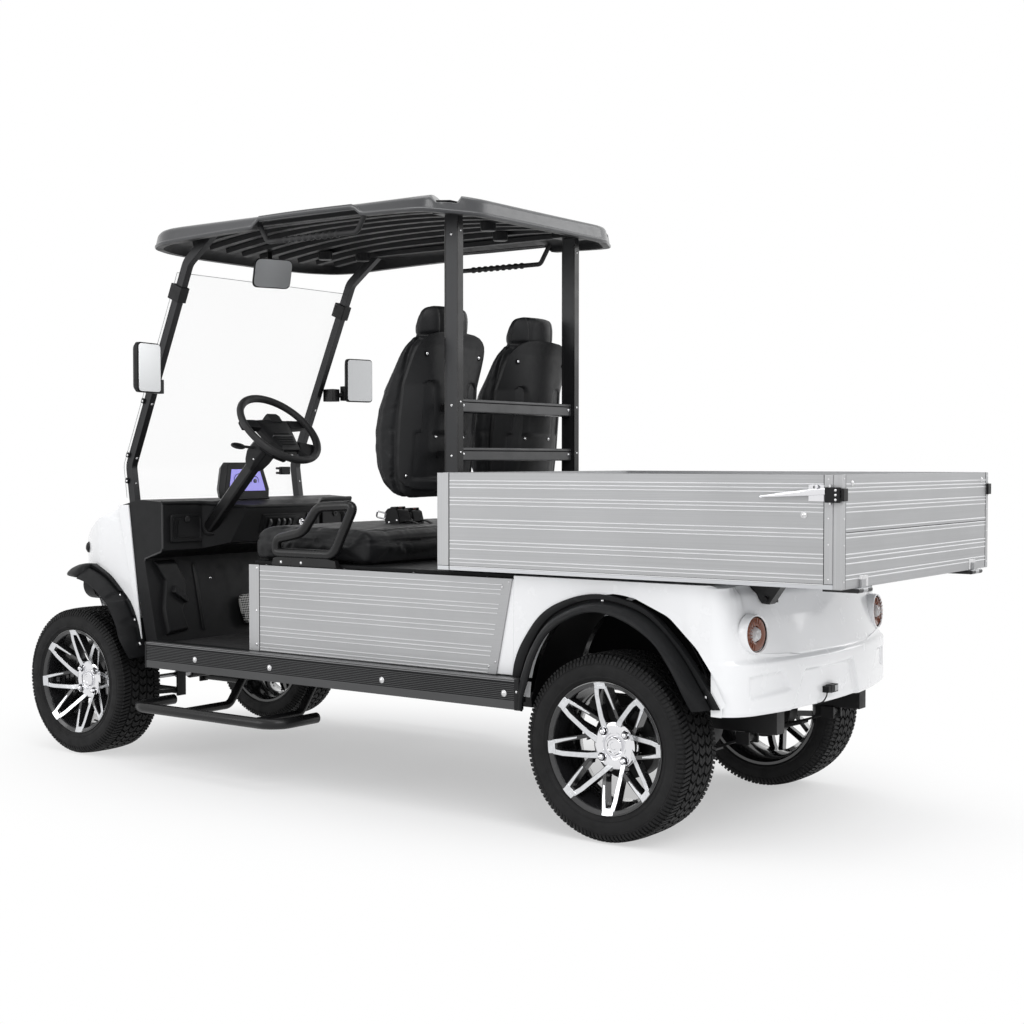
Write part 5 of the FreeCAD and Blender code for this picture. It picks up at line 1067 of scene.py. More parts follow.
def flares():
    rear_body = [(0.374, 0.553, 0.4), (0.372, 0.553, 0.455), (0.361, 0.553, 0.518), (0.33, 0.553, 0.583),
                 (0.269, 0.553, 0.662), (0.194, 0.553, 0.709), (0.084, 0.553, 0.74), (-0.023, 0.553, 0.733),
                 (-0.128, 0.553, 0.697), (-0.229, 0.553, 0.606), (-0.296, 0.553, 0.524),
                 (-0.362, 0.552, 0.428)]
    rear_lip = [(0.29, 0.622, 0.372), (0.288, 0.622, 0.412), (0.267, 0.622, 0.475), (0.244, 0.622, 0.54),
                (0.2, 0.622, 0.611), (0.127, 0.622, 0.664), (0.037, 0.622, 0.693), (-0.068, 0.622, 0.676),
                (-0.171, 0.622, 0.62), (-0.23, 0.62, 0.548), (-0.272, 0.612, 0.47), (-0.292, 0.596, 0.422)]
    skin = flare_skin(rear_body, rear_lip, REAR_SECTION)
    piece("rear_flares", pair(skin), "plastic", angle=50, replaces=["fender_flares"])
    front_body = [(2.118, 0.541, 0.4), (2.133, 0.541, 0.46), (2.155, 0.541, 0.535), (2.194, 0.541, 0.602),
                  (2.252, 0.541, 0.653), (2.31, 0.541, 0.697), (2.369, 0.541, 0.726), (2.415, 0.541, 0.742)]
    front_lip = [(2.112, 0.618, 0.398), (2.162, 0.622, 0.466), (2.184, 0.622, 0.521), (2.229, 0.622, 0.591),
                 (2.281, 0.622, 0.634), (2.339, 0.62, 0.668), (2.39, 0.616, 0.681), (2.42, 0.613, 0.686)]
    pockets = [(2.228, 0.626, 0.024, 0.017, 0.016), (2.147, 0.535, 0.026, 0.017, 0.016)]
    skin = flare_skin(front_body, front_lip, FRONT_SECTION, pockets, 110)
    nose = nose_form()
    piece("front_flares", pair(skin), "plastic", angle=50)
    piece("front_flare_noses", pair(nose), "plastic", levels=1)
    bolts = [screw(0.037, 0.5545, 0.722, (0, 1, 0), 0.0052), screw(-0.18, 0.5545, 0.642, (0, 1, 0), 0.0052),
             screw(-0.318, 0.556, 0.462, (0, 1, 0), 0.0052), screw(2.234, 0.556, 0.628, (0, 1, 0), 0.0052),
             screw(2.151, 0.556, 0.538, (0, 1, 0), 0.0052), screw(2.126, 0.553, 0.448, (0, 1, 0), 0.0062,
                                                                  0.008)]
    piece("flare_bolts", pair(join(*bolts)), "bolt")


def nose_form():
    """The rounded front end of a front flare, from the arch crown forward and in to the cowl."""
    places = [((2.412, 0.541, 0.743), (2.414, 0.612, 0.686)), ((2.44, 0.541, 0.745), (2.45, 0.606, 0.688)),
              ((2.475, 0.541, 0.74), (2.485, 0.596, 0.6895)), ((2.505, 0.54, 0.73), (2.515, 0.584, 0.69)),
              ((2.528, 0.538, 0.72), (2.534, 0.573, 0.6915)), ((2.539, 0.536, 0.711),
                                                               (2.542, 0.562, 0.696))]
    rings = []
    for top, low in places:
        top, low = Vector(top), Vector(low)
        out = low.y - top.y
        mid = Vector((low.x, low.y - out * 0.1, low.z + (top.z - low.z) * 0.42))
        shoulder = Vector((top.x + 0.002, top.y + out * 0.52, top.z - (top.z - low.z) * 0.1))
        inner = Vector((top.x, 0.505, top.z - 0.004))
        under = Vector((low.x - 0.004, low.y - out * 0.55, low.z - 0.004))
        back = Vector((top.x, 0.505, low.z + (top.z - low.z) * 0.35))
        rings.append([inner, top, shoulder, mid, low, under, back])
    return loft(rings)


# Seats and bench

def even_mesh(part, voxel):
    """The part as an even net of small faces, still in the cart's own X."""
    mesh = bpy.data.meshes.new("even")
    mesh.from_pydata([tuple(v) for v in part[0]], [], part[1])
    obj = bpy.data.objects.new("even", mesh)
    scene.collection.objects.link(obj)
    mod = obj.modifiers.new("even", "REMESH")
    mod.mode = "VOXEL"
    mod.voxel_size = voxel
    mod = obj.modifiers.new("calm", "SMOOTH")
    mod.factor = 0.5
    mod.iterations = 6
    graph = bpy.context.evaluated_depsgraph_get()
    graph.update()
    obj.data = bpy.data.meshes.new_from_object(obj.evaluated_get(graph))
    obj.modifiers.clear()
    return obj


CLOTH_FRAMES = 20


def blown_up(part, voxel, pressure, reach):
    """The cover of a cushion, filled by the cloth solver; no point moves further than reach."""
    obj = even_mesh(part, voxel)
    flat = [v.co.copy() for v in obj.data.vertices]
    full = flat
    cloth = obj.modifiers.new("cover", "CLOTH")
    settings = cloth.settings
    settings.quality = 4
    settings.mass = 0.25
    settings.tension_stiffness = 12
    settings.compression_stiffness = 12
    settings.shear_stiffness = 6
    settings.bending_stiffness = 0.3
    settings.use_pressure = True
    settings.uniform_pressure_force = pressure
    settings.effector_weights.gravity = 0
    cloth.collision_settings.use_collision = False
    cloth.collision_settings.use_self_collision = False
    cloth.point_cache.frame_start = 1
    cloth.point_cache.frame_end = CLOTH_FRAMES
    for number in range(1, CLOTH_FRAMES + 1):
        scene.frame_set(number)
    graph = bpy.context.evaluated_depsgraph_get()
    got = obj.evaluated_get(graph)
    full = [v.co.copy() for v in got.data.vertices]
    scene.frame_set(1)
    points = []
    for a, b in zip(flat, full):
        step = b - a
        if step.length > reach:
            step *= reach / step.length
        points.append(a + step)
    faces = [tuple(p.vertices) for p in obj.data.polygons]
    bpy.data.objects.remove(obj)
    return points, faces


def sewn(part, seams):
    """Pulls a cover in along its seams; each seam gives (distance, depth, width) for a point."""
    mesh = bpy.data.meshes.new("sewn")
    mesh.from_pydata(part[0], [], part[1])
    mesh.update()
    out = []
    for vertex in mesh.vertices:
        pull = 0.0
        for distance, depth, width in seams(vertex.co, vertex.normal):
            pull = max(pull, depth * math.exp(-(distance / width) ** 2))
        out.append(vertex.co - vertex.normal * pull)
    bpy.data.meshes.remove(mesh)
    return out, part[1]


SEAT_Y = 0.262
SIDE_SHARE = 0.66       # how far forward a seat back is widest
# height, half width, front, rear of the leather, front recess between the bolsters, roundness of the rear
BACK_LEVELS = [
    (1.012, 0.13, 0.925, 0.9, 0.004, 2.5), (1.016, 0.172, 0.94, 0.896, 0.008, 3.0),
    (1.032, 0.206, 0.962, 0.888, 0.014, 3.4), (1.068, 0.229, 0.992, 0.88, 0.022, 3.6),
    (1.115, 0.238, 1.013, 0.872, 0.028, 3.8), (1.18, 0.242, 1.028, 0.864, 0.032, 4.0),
    (1.25, 0.242, 1.029, 0.858, 0.034, 4.0), (1.32, 0.24, 1.016, 0.852, 0.034, 4.0),
    (1.395, 0.234, 0.984, 0.848, 0.03, 4.0), (1.46, 0.22, 0.95, 0.846, 0.024, 3.8),
    (1.505, 0.206, 0.932, 0.844, 0.018, 3.4), (1.535, 0.188, 0.92, 0.842, 0.01, 3.0),
    (1.56, 0.158, 0.912, 0.838, 0.003, 2.6), (1.578, 0.141, 0.908, 0.834, -0.004, 2.4),
    (1.605, 0.139, 0.905, 0.832, -0.008, 2.3), (1.64, 0.135, 0.899, 0.832, -0.008, 2.3),
    (1.662, 0.124, 0.892, 0.834, -0.006, 2.3), (1.675, 0.108, 0.884, 0.84, -0.003, 2.2),
    (1.68, 0.08, 0.872, 0.85, 0.0, 2.0)]


def level_at(z):
    """The seat back's measures between two levels."""
    for low, high in zip(BACK_LEVELS, BACK_LEVELS[1:]):
        if z <= high[0]:
            t = max(0.0, (z - low[0]) / (high[0] - low[0]))
            return [a + (b - a) * t for a, b in zip(low, high)]
    return list(BACK_LEVELS[-1])


def back_part():
    rings = []
    turns = 18
    for z, half, front, rear, recess, power in BACK_LEVELS:
        side = rear + SIDE_SHARE * (front - rear)
        ring = []
        for k in range(turns):
            s = math.sin(PI / 2 * (2 * k / (turns - 1) - 1))
            ring.append(Vector((rear + (side - rear) * abs(s) ** power, half * s, z)))
        for k in range(1, turns - 1):
            s = math.sin(PI / 2 * (1 - 2 * k / (turns - 1)))
            ring.append(Vector((front - recess * (1 - abs(s) ** 2.6) - (front - side) * abs(s) ** 16,
                                half * s, z)))
        rings.append(ring)
    return loft(rings)


def back_seams(p, n):
    half, front, rear = level_at(p.z)[1:4]
    side = rear + SIDE_SHARE * (front - rear)
    across = abs(p.y)
    if 1.54 < p.z < 1.6:
        yield abs(p.z - 1.572), 0.0075, 0.0065
    if n.x > 0.25 and p.z < 1.56:
        yield abs(across - 0.62 * half), 0.0075, 0.0055
        if across < 0.62 * half and p.z > 1.09:
            yield abs((p.z - 1.09 + 0.0275) % 0.055 - 0.0275), 0.005, 0.0055
    if across > 0.7 * half:
        yield abs(p.x - side - 0.004), 0.0035, 0.0028
        yield abs(p.x - side - 0.014), 0.0018, 0.002
    if n.x < 0 and p.z < 1.56:
        yield abs(across - 0.875 * half), 0.013, 0.0085
    if n.x < -0.2 and p.z > 1.572:
        yield abs(across - 0.068), 0.0055, 0.0035
    if p.z > 1.572:
        yield abs(p.x - side), 0.0035, 0.003


def shell_face(y, z):
    """How far forward the moulded back's surface lies: a bowl whose rim turns forward."""
    wrap = 0.062 * min(1.0, abs(y) / 0.205) ** 3.2 * min(1.0, max(0.0, (1.6 - z) / 0.2))
    return level_at(z)[3] - 0.0175 + wrap + shell_sink(y, z)


def shell_rows(outline):
    turns = 41
    spots = [math.sin(PI / 2 * (2 * k / (turns - 1) - 1)) for k in range(turns)]
    return [[Vector((shell_face(half * s, z), half * s, z)) for s in spots] for z, half in outline]


def dense(outline, step):
    out = []
    for (z0, w0), (z1, w1) in zip(outline, outline[1:]):
        n = max(1, int(math.ceil((z1 - z0) / step)))
        out += [(z0 + (z1 - z0) * i / n, w0 + (w1 - w0) * i / n) for i in range(n)]
    return out + [outline[-1]]


SHELL = [(1.046, 0.11), (1.05, 0.15), (1.06, 0.178), (1.08, 0.194), (1.13, 0.202), (1.2, 0.205),
         (1.3, 0.205), (1.417, 0.2), (1.475, 0.195), (1.505, 0.191), (1.53, 0.183), (1.545, 0.172),
         (1.56, 0.153), (1.572, 0.128), (1.58, 0.095), (1.585, 0.04)]


def shell_sink(y, z):
    """The pressed-in middle of the shell and its two upright slots."""
    deep = 0.0
    if z < 1.245:
        edge = min(1.0, max(0.0, (0.165 - abs(y)) / 0.012)) * min(1.0, max(0.0, (z - 1.075) / 0.012))
        deep += 0.009 * edge * min(1.0, max(0.0, (1.245 - z) / 0.012))
    across = abs(abs(y) - 0.113) / 0.024
    along = max(0.0, 1.25 - z, z - 1.392) / 0.024
    slot = math.hypot(across, along)
    return deep + 0.016 * min(1.0, max(0.0, (1.0 - slot) * 4))


def seat_shells():
    rows = shell_rows(dense(SHELL, 0.006))
    back = [[p + Vector((0.011, 0, 0)) for p in row] for row in rows]
    rings = [row + list(reversed(under)) for row, under in zip(rows, back)]
    shell = loft(rings)
    screws, cups = [], []
    for s in (-1, 1):
        for across, z, cup in ((0.1435, 1.505, 0.01), (0.113, 1.378, 0.0), (0.18, 1.092, 0.008),
                               (0.075, 1.225, 0.0)):
            x = shell_face(across, z)
            # Near-black discs under two of the screws: painted shade of their recessed cups
            if cup:
                cups.append(lathe([(0.0004, 0), (cup, 0), (cup + 0.001, 0.0012), (0.0004, 0.0016)],
                                  (x, s * across, z), (-1, 0, 0), 18, close=False))
            screws.append(screw(x - 0.0012, s * across, z, (-1, 0, 0), 0.0058))
    for name, y in (("left", SEAT_Y), ("right", -SEAT_Y)):
        place = Matrix.Translation((0, y, 0))
        piece("seat_shell_" + name, moved(shell, place), "shell", angle=45,
              replaces=["seat_shells"] if name == "left" else ())
        piece("seat_shell_screws_" + name, moved(join(*screws), place), "bolt")
        piece("seat_shell_cup_shade_" + name, moved(join(*cups), place), "gap")


def seat_backs():
    pad = sewn(blown_up(back_part(), 0.0062, 2.2, 0.007), back_seams)
    for name, y in (("left", SEAT_Y), ("right", -SEAT_Y)):
        obj = piece("seat_back_" + name, moved(pad, Matrix.Translation((0, y, 0))), "leather", angle=75,
                    replaces=["seat_backs"] if name == "left" else ())


def bench_part():
    side = [(1.026, 0.788), (1.3, 0.788), (1.566, 0.788), (1.578, 0.8), (1.58, 0.83), (1.577, 0.858),
            (1.566, 0.881), (1.545, 0.896), (1.5, 0.901), (1.4, 0.902), (1.25, 0.901), (1.11, 0.898),
            (1.05, 0.894), (1.03, 0.884), (1.024, 0.866), (1.023, 0.82)]
    rings = []
    for y, inset in ((-0.493, 0.03), (-0.4915, 0.014), (-0.484, 0.004), (-0.47, 0.0), (-0.36, 0.0),
                     (-0.12, -0.002), (0.12, -0.002), (0.36, 0.0), (0.47, 0.0), (0.484, 0.004),
                     (0.4915, 0.014), (0.493, 0.03)):
        ring = []
        for x, z in side:
            dx = inset if x < 1.3 else -inset
            dz = -inset if z > 0.845 else min(inset, 0.004)
            if abs(x - 1.3) < 0.2:
                dx = 0
            ring.append(Vector((x + dx, y, z + dz)))
        rings.append(ring)
    return loft(rings)


def bench_seams(p, n):
    if n.z > 0.45 and p.z > 0.87:
        across = abs(p.y)
        inside = min(0.432 - across, p.x - 1.075, 1.52 - p.x)
        if inside > 0:
            yield abs((p.y + 0.027) % 0.054 - 0.027), 0.0052 * min(1, inside / 0.012), 0.0052
        if 1.065 < p.x < 1.53 and across < 0.442:
            yield min(abs(across - 0.436), abs(p.x - 1.071), abs(p.x - 1.524)), 0.0062, 0.0052
    elif abs(n.z) < 0.8:
        yield abs(p.z - 0.862), 0.005, 0.0042
        yield abs(p.z - 0.852), 0.0022, 0.002


def bench():
    pad = sewn(blown_up(bench_part(), 0.0068, 2.0, 0.008), bench_seams)
    obj = piece("bench_pad", pad, "leather", "seat_bench", angle=75,
                replaces=["bench_cushion"])


def buckles():
    """The pair of belt buckles standing at the middle of the bench."""
    blocks, reds, bolts, webs = [], [], [], []
    for y, half, lift in ((0.052, 0.033, 0.0), (-0.03, 0.03, -0.006)):
        side = [(1.227, 0.903), (1.296, 0.9035), (1.306, 0.93), (1.303, 0.952), (1.288, 0.966),
                (1.26, 0.97), (1.24, 0.96), (1.231, 0.93)]
        blocks.append(prism([(x, max(0.903, z + lift)) for x, z in side], "Y", y - half, y + half))
        for lo, hi in ((y - half * 0.72, y - half * 0.45), (y + half * 0.45, y + half * 0.72)):
            blocks.append(prism([(1.246, 0.965 + lift), (1.246, 0.974 + lift), (1.283, 0.972 + lift),
                                 (1.286, 0.963 + lift)], "Y", lo, hi))
        reds.append(box(1.252, 1.276, y - 0.009, y + 0.009, 0.967 + lift, 0.9705 + lift))
        for x, z in ((1.28, 0.914), (1.242, 0.922)):
            bolts.append(screw(x, y + half, z, (0, 1, 0), 0.005))
        bolts.append(screw(1.2285, y, 0.915, (-1, 0, 0), 0.005))
        webs.append(tube(smooth_curve([(1.233, y, 0.915), (1.2, y, 0.92), (1.16, y, 0.906)], 6), 0.01, 12,
                         flat=0.3))
    blocks.append(box(1.238, 1.29, 0.002, 0.02, 0.9035, 0.95))
    ring = rounded([(1.298, 0.083, 0.926), (1.332, 0.096, 0.934), (1.326, 0.098, 0.956),
                    (1.294, 0.085, 0.948)], 0.007, 4, closed=True)
    piece("belt_buckle_blocks", join(*blocks), "plastic_fine", "seat_bench", bevel=0.0035,
          segments=3, replaces=["belt_buckles"])
    piece("belt_buckle_keys", join(*reds), "tag", "seat_bench", bevel=0.0012)
    piece("belt_buckle_webs", join(*webs), "grip", "seat_bench")
    piece("belt_tongue", tube(ring, 0.0032, 10, closed=True), "chrome", "seat_bench")
    piece("belt_buckle_bolts", join(*bolts), "bolt", "seat_bench")


def seat_rails():
    """Flat covers on the two bars behind the seats, each with a groove shown as a near-black line of painted
    shade, and two bolts.
    """
    rails, lines, bolts = [], [], []
    x, half = 0.748, 0.0225
    for z in (1.331, 1.166):
        outline = [(x, z - half + 0.003), (x, z + half - 0.003), (x + 0.003, z + half),
                   (x + 0.028, z + half), (x + 0.028, z - half), (x + 0.003, z - half)]
        rails.append(prism(outline, "Y", -0.336, 0.336))
        # The groove: a near-black strip of painted shade
        lines.append(prism([(x - 0.0006, z + half * 0.45), (x - 0.0006, z + half * 0.62),
                            (x + 0.001, z + half * 0.62), (x + 0.001, z + half * 0.45)], "Y", -0.335,
                           0.335))
        for s in (-1, 1):
            bolts.append(screw(x, s * 0.318, z, (-1, 0, 0), 0.0055))
    piece("seat_rail_covers", join(*rails), "rail", bevel=0.0012)
    piece("seat_rail_groove_shade", join(*lines), "gap")
    piece("seat_rail_bolts", join(*bolts), "bolt")


def seats():
    seat_shells()
    seat_backs()
    bench()
    buckles()
    seat_rails()


# Armrests, steering and dash

def armrests():
    run = rounded([(1.418, 0.54, 0.82), (1.411, 0.54, 0.868), (1.286, 0.54, 0.893), (1.212, 0.54, 0.984),
                   (1.046, 0.54, 0.992), (1.14, 0.54, 0.82)], 0.03, 7, closed=True)
    loop = tube(run, 0.0172, 18, closed=True)
    foot = prism([(1.428, 0.7745), (1.421, 0.8), (1.395, 0.806), (1.165, 0.806), (1.128, 0.8),
                  (1.12, 0.7745)], "Y", 0.529, 0.551)
    bolts = [screw(x, 0.551, 0.788, (0, 1, 0), 0.0055) for x in (1.381, 1.285)]
    piece("armrest_loops", pair(loop), "tube", replaces=["armrests"])
    piece("armrest_feet", pair(foot), "tube", bevel=0.002)
    piece("armrest_bolts", pair(join(*bolts)), "bolt")


WHEEL = Vector((1.632, 0.3, 1.262))
DOWN = Vector((math.sqrt(0.5), 0, -math.sqrt(0.5)))
RISE = Vector((math.sqrt(0.5), 0, math.sqrt(0.5)))


def on_wheel(p, q, lift=0.0):
    """A point p to the left, q up the wheel's plane and lift towards the driver."""
    return WHEEL + Vector((0, p * 0.935, 0)) + RISE * (q * 0.935) - DOWN * lift


def plate_on_wheel(outline, layers):
    """An outline stacked through (lift, inset) layers."""
    cp = sum(p for p, q in outline) / len(outline)
    cq = sum(q for p, q in outline) / len(outline)
    rings = []
    for lift, inset in layers:
        ring = []
        for p, q in outline:
            away = Vector((p - cp, q - cq))
            shrink = max(0.0, 1 - inset / away.length)
            ring.append(on_wheel(cp + away.x * shrink, cq + away.y * shrink, lift))
        rings.append(ring)
    return loft(rings)


def steering_wheel():
    ring = tube([on_wheel(0.1765 * math.cos(a), 0.1765 * math.sin(a)) for a in around(72)], 0.0134, 16,
                closed=True)
    groove = tube([on_wheel(0.164 * math.cos(a), 0.164 * math.sin(a), -0.0045) for a in around(72)],
                  0.0042, 8, closed=True)
    shield = [(0.092, 0.062), (0.04, 0.068), (-0.04, 0.068), (-0.092, 0.062), (-0.086, 0.01),
              (-0.07, -0.05), (-0.054, -0.108), (0.054, -0.108), (0.07, -0.05), (0.086, 0.01)]
    pad = plate_on_wheel(shield, [(-0.05, 0.03), (-0.04, 0.006), (-0.02, 0.0), (-0.011, 0.004),
                                  (-0.006, 0.016), (-0.0045, 0.04)])
    arms = [plate_on_wheel([(s * 0.084, 0.06), (s * 0.166, 0.06), (s * 0.172, 0.022), (s * 0.08, 0.014)],
                           [(-0.032, 0.006), (-0.026, 0.0), (-0.012, 0.0), (-0.007, 0.005)])
            for s in (-1, 1)]
    arms += [plate_on_wheel([(s * 0.07, -0.06), (s * 0.15, -0.078), (s * 0.118, -0.13), (s * 0.062, -0.158),
                             (s * 0.044, -0.104)], [(-0.034, 0.006), (-0.027, 0.0), (-0.013, 0.0),
                                                    (-0.008, 0.005)]) for s in (-1, 1)]
    ribs = [plate_on_wheel([(w, q + 0.0018), (-w, q + 0.0018), (-w, q - 0.0018), (w, q - 0.0018)],
                           [(-0.006, 0.0), (-0.0028, 0.0), (-0.0022, 0.0006)])
            for q, w in ((-0.02, 0.04), (-0.052, 0.044), (-0.066, 0.04), (-0.08, 0.036))]
    bright = plate_on_wheel([(0.058, -0.0345), (-0.058, -0.0345), (-0.058, -0.0385), (0.058, -0.0385)],
                            [(-0.006, 0.0), (-0.0022, 0.0), (-0.0016, 0.0006)])
    knob = plate_on_wheel([(0.004, 0.092), (-0.05, 0.092), (-0.06, 0.078), (-0.056, 0.044), (0.01, 0.044)],
                          [(-0.04, 0.0), (-0.01, 0.0), (-0.002, 0.003)])
    boss = lathe([(0.0005, 0.01), (0.03, 0.01), (0.034, 0.024), (0.034, 0.062), (0.0005, 0.062)], WHEEL,
                 DOWN, 28, close=False)
    piece("steering_rim", ring, "grip", "steering_wheel", replaces=["steering_wheel"])
    piece("steering_rim_groove", groove, "plastic_fine", "steering_wheel")
    piece("steering_pad", join(pad, *ribs, knob), "plastic_fine", "steering_wheel",
          bevel=0.0012, angle=30)
    piece("steering_spokes", join(*arms, boss), "plastic", "steering_wheel",
          bevel=0.0015, angle=30)
    piece("steering_pad_line", bright, "trim", "steering_wheel")


def square_ring(centre, half_y, half_rise, corner=0.3):
    """A chamfered box section across the steering column."""
    out = []
    for a, b in ((1, 1 - corner), (1 - corner, 1), (-1 + corner, 1), (-1, 1 - corner), (-1, -1 + corner),
                 (-1 + corner, -1), (1 - corner, -1), (1, -1 + corner)):
        out.append(centre + Vector((0, a * half_y, 0)) + RISE * (b * half_rise))
    return out


def column():
    rings = [square_ring(WHEEL + DOWN * d, w, w) for d, w in ((0.15, 0.0225), (0.64, 0.0225))]
    shroud = [square_ring(WHEEL + DOWN * d + RISE * lift, w, h, 0.35) for d, w, h, lift in
              ((0.07, 0.03, 0.028, 0.0), (0.078, 0.038, 0.035, 0.0), (0.11, 0.043, 0.041, 0.004),
               (0.15, 0.043, 0.041, 0.006), (0.182, 0.034, 0.034, 0.002), (0.2, 0.026, 0.026, 0.0))]
    at = WHEEL + DOWN * 0.105
    go = Vector((0.35, 0.93, 0.1)).normalized()
    stalk = tube([at, at + go * 0.07, at + go * 0.086], 0.0052, 12)
    loop = tube([at + go * (0.11 + 0.024 * math.cos(a)) + RISE * 0.011 * math.sin(a) for a in around(24)],
                0.0048, 10, closed=True)
    web = tube([at + go * 0.092, at + go * 0.112, at + go * 0.13], 0.0065, 10, flat=0.4)
    ear = loft([square_ring(at + Vector((0, s, 0)) + RISE * 0.01, 0.004, 0.02) for s in (-0.052, -0.041)])
    collar = lathe([(0.023, 0.0), (0.034, 0.0), (0.034, 0.01), (0.03, 0.016), (0.023, 0.016)],
                   WHEEL + DOWN * 0.535, DOWN, 28)
    screws = [screw(*(at + Vector((0, 0.0436, 0)) + DOWN * d + RISE * r), (0, 1, 0), 0.0042)
              for d, r in ((0.012, 0.018), (0.04, -0.014))]
    piece("column_tube", loft(rings), "tube", bevel=0.0012, replaces=["steering_column"])
    piece("column_shroud", join(loft(shroud), ear), "plastic_fine", bevel=0.002, angle=30)
    piece("column_stalk", join(stalk, loop, web), "grip")
    piece("column_collar", collar, "grip")
    piece("column_screws", join(*screws), "bolt")


LID_X = 2.0102


def lid_face(out, y, z):
    return Vector((LID_X - out, y, z))


def glove_lids():
    """Left lid; the right one is its mirror."""
    corner = rounded([(0, 0.338, 0.834), (0, 0.497, 0.834), (0, 0.497, 0.94), (0, 0.338, 0.94)], 0.012, 5,
                     True)
    mid = Vector((0, 0.4175, 0.887))

    def layer(out, inset):
        ring = []
        for p in corner:
            away = p - mid
            ring.append(lid_face(out, p.y - math.copysign(inset, away.y), p.z
                                 - math.copysign(inset, away.z)))
        return ring

    lid = loft([layer(-0.008, 0), layer(-0.001, 0), layer(0.0012, 0.0022), layer(0.0012, 0.01),
                layer(-0.0008, 0.012), layer(-0.0008, 0.03)])
    ribs = []
    for k in range(3):
        y = 0.478 - k * 0.0085
        ribs.append(tube([lid_face(0.0006, y, 0.853), lid_face(0.0014, y, 0.9),
                          lid_face(0.0012, y - 0.004, 0.915), lid_face(0.0006, y - 0.013, 0.925)], 0.0022,
                         8))
    ribs += [tube([lid_face(0.0004, 0.486, z), lid_face(0.0004, 0.35, z)], 0.0014, 8)
             for z in (0.846, 0.852)]
    lock = join(lathe([(0.0004, 0.0), (0.0125, 0.0), (0.0125, 0.0035), (0.01, 0.005), (0.006, 0.005),
                       (0.0055, 0.004), (0.0004, 0.004)], lid_face(0.0, 0.415, 0.921), (-1, 0, 0), 22,
                      close=False), moved(box(-0.0056, -0.0038, -0.0012, 0.0012, -0.0045, 0.0045),
                                          Matrix.Translation((LID_X, 0.415, 0.921))))
    for name, turn in (("left", lambda part: part), ("right", mirrored)):
        body = "glove_lid_" + name
        piece("lid_panel_" + name, turn(lid), "plastic_fine", body, angle=35, replaces=[body])
        piece("lid_ribs_" + name, turn(join(*ribs)), "dash", body)
        piece("lid_lock_" + name, turn(lock), "grip", body, bevel=0.0005)


def console_x(z):
    """The face of the dash's middle, which leans back below its lip."""
    return 1.915 + max(0.0, 0.935 - z) * 0.321


def on_console(y, z, out=0.0):
    return Vector((console_x(z) - out, y, z))


PLATE_ROUND = 0.003     # how far the plates' faces draw in at their edges


def console_plate(y0, y1, z0, z1, low, high):
    """A low plate on the leaning console, from low to high above its face."""
    def ring(out, inner):
        return [on_console(y, z, out) for y, z in ((y0 + inner, z0 + inner), (y1 - inner, z0 + inner),
                                                   (y1 - inner, z1 - inner), (y0 + inner, z1 - inner))]
    return loft([ring(low, 0), ring(high - PLATE_ROUND * 0.5, 0), ring(high, PLATE_ROUND)])


def switches():
    frame_plate = join(console_plate(-0.14, 0.108, 0.856, 0.9335, -0.002, 0.003),
                       console_plate(-0.098, 0.092, 0.866, 0.924, 0.0, 0.0052))
    # The switches' well: a near-black plate of painted shade
    shade_sheets = console_plate(-0.074, 0.08, 0.874, 0.917, 0.0, 0.0058)
    rockers = []
    for y in (0.062, 0.017, -0.014, -0.046):
        rings = []
        for k in range(9):
            t = k / 8
            z = 0.878 + 0.035 * t
            bow = 0.0065 + 0.0075 * math.sin(PI * t)
            shift = 0.0035 * math.sin(PI * t)
            rings.append([on_console(y - 0.0065 - shift, z, 0.004), on_console(y - 0.0052 - shift, z, bow),
                          on_console(y + 0.0052 - shift, z, bow), on_console(y + 0.0065 - shift, z, 0.004)])
        rockers.append(loft(rings))
    spot = on_console(-0.118, 0.896, 0.003)
    out = Vector((-0.95, 0, -0.3)).normalized()
    key = lathe([(0.0004, 0.01), (0.005, 0.01), (0.0062, 0.008), (0.0125, 0.008), (0.0135, 0.005),
                 (0.0155, 0.003), (0.0155, 0.0), (0.0004, 0.0)], spot, out, 22, close=False)
    blade = moved(box(-0.03, -0.006, -0.0012, 0.0012, -0.0035, 0.0035), Matrix.Translation(spot))
    bow = moved(box(-0.046, -0.028, -0.003, 0.003, -0.011, 0.011), Matrix.Translation(spot))
    strip = tube([on_console(-0.15, 0.933, 0.002), on_console(-0.15, 0.9, 0.003),
                  on_console(-0.152, 0.85, 0.002)], 0.0045, 10)
    piece("switch_frame", frame_plate, "dash", bevel=0.0008)
    piece("switch_well_shade", shade_sheets, "gap")
    piece("switch_rockers", join(*rockers), "rail", bevel=0.0008, angle=35)
    piece("key_barrel", join(key, blade), "chrome")
    piece("key_bow", bow, "plastic_fine", bevel=0.0025, segments=3)
    piece("console_strip", strip, "trim")


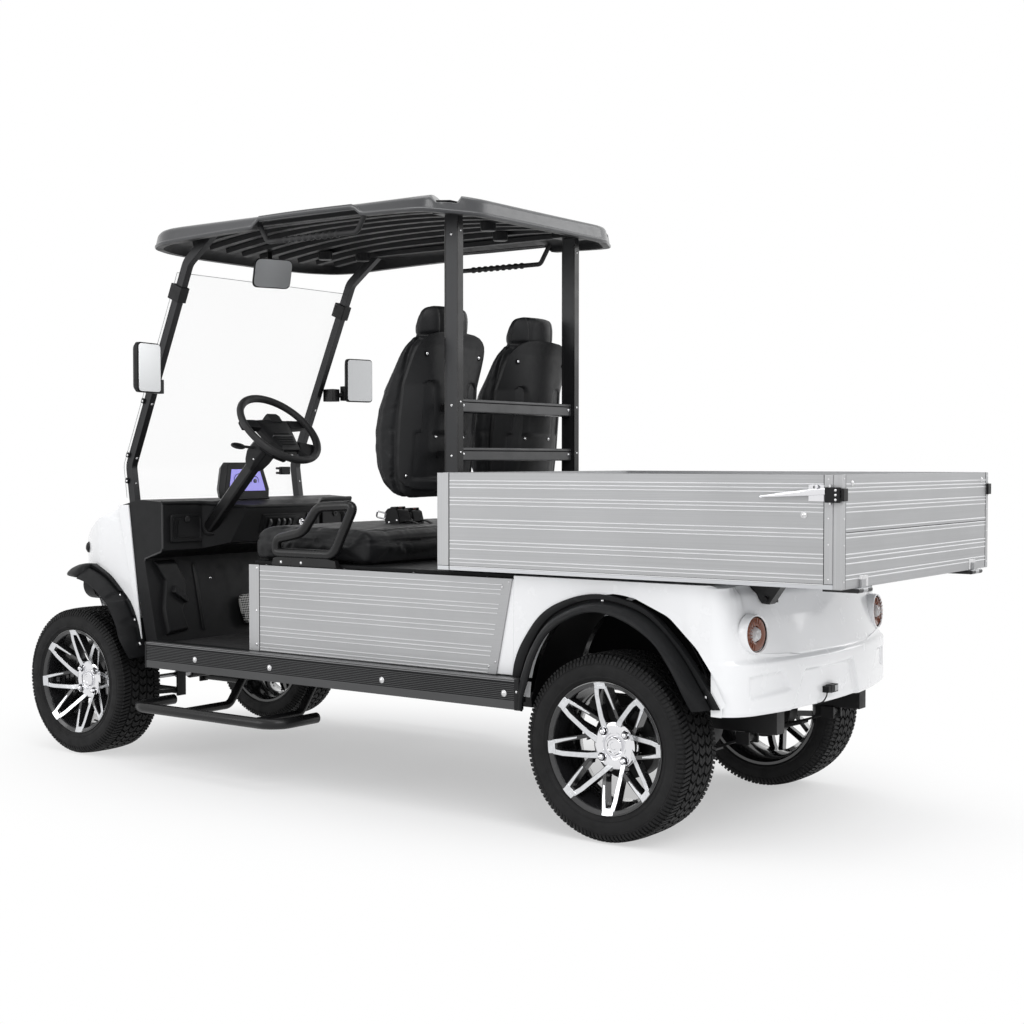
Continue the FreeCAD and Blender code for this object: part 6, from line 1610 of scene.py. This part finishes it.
def dash_lips():
    """The rolled lip along the dash, the toe board's mouldings and small bolts."""
    run = rounded([(2.024, 0.53, 0.9835), (2.02, 0.333, 0.9825), (1.919, 0.205, 0.964), (1.918, 0.0, 0.964),
                   (1.919, -0.205, 0.964), (2.02, -0.333, 0.9825), (2.024, -0.53, 0.9835)], 0.03, 5)
    lip = tube(run, 0.0078, 12)
    side = [(2.0225, 0.985), (2.0205, 0.815), (2.029, 0.8), (2.118, 0.772), (2.122, 0.76)]
    edge = tube([(x, 0.5285, z) for x, z in side], 0.004, 8)
    shelf = tube(rounded([(2.026, 0.528, 0.8115), (2.024, 0.33, 0.8115), (1.962, 0.2, 0.82),
                          (1.962, -0.2, 0.82), (2.024, -0.33, 0.8115), (2.026, -0.528, 0.8115)], 0.02, 4),
                 0.0042, 8)

    def toe(y, z, out=0.004):
        return Vector((2.05 + (z - 0.462) * 0.227 - out, y, z))

    def raised(outline, height, inset):
        cy = sum(y for y, z in outline) / len(outline)
        cz = sum(z for y, z in outline) / len(outline)
        return loft([[toe(cy + (y - cy) * k, cz + (z - cz) * k, out) for y, z in outline]
                     for out, k in ((-0.004, 1.0), (height * 0.35, 0.985), (height, 1 - inset))])

    ridges = [raised([(0.496, 0.762), (0.458, 0.689), (0.49, 0.575), (0.484, 0.478), (0.378, 0.488),
                      (0.396, 0.562), (0.366, 0.61), (0.352, 0.682), (0.388, 0.762)], 0.018, 0.1),
              raised([(0.43, 0.668), (0.36, 0.612), (0.376, 0.592), (0.446, 0.642)], 0.034, 0.16),
              raised([(0.3, 0.745), (0.285, 0.745), (0.285, 0.48), (0.3, 0.48)], 0.006, 0.1)]
    dots = [screw(*toe(0.215, 0.68, 0.0), (-0.97, 0, 0.22), 0.006),
            screw(*toe(-0.215, 0.68, 0.0), (-0.97, 0, 0.22), 0.006)]
    piece("dash_lip", join(lip, shelf), "plastic_fine")
    piece("dash_side_edges", pair(edge), "rail")
    piece("toe_mouldings", pair(join(*ridges)), "plastic_fine", bevel=0.003, angle=30)
    piece("toe_bolts", join(*dots), "bolt")


def instrument():
    """A leaning pod with a plain lit display."""
    def layer(outline, out, grow=1.0, fall=0.0):
        cy, cz = 0.105, 1.06
        face = []
        for y, z in outline:
            zz = cz + (z - cz) * grow
            face.append(Vector((2.004 + (zz - 1.0) * 0.11 - out, cy + (y - cy) * grow, zz - fall)))
        return face

    rim = [(-0.012, 0.994), (0.222, 0.994), (0.227, 1.03), (0.201, 1.126), (0.189, 1.137), (0.022, 1.137),
           (0.01, 1.126), (-0.018, 1.03)]
    body = loft([layer(rim, 0.0055, 0.93), layer(rim, 0.0055, 0.985), layer(rim, 0.0, 1.0),
                 layer(rim, -0.03, 1.0), layer(rim, -0.058, 0.86, 0.004)])
    glass = [(0.204, 1.024), (0.006, 1.024), (0.03, 1.11), (0.182, 1.11)]
    screen = loft([layer(glass, 0.004), layer(glass, 0.007)])
    dials = []
    for y, z, r in ((0.06, 1.062, 0.021), (0.148, 1.066, 0.028)):
        at = Vector((2.004 + (z - 1.0) * 0.11 - 0.0072, y, z))
        dials.append(lathe([(r - 0.0035, 0.0), (r - 0.002, 0.0008), (r, 0.0)], at, (-1, 0, 0), 32))
        dials.append(lathe([(0.0004, 0.0), (0.0004, 0.0006), (r * 0.45, 0.0006), (r * 0.5, 0.0)], at,
                           (-1, 0, 0), 28))
    foot = tube([(1.995, 0.215, 0.9935), (1.995, -0.006, 0.9935)], 0.005, 10)
    piece("pod_body", body, "plastic_fine", bevel=0.0015, angle=30,
          replaces=["instrument_pod"])
    piece("pod_screen", screen, "screen", bevel=0.0006)
    piece("pod_dials", join(*dials), "dial")
    piece("pod_foot_roll", foot, "plastic_fine")


def pedal():
    low = [(-0.008, 0.506), (0.004, 0.494), (0.08, 0.494), (0.092, 0.506), (0.1, 0.54), (0.1, 0.588),
           (0.086, 0.606), (0.006, 0.606), (-0.008, 0.588), (-0.014, 0.55)]

    def x_at(z):
        return 2.0255 + (z - 0.495) * 0.265

    rings = [[Vector((x_at(z) - out, 0.043 + (y - 0.043) * (1 - inset), 0.55 + (z - 0.55) * (1 - inset)))
              for y, z in low] for out, inset in ((-0.012, 0.0), (0.001, 0.0), (0.003, 0.04))]
    foot = prism([(2.034, 0.515), (2.05, 0.59), (2.074, 0.59), (2.06, 0.505)], "Y", 0.022, 0.062)
    hinge = tube([(2.047, 0.0, 0.4935), (2.047, 0.084, 0.4935)], 0.0065, 14)
    piece("pedal_pad_face", loft(rings), "hatch", bevel=0.0006, replaces=["pedals"])
    piece("pedal_foot", join(foot, hinge), "tube", bevel=0.0015)


def cab_fittings():
    armrests()
    steering_wheel()
    column()
    glove_lids()
    switches()
    dash_lips()
    instrument()
    pedal()


# Roof, screen and mirrors

ROOF_HALF = [(0.622, 0.0), (0.6235, 0.2), (0.624, 0.385), (0.717, 0.566), (0.79, 0.5795), (1.3, 0.5795),
             (1.99, 0.56), (2.082, 0.512), (2.134, 0.395), (2.163, 0.2), (2.1645, 0.0)]


def parabola(x, a, b, c):
    """The curve through three (x, z) places."""
    out = 0.0
    for p, q, r in ((a, b, c), (b, a, c), (c, a, b)):
        out += p[1] * (x - q[0]) * (x - r[0]) / ((p[0] - q[0]) * (p[0] - r[0]))
    return out


ROOF_CREST = 2.0555
BLEND = 220.0           # how tightly the roof's two arches meet


def roof_top(x, y):
    """The upper face: the lower of an arch along and an arch across, blended where they meet."""
    along = parabola(x, (0.622, 2.008), (1.25, 2.056), (2.105, 1.988))
    across = 2.06 - 0.062 * (abs(y) / 0.58) ** 2.3
    both = math.exp(-BLEND * (along - 2)) + math.exp(-BLEND * (across - 2))
    return min(ROOF_CREST, -math.log(both) / BLEND + 2)


def roof_low(x, y):
    """The lower edge, raised over the grab handles."""
    low = parabola(x, (0.622, 1.95), (1.3, 1.962), (2.165, 1.938))
    if abs(y) > 0.5 and 0.98 < x < 1.5:
        low += 0.026 * min(1.0, (x - 0.98) / 0.035, (1.5 - x) / 0.035)
    return low


def roof_outline(count=260):
    """The roof's edge seen from above, all the way round in equal steps."""
    corners = [(x, y, 0) for x, y in ROOF_HALF] + [(x, -y, 0) for x, y in ROOF_HALF[-2:0:-1]]
    line = rounded(corners, 0.045, 6, closed=True)
    return even_steps(line + [line[0]], count, count)


def roof():
    edge = roof_outline()

    def inward(p, distance):
        core = Vector((min(1.7, max(1.05, p.x)), 0, 0))
        away = core - p
        return p + away * min(1.0, distance / away.length)

    def notched(p):
        return p.x < 0.705 and 0.462 < abs(p.y) < 0.536

    def ring(inset, level):
        out = []
        for p in edge:
            q = inward(p, inset)
            out.append(Vector((q.x, q.y, level(p, q))))
        return out

    def top(drop, channel=0.0):
        return lambda p, q: roof_top(q.x, q.y) - drop - (channel if notched(p) else 0.0)

    def low(rise):
        return lambda p, q: roof_low(p.x, p.y) + rise

    ceiling = [ring(2.0, top(0.0186)), ring(0.3, top(0.0186)), ring(0.12, top(0.0186)),
               ring(0.05, top(0.022)), ring(0.034, low(0.012)), ring(0.032, low(0.0)),
               ring(0.003, low(0.0))]
    skin = [ring(0.003, low(0.0)), ring(0.0, low(0.003)), ring(0.0, low(0.009)), ring(0.0035, low(0.0115)),
            ring(0.005, low(0.016)), ring(0.009, top(0.018, 0.01)), ring(0.0115, top(0.009, 0.018)),
            ring(0.017, top(0.003, 0.024)), ring(0.026, top(0.0004, 0.026)), ring(0.045, top(0.0, 0.026)),
            ring(0.1, top(0.0, 0.026)), ring(0.18, top(0.0, 0.024)), ring(0.26, top(0.0, 0.02)),
            ring(0.34, top(0.0)), ring(0.42, top(0.0)), ring(2.0, top(0.0))]
    ribs = []
    for index in range(-5, 5):
        y = (index + 0.5) * 0.098
        half = 0.021
        x0, x1 = 0.69, 2.07 - 0.12 * abs(y)
        rows = []
        for k in range(17):
            x = x0 + (x1 - x0) * k / 16
            z = roof_top(x, y) - 0.018
            rows.append([Vector((x, y - half, z)), Vector((x, y - half + 0.006, z - 0.018)),
                         Vector((x, y + half - 0.006, z - 0.018)), Vector((x, y + half, z))])
        ribs.append(loft(rows))
    x = 0.755
    beam = loft([[Vector((x + a, s, roof_top(x, s) - b)) for a, b in
                  ((-0.02, 0.018), (-0.016, 0.03), (0.016, 0.03), (0.02, 0.018))]
                 for s in [0.5 * (k / 8 - 1) for k in range(17)]])
    posts_x = [box(0.712, 0.812, s - 0.055, s + 0.055, 1.97, 1.998) for s in (-REAR_POST_Y, REAR_POST_Y)]
    cups = [lathe([(0.0004, 0.0), (0.03, 0.0), (0.027, -0.034), (0.0004, -0.036)],
                  (x, y, roof_top(x, y) - 0.03), (0, 0, 1), 22, close=False) for x,
            y in ((1.05, -0.3), (0.92, -0.05), (1.86, -0.2), (1.8, -0.36))]
    waves = []
    for s in (-1, 1):
        for k in range(9):
            waves.append(lathe([(0.0088, -0.01), (0.0122, -0.004), (0.0122, 0.004), (0.0088, 0.01)],
                               (1.12 + k * 0.03, s * 0.538, 1.915), (1, 0, 0), 14))
    piece("roof_skin", loft(skin, caps=False), "roof", angle=48, replaces=["roof_canopy"])
    piece("roof_ceiling", loft(ceiling, caps=False), "plastic")
    piece("roof_ribs", join(*ribs, beam), "dash", bevel=0.002)
    piece("roof_post_heads", join(*posts_x, *cups), "plastic_fine", bevel=0.003)
    piece("handle_waves", join(*waves), "grip")


def turned_ring(centre, half_w, half_h, corner, toe, out=0.0, lean=0.0):
    """A rounded rectangle facing back, turned by toe about Z."""
    run = rounded([(0, -half_w, -half_h), (0, half_w, -half_h), (0, half_w, half_h), (0, -half_w, half_h)],
                  corner, 5, closed=True)
    c, s = math.cos(toe), math.sin(toe)
    face = []
    for p in run:
        x, y = -out + p.z * lean, p.y
        face.append(Vector(centre) + Vector((x * c - y * s, x * s + y * c, p.z)))
    return face


def mirrors():
    shells, faces, arms, bolts = [], [], [], []
    for side in (1, -1):
        centre = (2.022, side * 0.588, 1.49)
        toe = side * math.radians(12)
        layers = [(0.004, 0.064, 0.088), (0.0, 0.069, 0.093), (-0.012, 0.069, 0.093), (-0.026, 0.06, 0.084),
                  (-0.034, 0.04, 0.062)]
        shells.append(loft([turned_ring(centre, w, h, 0.018, toe, out) for out, w, h in layers]))
        faces.append(loft([turned_ring(centre, 0.0642, 0.0882, 0.015, toe, out)
                           for out in (0.003, 0.0052)]))
        arms.append(tube(rounded([(2.04, side * 0.58, 1.455), (2.045, side * 0.545, 1.428),
                                  (2.112, side * 0.492, 1.424)], 0.02, 4), 0.011, 12))
        arms.append(box(2.07, 2.128, min(side * 0.471, side * 0.515), max(side * 0.471, side * 0.515),
                        1.398, 1.452))
        arms.append(box(2.044, 2.074, min(side * 0.52, side * 0.552), max(side * 0.52, side * 0.552), 1.402,
                        1.465))
        bolts += [screw(2.044, side * 0.536, z, (-1, 0, 0), 0.0045) for z in (1.414, 1.454)]
        bolts += [screw(2.1, side * 0.515, z, (0, side, 0), 0.0045) for z in (1.41, 1.44)]
    inner = (1.93, 0.03, 1.886)
    layers = [(0.004, 0.076, 0.052), (0.0, 0.08, 0.056), (-0.01, 0.079, 0.055), (-0.02, 0.056, 0.032)]
    toe = math.radians(-22)
    shells.append(loft([turned_ring(inner, w, h, 0.024, toe, out, -0.3) for out, w, h in layers]))
    faces.append(loft([turned_ring(inner, 0.0768, 0.0528, 0.024, toe, out, -0.3)
                       for out in (0.0034, 0.005)]))
    arms.append(tube([(1.945, 0.03, 1.915), (1.955, 0.02, 1.976)], 0.0095, 12))
    piece("mirror_shells", join(*shells), "plastic_fine", replaces=["mirror_housings"])
    piece("mirror_silvers", join(*faces), "mirror", angle=30, replaces=["mirror_glasses"])
    piece("mirror_arms", join(*arms), "tube", bevel=0.003)
    piece("mirror_bolts", join(*bolts), "bolt")


FRONT_POST_Y = 0.455
REAR_POST_Y = 0.352
LEAN_UP, LEAN_BACK = 0.918, 0.397       # the front post's direction


def post_point(z):
    """The front post's centre line at a height."""
    if z < 1.125:
        return 2.258 + (z - 0.97) / 0.155 * 0.022
    return 2.28 - (z - 1.125) / 0.763 * 0.33


def post_fittings():
    """Clips and bolts on the front posts, channels on the rear ones, and the screen's latch."""
    clips, bolts, channel = [], [], []
    lean = Vector((-LEAN_BACK, 0, LEAN_UP))
    z = 1.775
    for s in (1, -1):
        run = []
        for d in (-0.03, 0.03):
            c = Vector((post_point(z), s * FRONT_POST_Y, z)) + lean * d
            run.append([c + Vector((a * LEAN_UP, b, a * LEAN_BACK)) for a, b in
                        ((-0.024, -0.021), (-0.024, 0.021), (0.034, 0.024), (0.034, -0.024))])
        clips.append(loft(run))
    for z in (1.368, 1.16, 1.06):
        x = post_point(z)
        for s in (1, -1):
            c = Vector((x, s * FRONT_POST_Y, z))
            clips.append(loft([[c + lean * d + Vector((a * LEAN_UP, s * b, a * LEAN_BACK)) for a, b in
                                ((0.008, 0.0135), (0.008, 0.022), (0.024, 0.022), (0.024, 0.0135))]
                               for d in (-0.01, 0.01)]))
            bolts.append(dome(c + Vector((-0.017 * LEAN_UP, 0, -0.017 * LEAN_BACK)),
                              (-LEAN_UP, 0, -LEAN_BACK), 0.0052, 0.0034))
            bolts.append(dome(c + Vector((0.012, s * 0.0225, 0.005)), (0, s, 0), 0.0048, 0.0032))
    for s in (1, -1):
        channel.append(box(0.7345, 0.7915, s * REAR_POST_Y - 0.0145, s * REAR_POST_Y - 0.0125, 0.8, 1.945))
        for x0, x1 in ((0.734, 0.7395), (0.7865, 0.792)):
            channel.append(box(x0, x1, s * REAR_POST_Y - 0.0148, s * REAR_POST_Y + 0.0148, 0.8, 1.945))
        for z in (1.16, 1.33, 1.075, 1.905):
            bolts.append(screw(0.763, s * REAR_POST_Y + s * 0.0142, z, (0, s, 0), 0.005))
            bolts.append(screw(0.7338, s * REAR_POST_Y, z + 0.012, (-1, 0, 0), 0.004))
    latch = join(box(2.254, 2.272, -0.4, -0.346, 1.084, 1.118),
                 box(2.256, 2.272, -0.348, -0.326, 1.086, 1.096),
                 box(2.256, 2.272, -0.348, -0.326, 1.106, 1.116))
    piece("post_clips", join(*clips), "shell", bevel=0.0025)
    piece("post_channels", join(*channel), "tube", bevel=0.0006)
    piece("post_bolts", join(*bolts), "bolt")
    piece("screen_latch", latch, "plastic_fine", bevel=0.003)


def screen_edges():
    """The clear pane's polished rim, seen as a thin grey line."""
    path = [(2.283, 1.0), (2.2985, 1.118), (2.297, 1.133), (1.989, 1.85)]
    rim = []
    for s in (1, -1):
        rim.append(tube([(x, s * 0.4762, z) for x, z in path], 0.0011, 6))
    rim.append(tube([(1.9885, -0.476, 1.8515), (1.9885, 0.476, 1.8515)], 0.0011, 6))
    piece("screen_rim", join(*rim), "rim_line")


# Bodywork and lamps

def lamps():
    lips, rings, bulbs, shade_sheets = [], [], [], []
    for s in (1, -1):
        c = (-0.419, s * 0.437, 0.64)
        back = (-1, s * 0.13, 0.05)
        lips.append(lathe([(0.0515, -0.01), (0.052, 0.002), (0.0545, 0.005), (0.057, 0.004),
                           (0.0585, -0.002), (0.06, -0.024)], c, back, 48))
        rings.append(lathe([(0.0004, -0.012), (0.0235, -0.012), (0.025, -0.003), (0.033, 0.0),
                            (0.044, 0.001), (0.049, -0.002), (0.0512, -0.01), (0.0004, -0.02)], c, back, 48,
                           close=False))
        for a in around(20):
            go = Vector((0, math.cos(a), math.sin(a)))
            rings.append(tube([Vector(c) + go * 0.03 + Vector((-0.0008, 0, 0)), Vector(c) + go * 0.047
                               + Vector((-0.0012, 0, 0))], 0.0017, 6))
        bulbs.append(lathe([(0.0004, 0.01), (0.01, 0.0088), (0.018, 0.004), (0.0225, -0.004),
                            (0.0225, -0.012), (0.0004, -0.012)], c, back, 36, close=False))
        for a in around(8):
            bulbs.append(dome(Vector(c) + Vector((-0.006, 0.0125 * math.cos(a), 0.0125 * math.sin(a))),
                              (-1, 0, 0), 0.0038, 0.0026))
        # A near-black ring in the crevice round each lamp: painted shade
        shade_sheets.append(lathe([(0.0508, -0.014), (0.0508, -0.0008), (0.052, 0.0004), (0.0528, -0.004)], c, back,
                          48))
    plate = join(box(-0.5, -0.478, 0.048, 0.096, 0.435, 0.459),
                 box(-0.499, -0.478, 0.096, 0.115, 0.437, 0.457))
    face = box(-0.5012, -0.4995, 0.052, 0.072, 0.438, 0.456)
    lead = tube(smooth_curve([(-0.488, 0.104, 0.4385), (-0.49, 0.11, 0.428), (-0.486, 0.125, 0.412),
                              (-0.47, 0.13, 0.404), (-0.456, 0.128, 0.408)], 6), 0.0023, 8)
    piece("tail_lamp_lips", join(*lips), "white", replaces=["tail_lamps"])
    piece("tail_lamp_rings", join(*rings), "amber")
    piece("tail_lamp_bulbs", join(*bulbs), "lens")
    piece("tail_lamp_rim_shade", join(*shade_sheets), "gap")
    piece("plate_lamp_box", join(plate, lead), "plastic", bevel=0.002)
    piece("plate_lamp_lens", face, "lens", bevel=0.0008)


GRIP_RECESS = [(0.303, 0.468), (0.344, 0.525), (0.483, 0.519), (0.481, 0.457)]
PLATE_RECESS = [(-0.147, 0.38), (-0.075, 0.522), (0.23, 0.519), (0.305, 0.38)]


def depth_in(outline, y, z, soft=0.007):
    """How far inside an outline a place is, 0 to 1 over the soft edge."""
    least = 1.0
    area = sum(a[0] * b[1] - b[0] * a[1] for a, b in zip(outline, outline[1:] + outline[:1]))
    turn = 1 if area > 0 else -1
    for (y0, z0), (y1, z1) in zip(outline, outline[1:] + outline[:1]):
        long = math.hypot(y1 - y0, z1 - z0)
        d = turn * ((y1 - y0) * (z - z0) - (z1 - z0) * (y - y0)) / long
        least = min(least, d / soft)
    t = max(0.0, min(1.0, 0.5 + least * 0.5))
    return t * t * (3 - 2 * t)


def ease(value, a, b):
    t = max(0.0, min(1.0, (value - a) / (b - a)))
    return t * t * (3 - 2 * t)


def front_end(z):
    """Where the tail's side runs under the rear flare."""
    table = [(0.4, -0.366), (0.432, -0.368), (0.44, -0.38), (0.535, -0.33), (0.6, -0.283), (0.686, -0.19),
             (0.74, -0.06), (0.79, -0.04)]
    for (z0, x0), (z1, x1) in zip(table, table[1:]):
        if z <= z1:
            return x0 + (x1 - x0) * (z - z0) / (z1 - z0)
    return table[-1][1]


def tail_skin():
    """The white tail: a wrapped bumper with pressed recesses under a leaning upper face."""
    corner = [Vector((-0.33, 0.5475, 0)), Vector((-0.376, 0.535, 0)), Vector((-0.408, 0.508, 0)),
              Vector((-0.43, 0.47, 0))]
    half = smooth_curve([Vector((-0.27, 0.5492, 0))] + corner + [Vector((-0.4406, 0.43, 0))], 5)[5:]
    back = [Vector((-0.4946 + 0.054 * (y / 0.43) ** 2, y, 0)) for y in [0.43 - 0.86 * k / 120
                                                                        for k in range(1, 120)]]
    plan = half + back + [Vector((p.x, -p.y, 0)) for p in reversed(half)]
    rows = []
    for k in range(76):
        z = 0.4055 + 0.37 * k / 75
        bottom = 0.006 * (1 - ease(z, 0.4055, 0.417)) ** 2
        inset = bottom + 0.016 * ease(z, 0.554, 0.57) + 0.3 * max(0.0, z - 0.572) + 0.022 * ease(z, 0.735,
                                                                                                 0.7755) ** 2
        row = []
        for i, p in enumerate(plan):
            a, b = plan[max(0, i - 1)], plan[min(len(plan) - 1, i + 1)]
            normal = Vector((-(b - a).y, (b - a).x, 0)).normalized()
            weight = min(1.0, abs(normal.x) ** 1.5)
            side = abs(p.y)
            press = max(depth_in(GRIP_RECESS, side, z), depth_in(PLATE_RECESS, p.y, z))
            q = p + normal * ((inset * weight) + 0.0125 * press)
            row.append(Vector((q.x, q.y, z)))
        start = front_end(z)
        first = row[0]
        side = []
        for i in range(7):
            t = i / 7
            side.append(Vector((start + (first.x - start) * t, 0.5494 + (first.y - 0.5494) * t, z)))
        row = side + row + [Vector((v.x, -v.y, v.z)) for v in reversed(side)]
        rows.append(row)
    piece("tail_skin", loft(rows, closed=False, caps=False), "white", angle=60)
    corner = prism([(0.3715, 0.772), (0.406, 0.772), (0.434, 0.645), (0.468, 0.468), (0.3715, 0.468)],
                   "Y", 0.53, 0.5476)
    piece("panel_corner", pair(corner), "white", bevel=0.002)


def liners():
    """Inner arches over the rear wheels, near-black as painted shade."""
    run = spread([(0.29, 0, 0.372), (0.288, 0, 0.415), (0.208, 0, 0.612), (0.003, 0, 0.728),
                  (-0.208, 0, 0.645), (-0.34, 0, 0.425), (-0.346, 0, 0.408)], 40)
    rings = []
    for p in run:
        away = Vector((p.x, 0, p.z - 0.36)).normalized()
        outer = p + away * 0.018
        inner = p + away * 0.015
        rings.append([Vector((inner.x, 0.3, inner.z)), Vector((inner.x, 0.5385, inner.z)),
                      Vector((outer.x, 0.5385, outer.z)), Vector((outer.x, 0.3, outer.z))])
    wall = prism([(p.x, p.z) for p in run if p.z > 0.5], "Y", 0.297, 0.3)
    piece("arch_shade_liners", pair(join(loft(rings), wall)), "gap")


def nose():
    edge = prism([(2.133, 0.455), (2.141, 0.455), (2.262, 0.973), (2.204, 0.975)], "Y", 0.5322, 0.5384)
    piece("cowl_edges", pair(edge), "white", bevel=0.001)
    marker = []
    for s in (1, -1):
        marker.append(lathe([(0.0004, 0.02), (0.012, 0.0185), (0.021, 0.012), (0.025, 0.002),
                             (0.0255, -0.006), (0.0004, -0.006)], (2.513, s * 0.466, 0.8),
                            (0.45, s * 0.88, 0.15), 26, close=False))
    clear, rims, bulbs = [], [], []
    for s in (1, -1):
        c = (2.644, s * 0.345, 0.64)
        clear.append(lathe([(0.0004, 0.006), (0.03, 0.004), (0.05, -0.002), (0.0545, -0.01),
                            (0.0545, -0.03), (0.0004, -0.03)], c, (1, 0, 0), 40, close=False))
        rims.append(lathe([(0.055, -0.06), (0.055, -0.004), (0.0575, -0.001), (0.0579, -0.01),
                           (0.0579, -0.06)], c, (1, 0, 0), 40))
        bulbs.append(lathe([(0.05, -0.032), (0.04, -0.05), (0.016, -0.062), (0.012, -0.062),
                            (0.012, -0.045), (0.0004, -0.04), (0.0004, -0.066), (0.05, -0.066)], c,
                           (1, 0, 0), 36))
    piece("marker_lamps", join(*marker), "plastic_fine")
    piece("headlamp_glass", join(*clear), "lens", replaces=["headlamps"])
    piece("headlamp_rims", join(*rims), "plastic")
    piece("headlamp_bowls", join(*bulbs), "chrome")


def outside():
    roof()
    mirrors()
    post_fittings()
    screen_edges()
    lamps()
    tail_skin()
    liners()
    nose()


wheels()
bed_boards()
tail_board()
latches()
side_panels()
sills()
flares()
seats()
cab_fittings()
outside()
camera()
studio()
scene.view_settings.view_transform = "Standard"
dress_nodes()
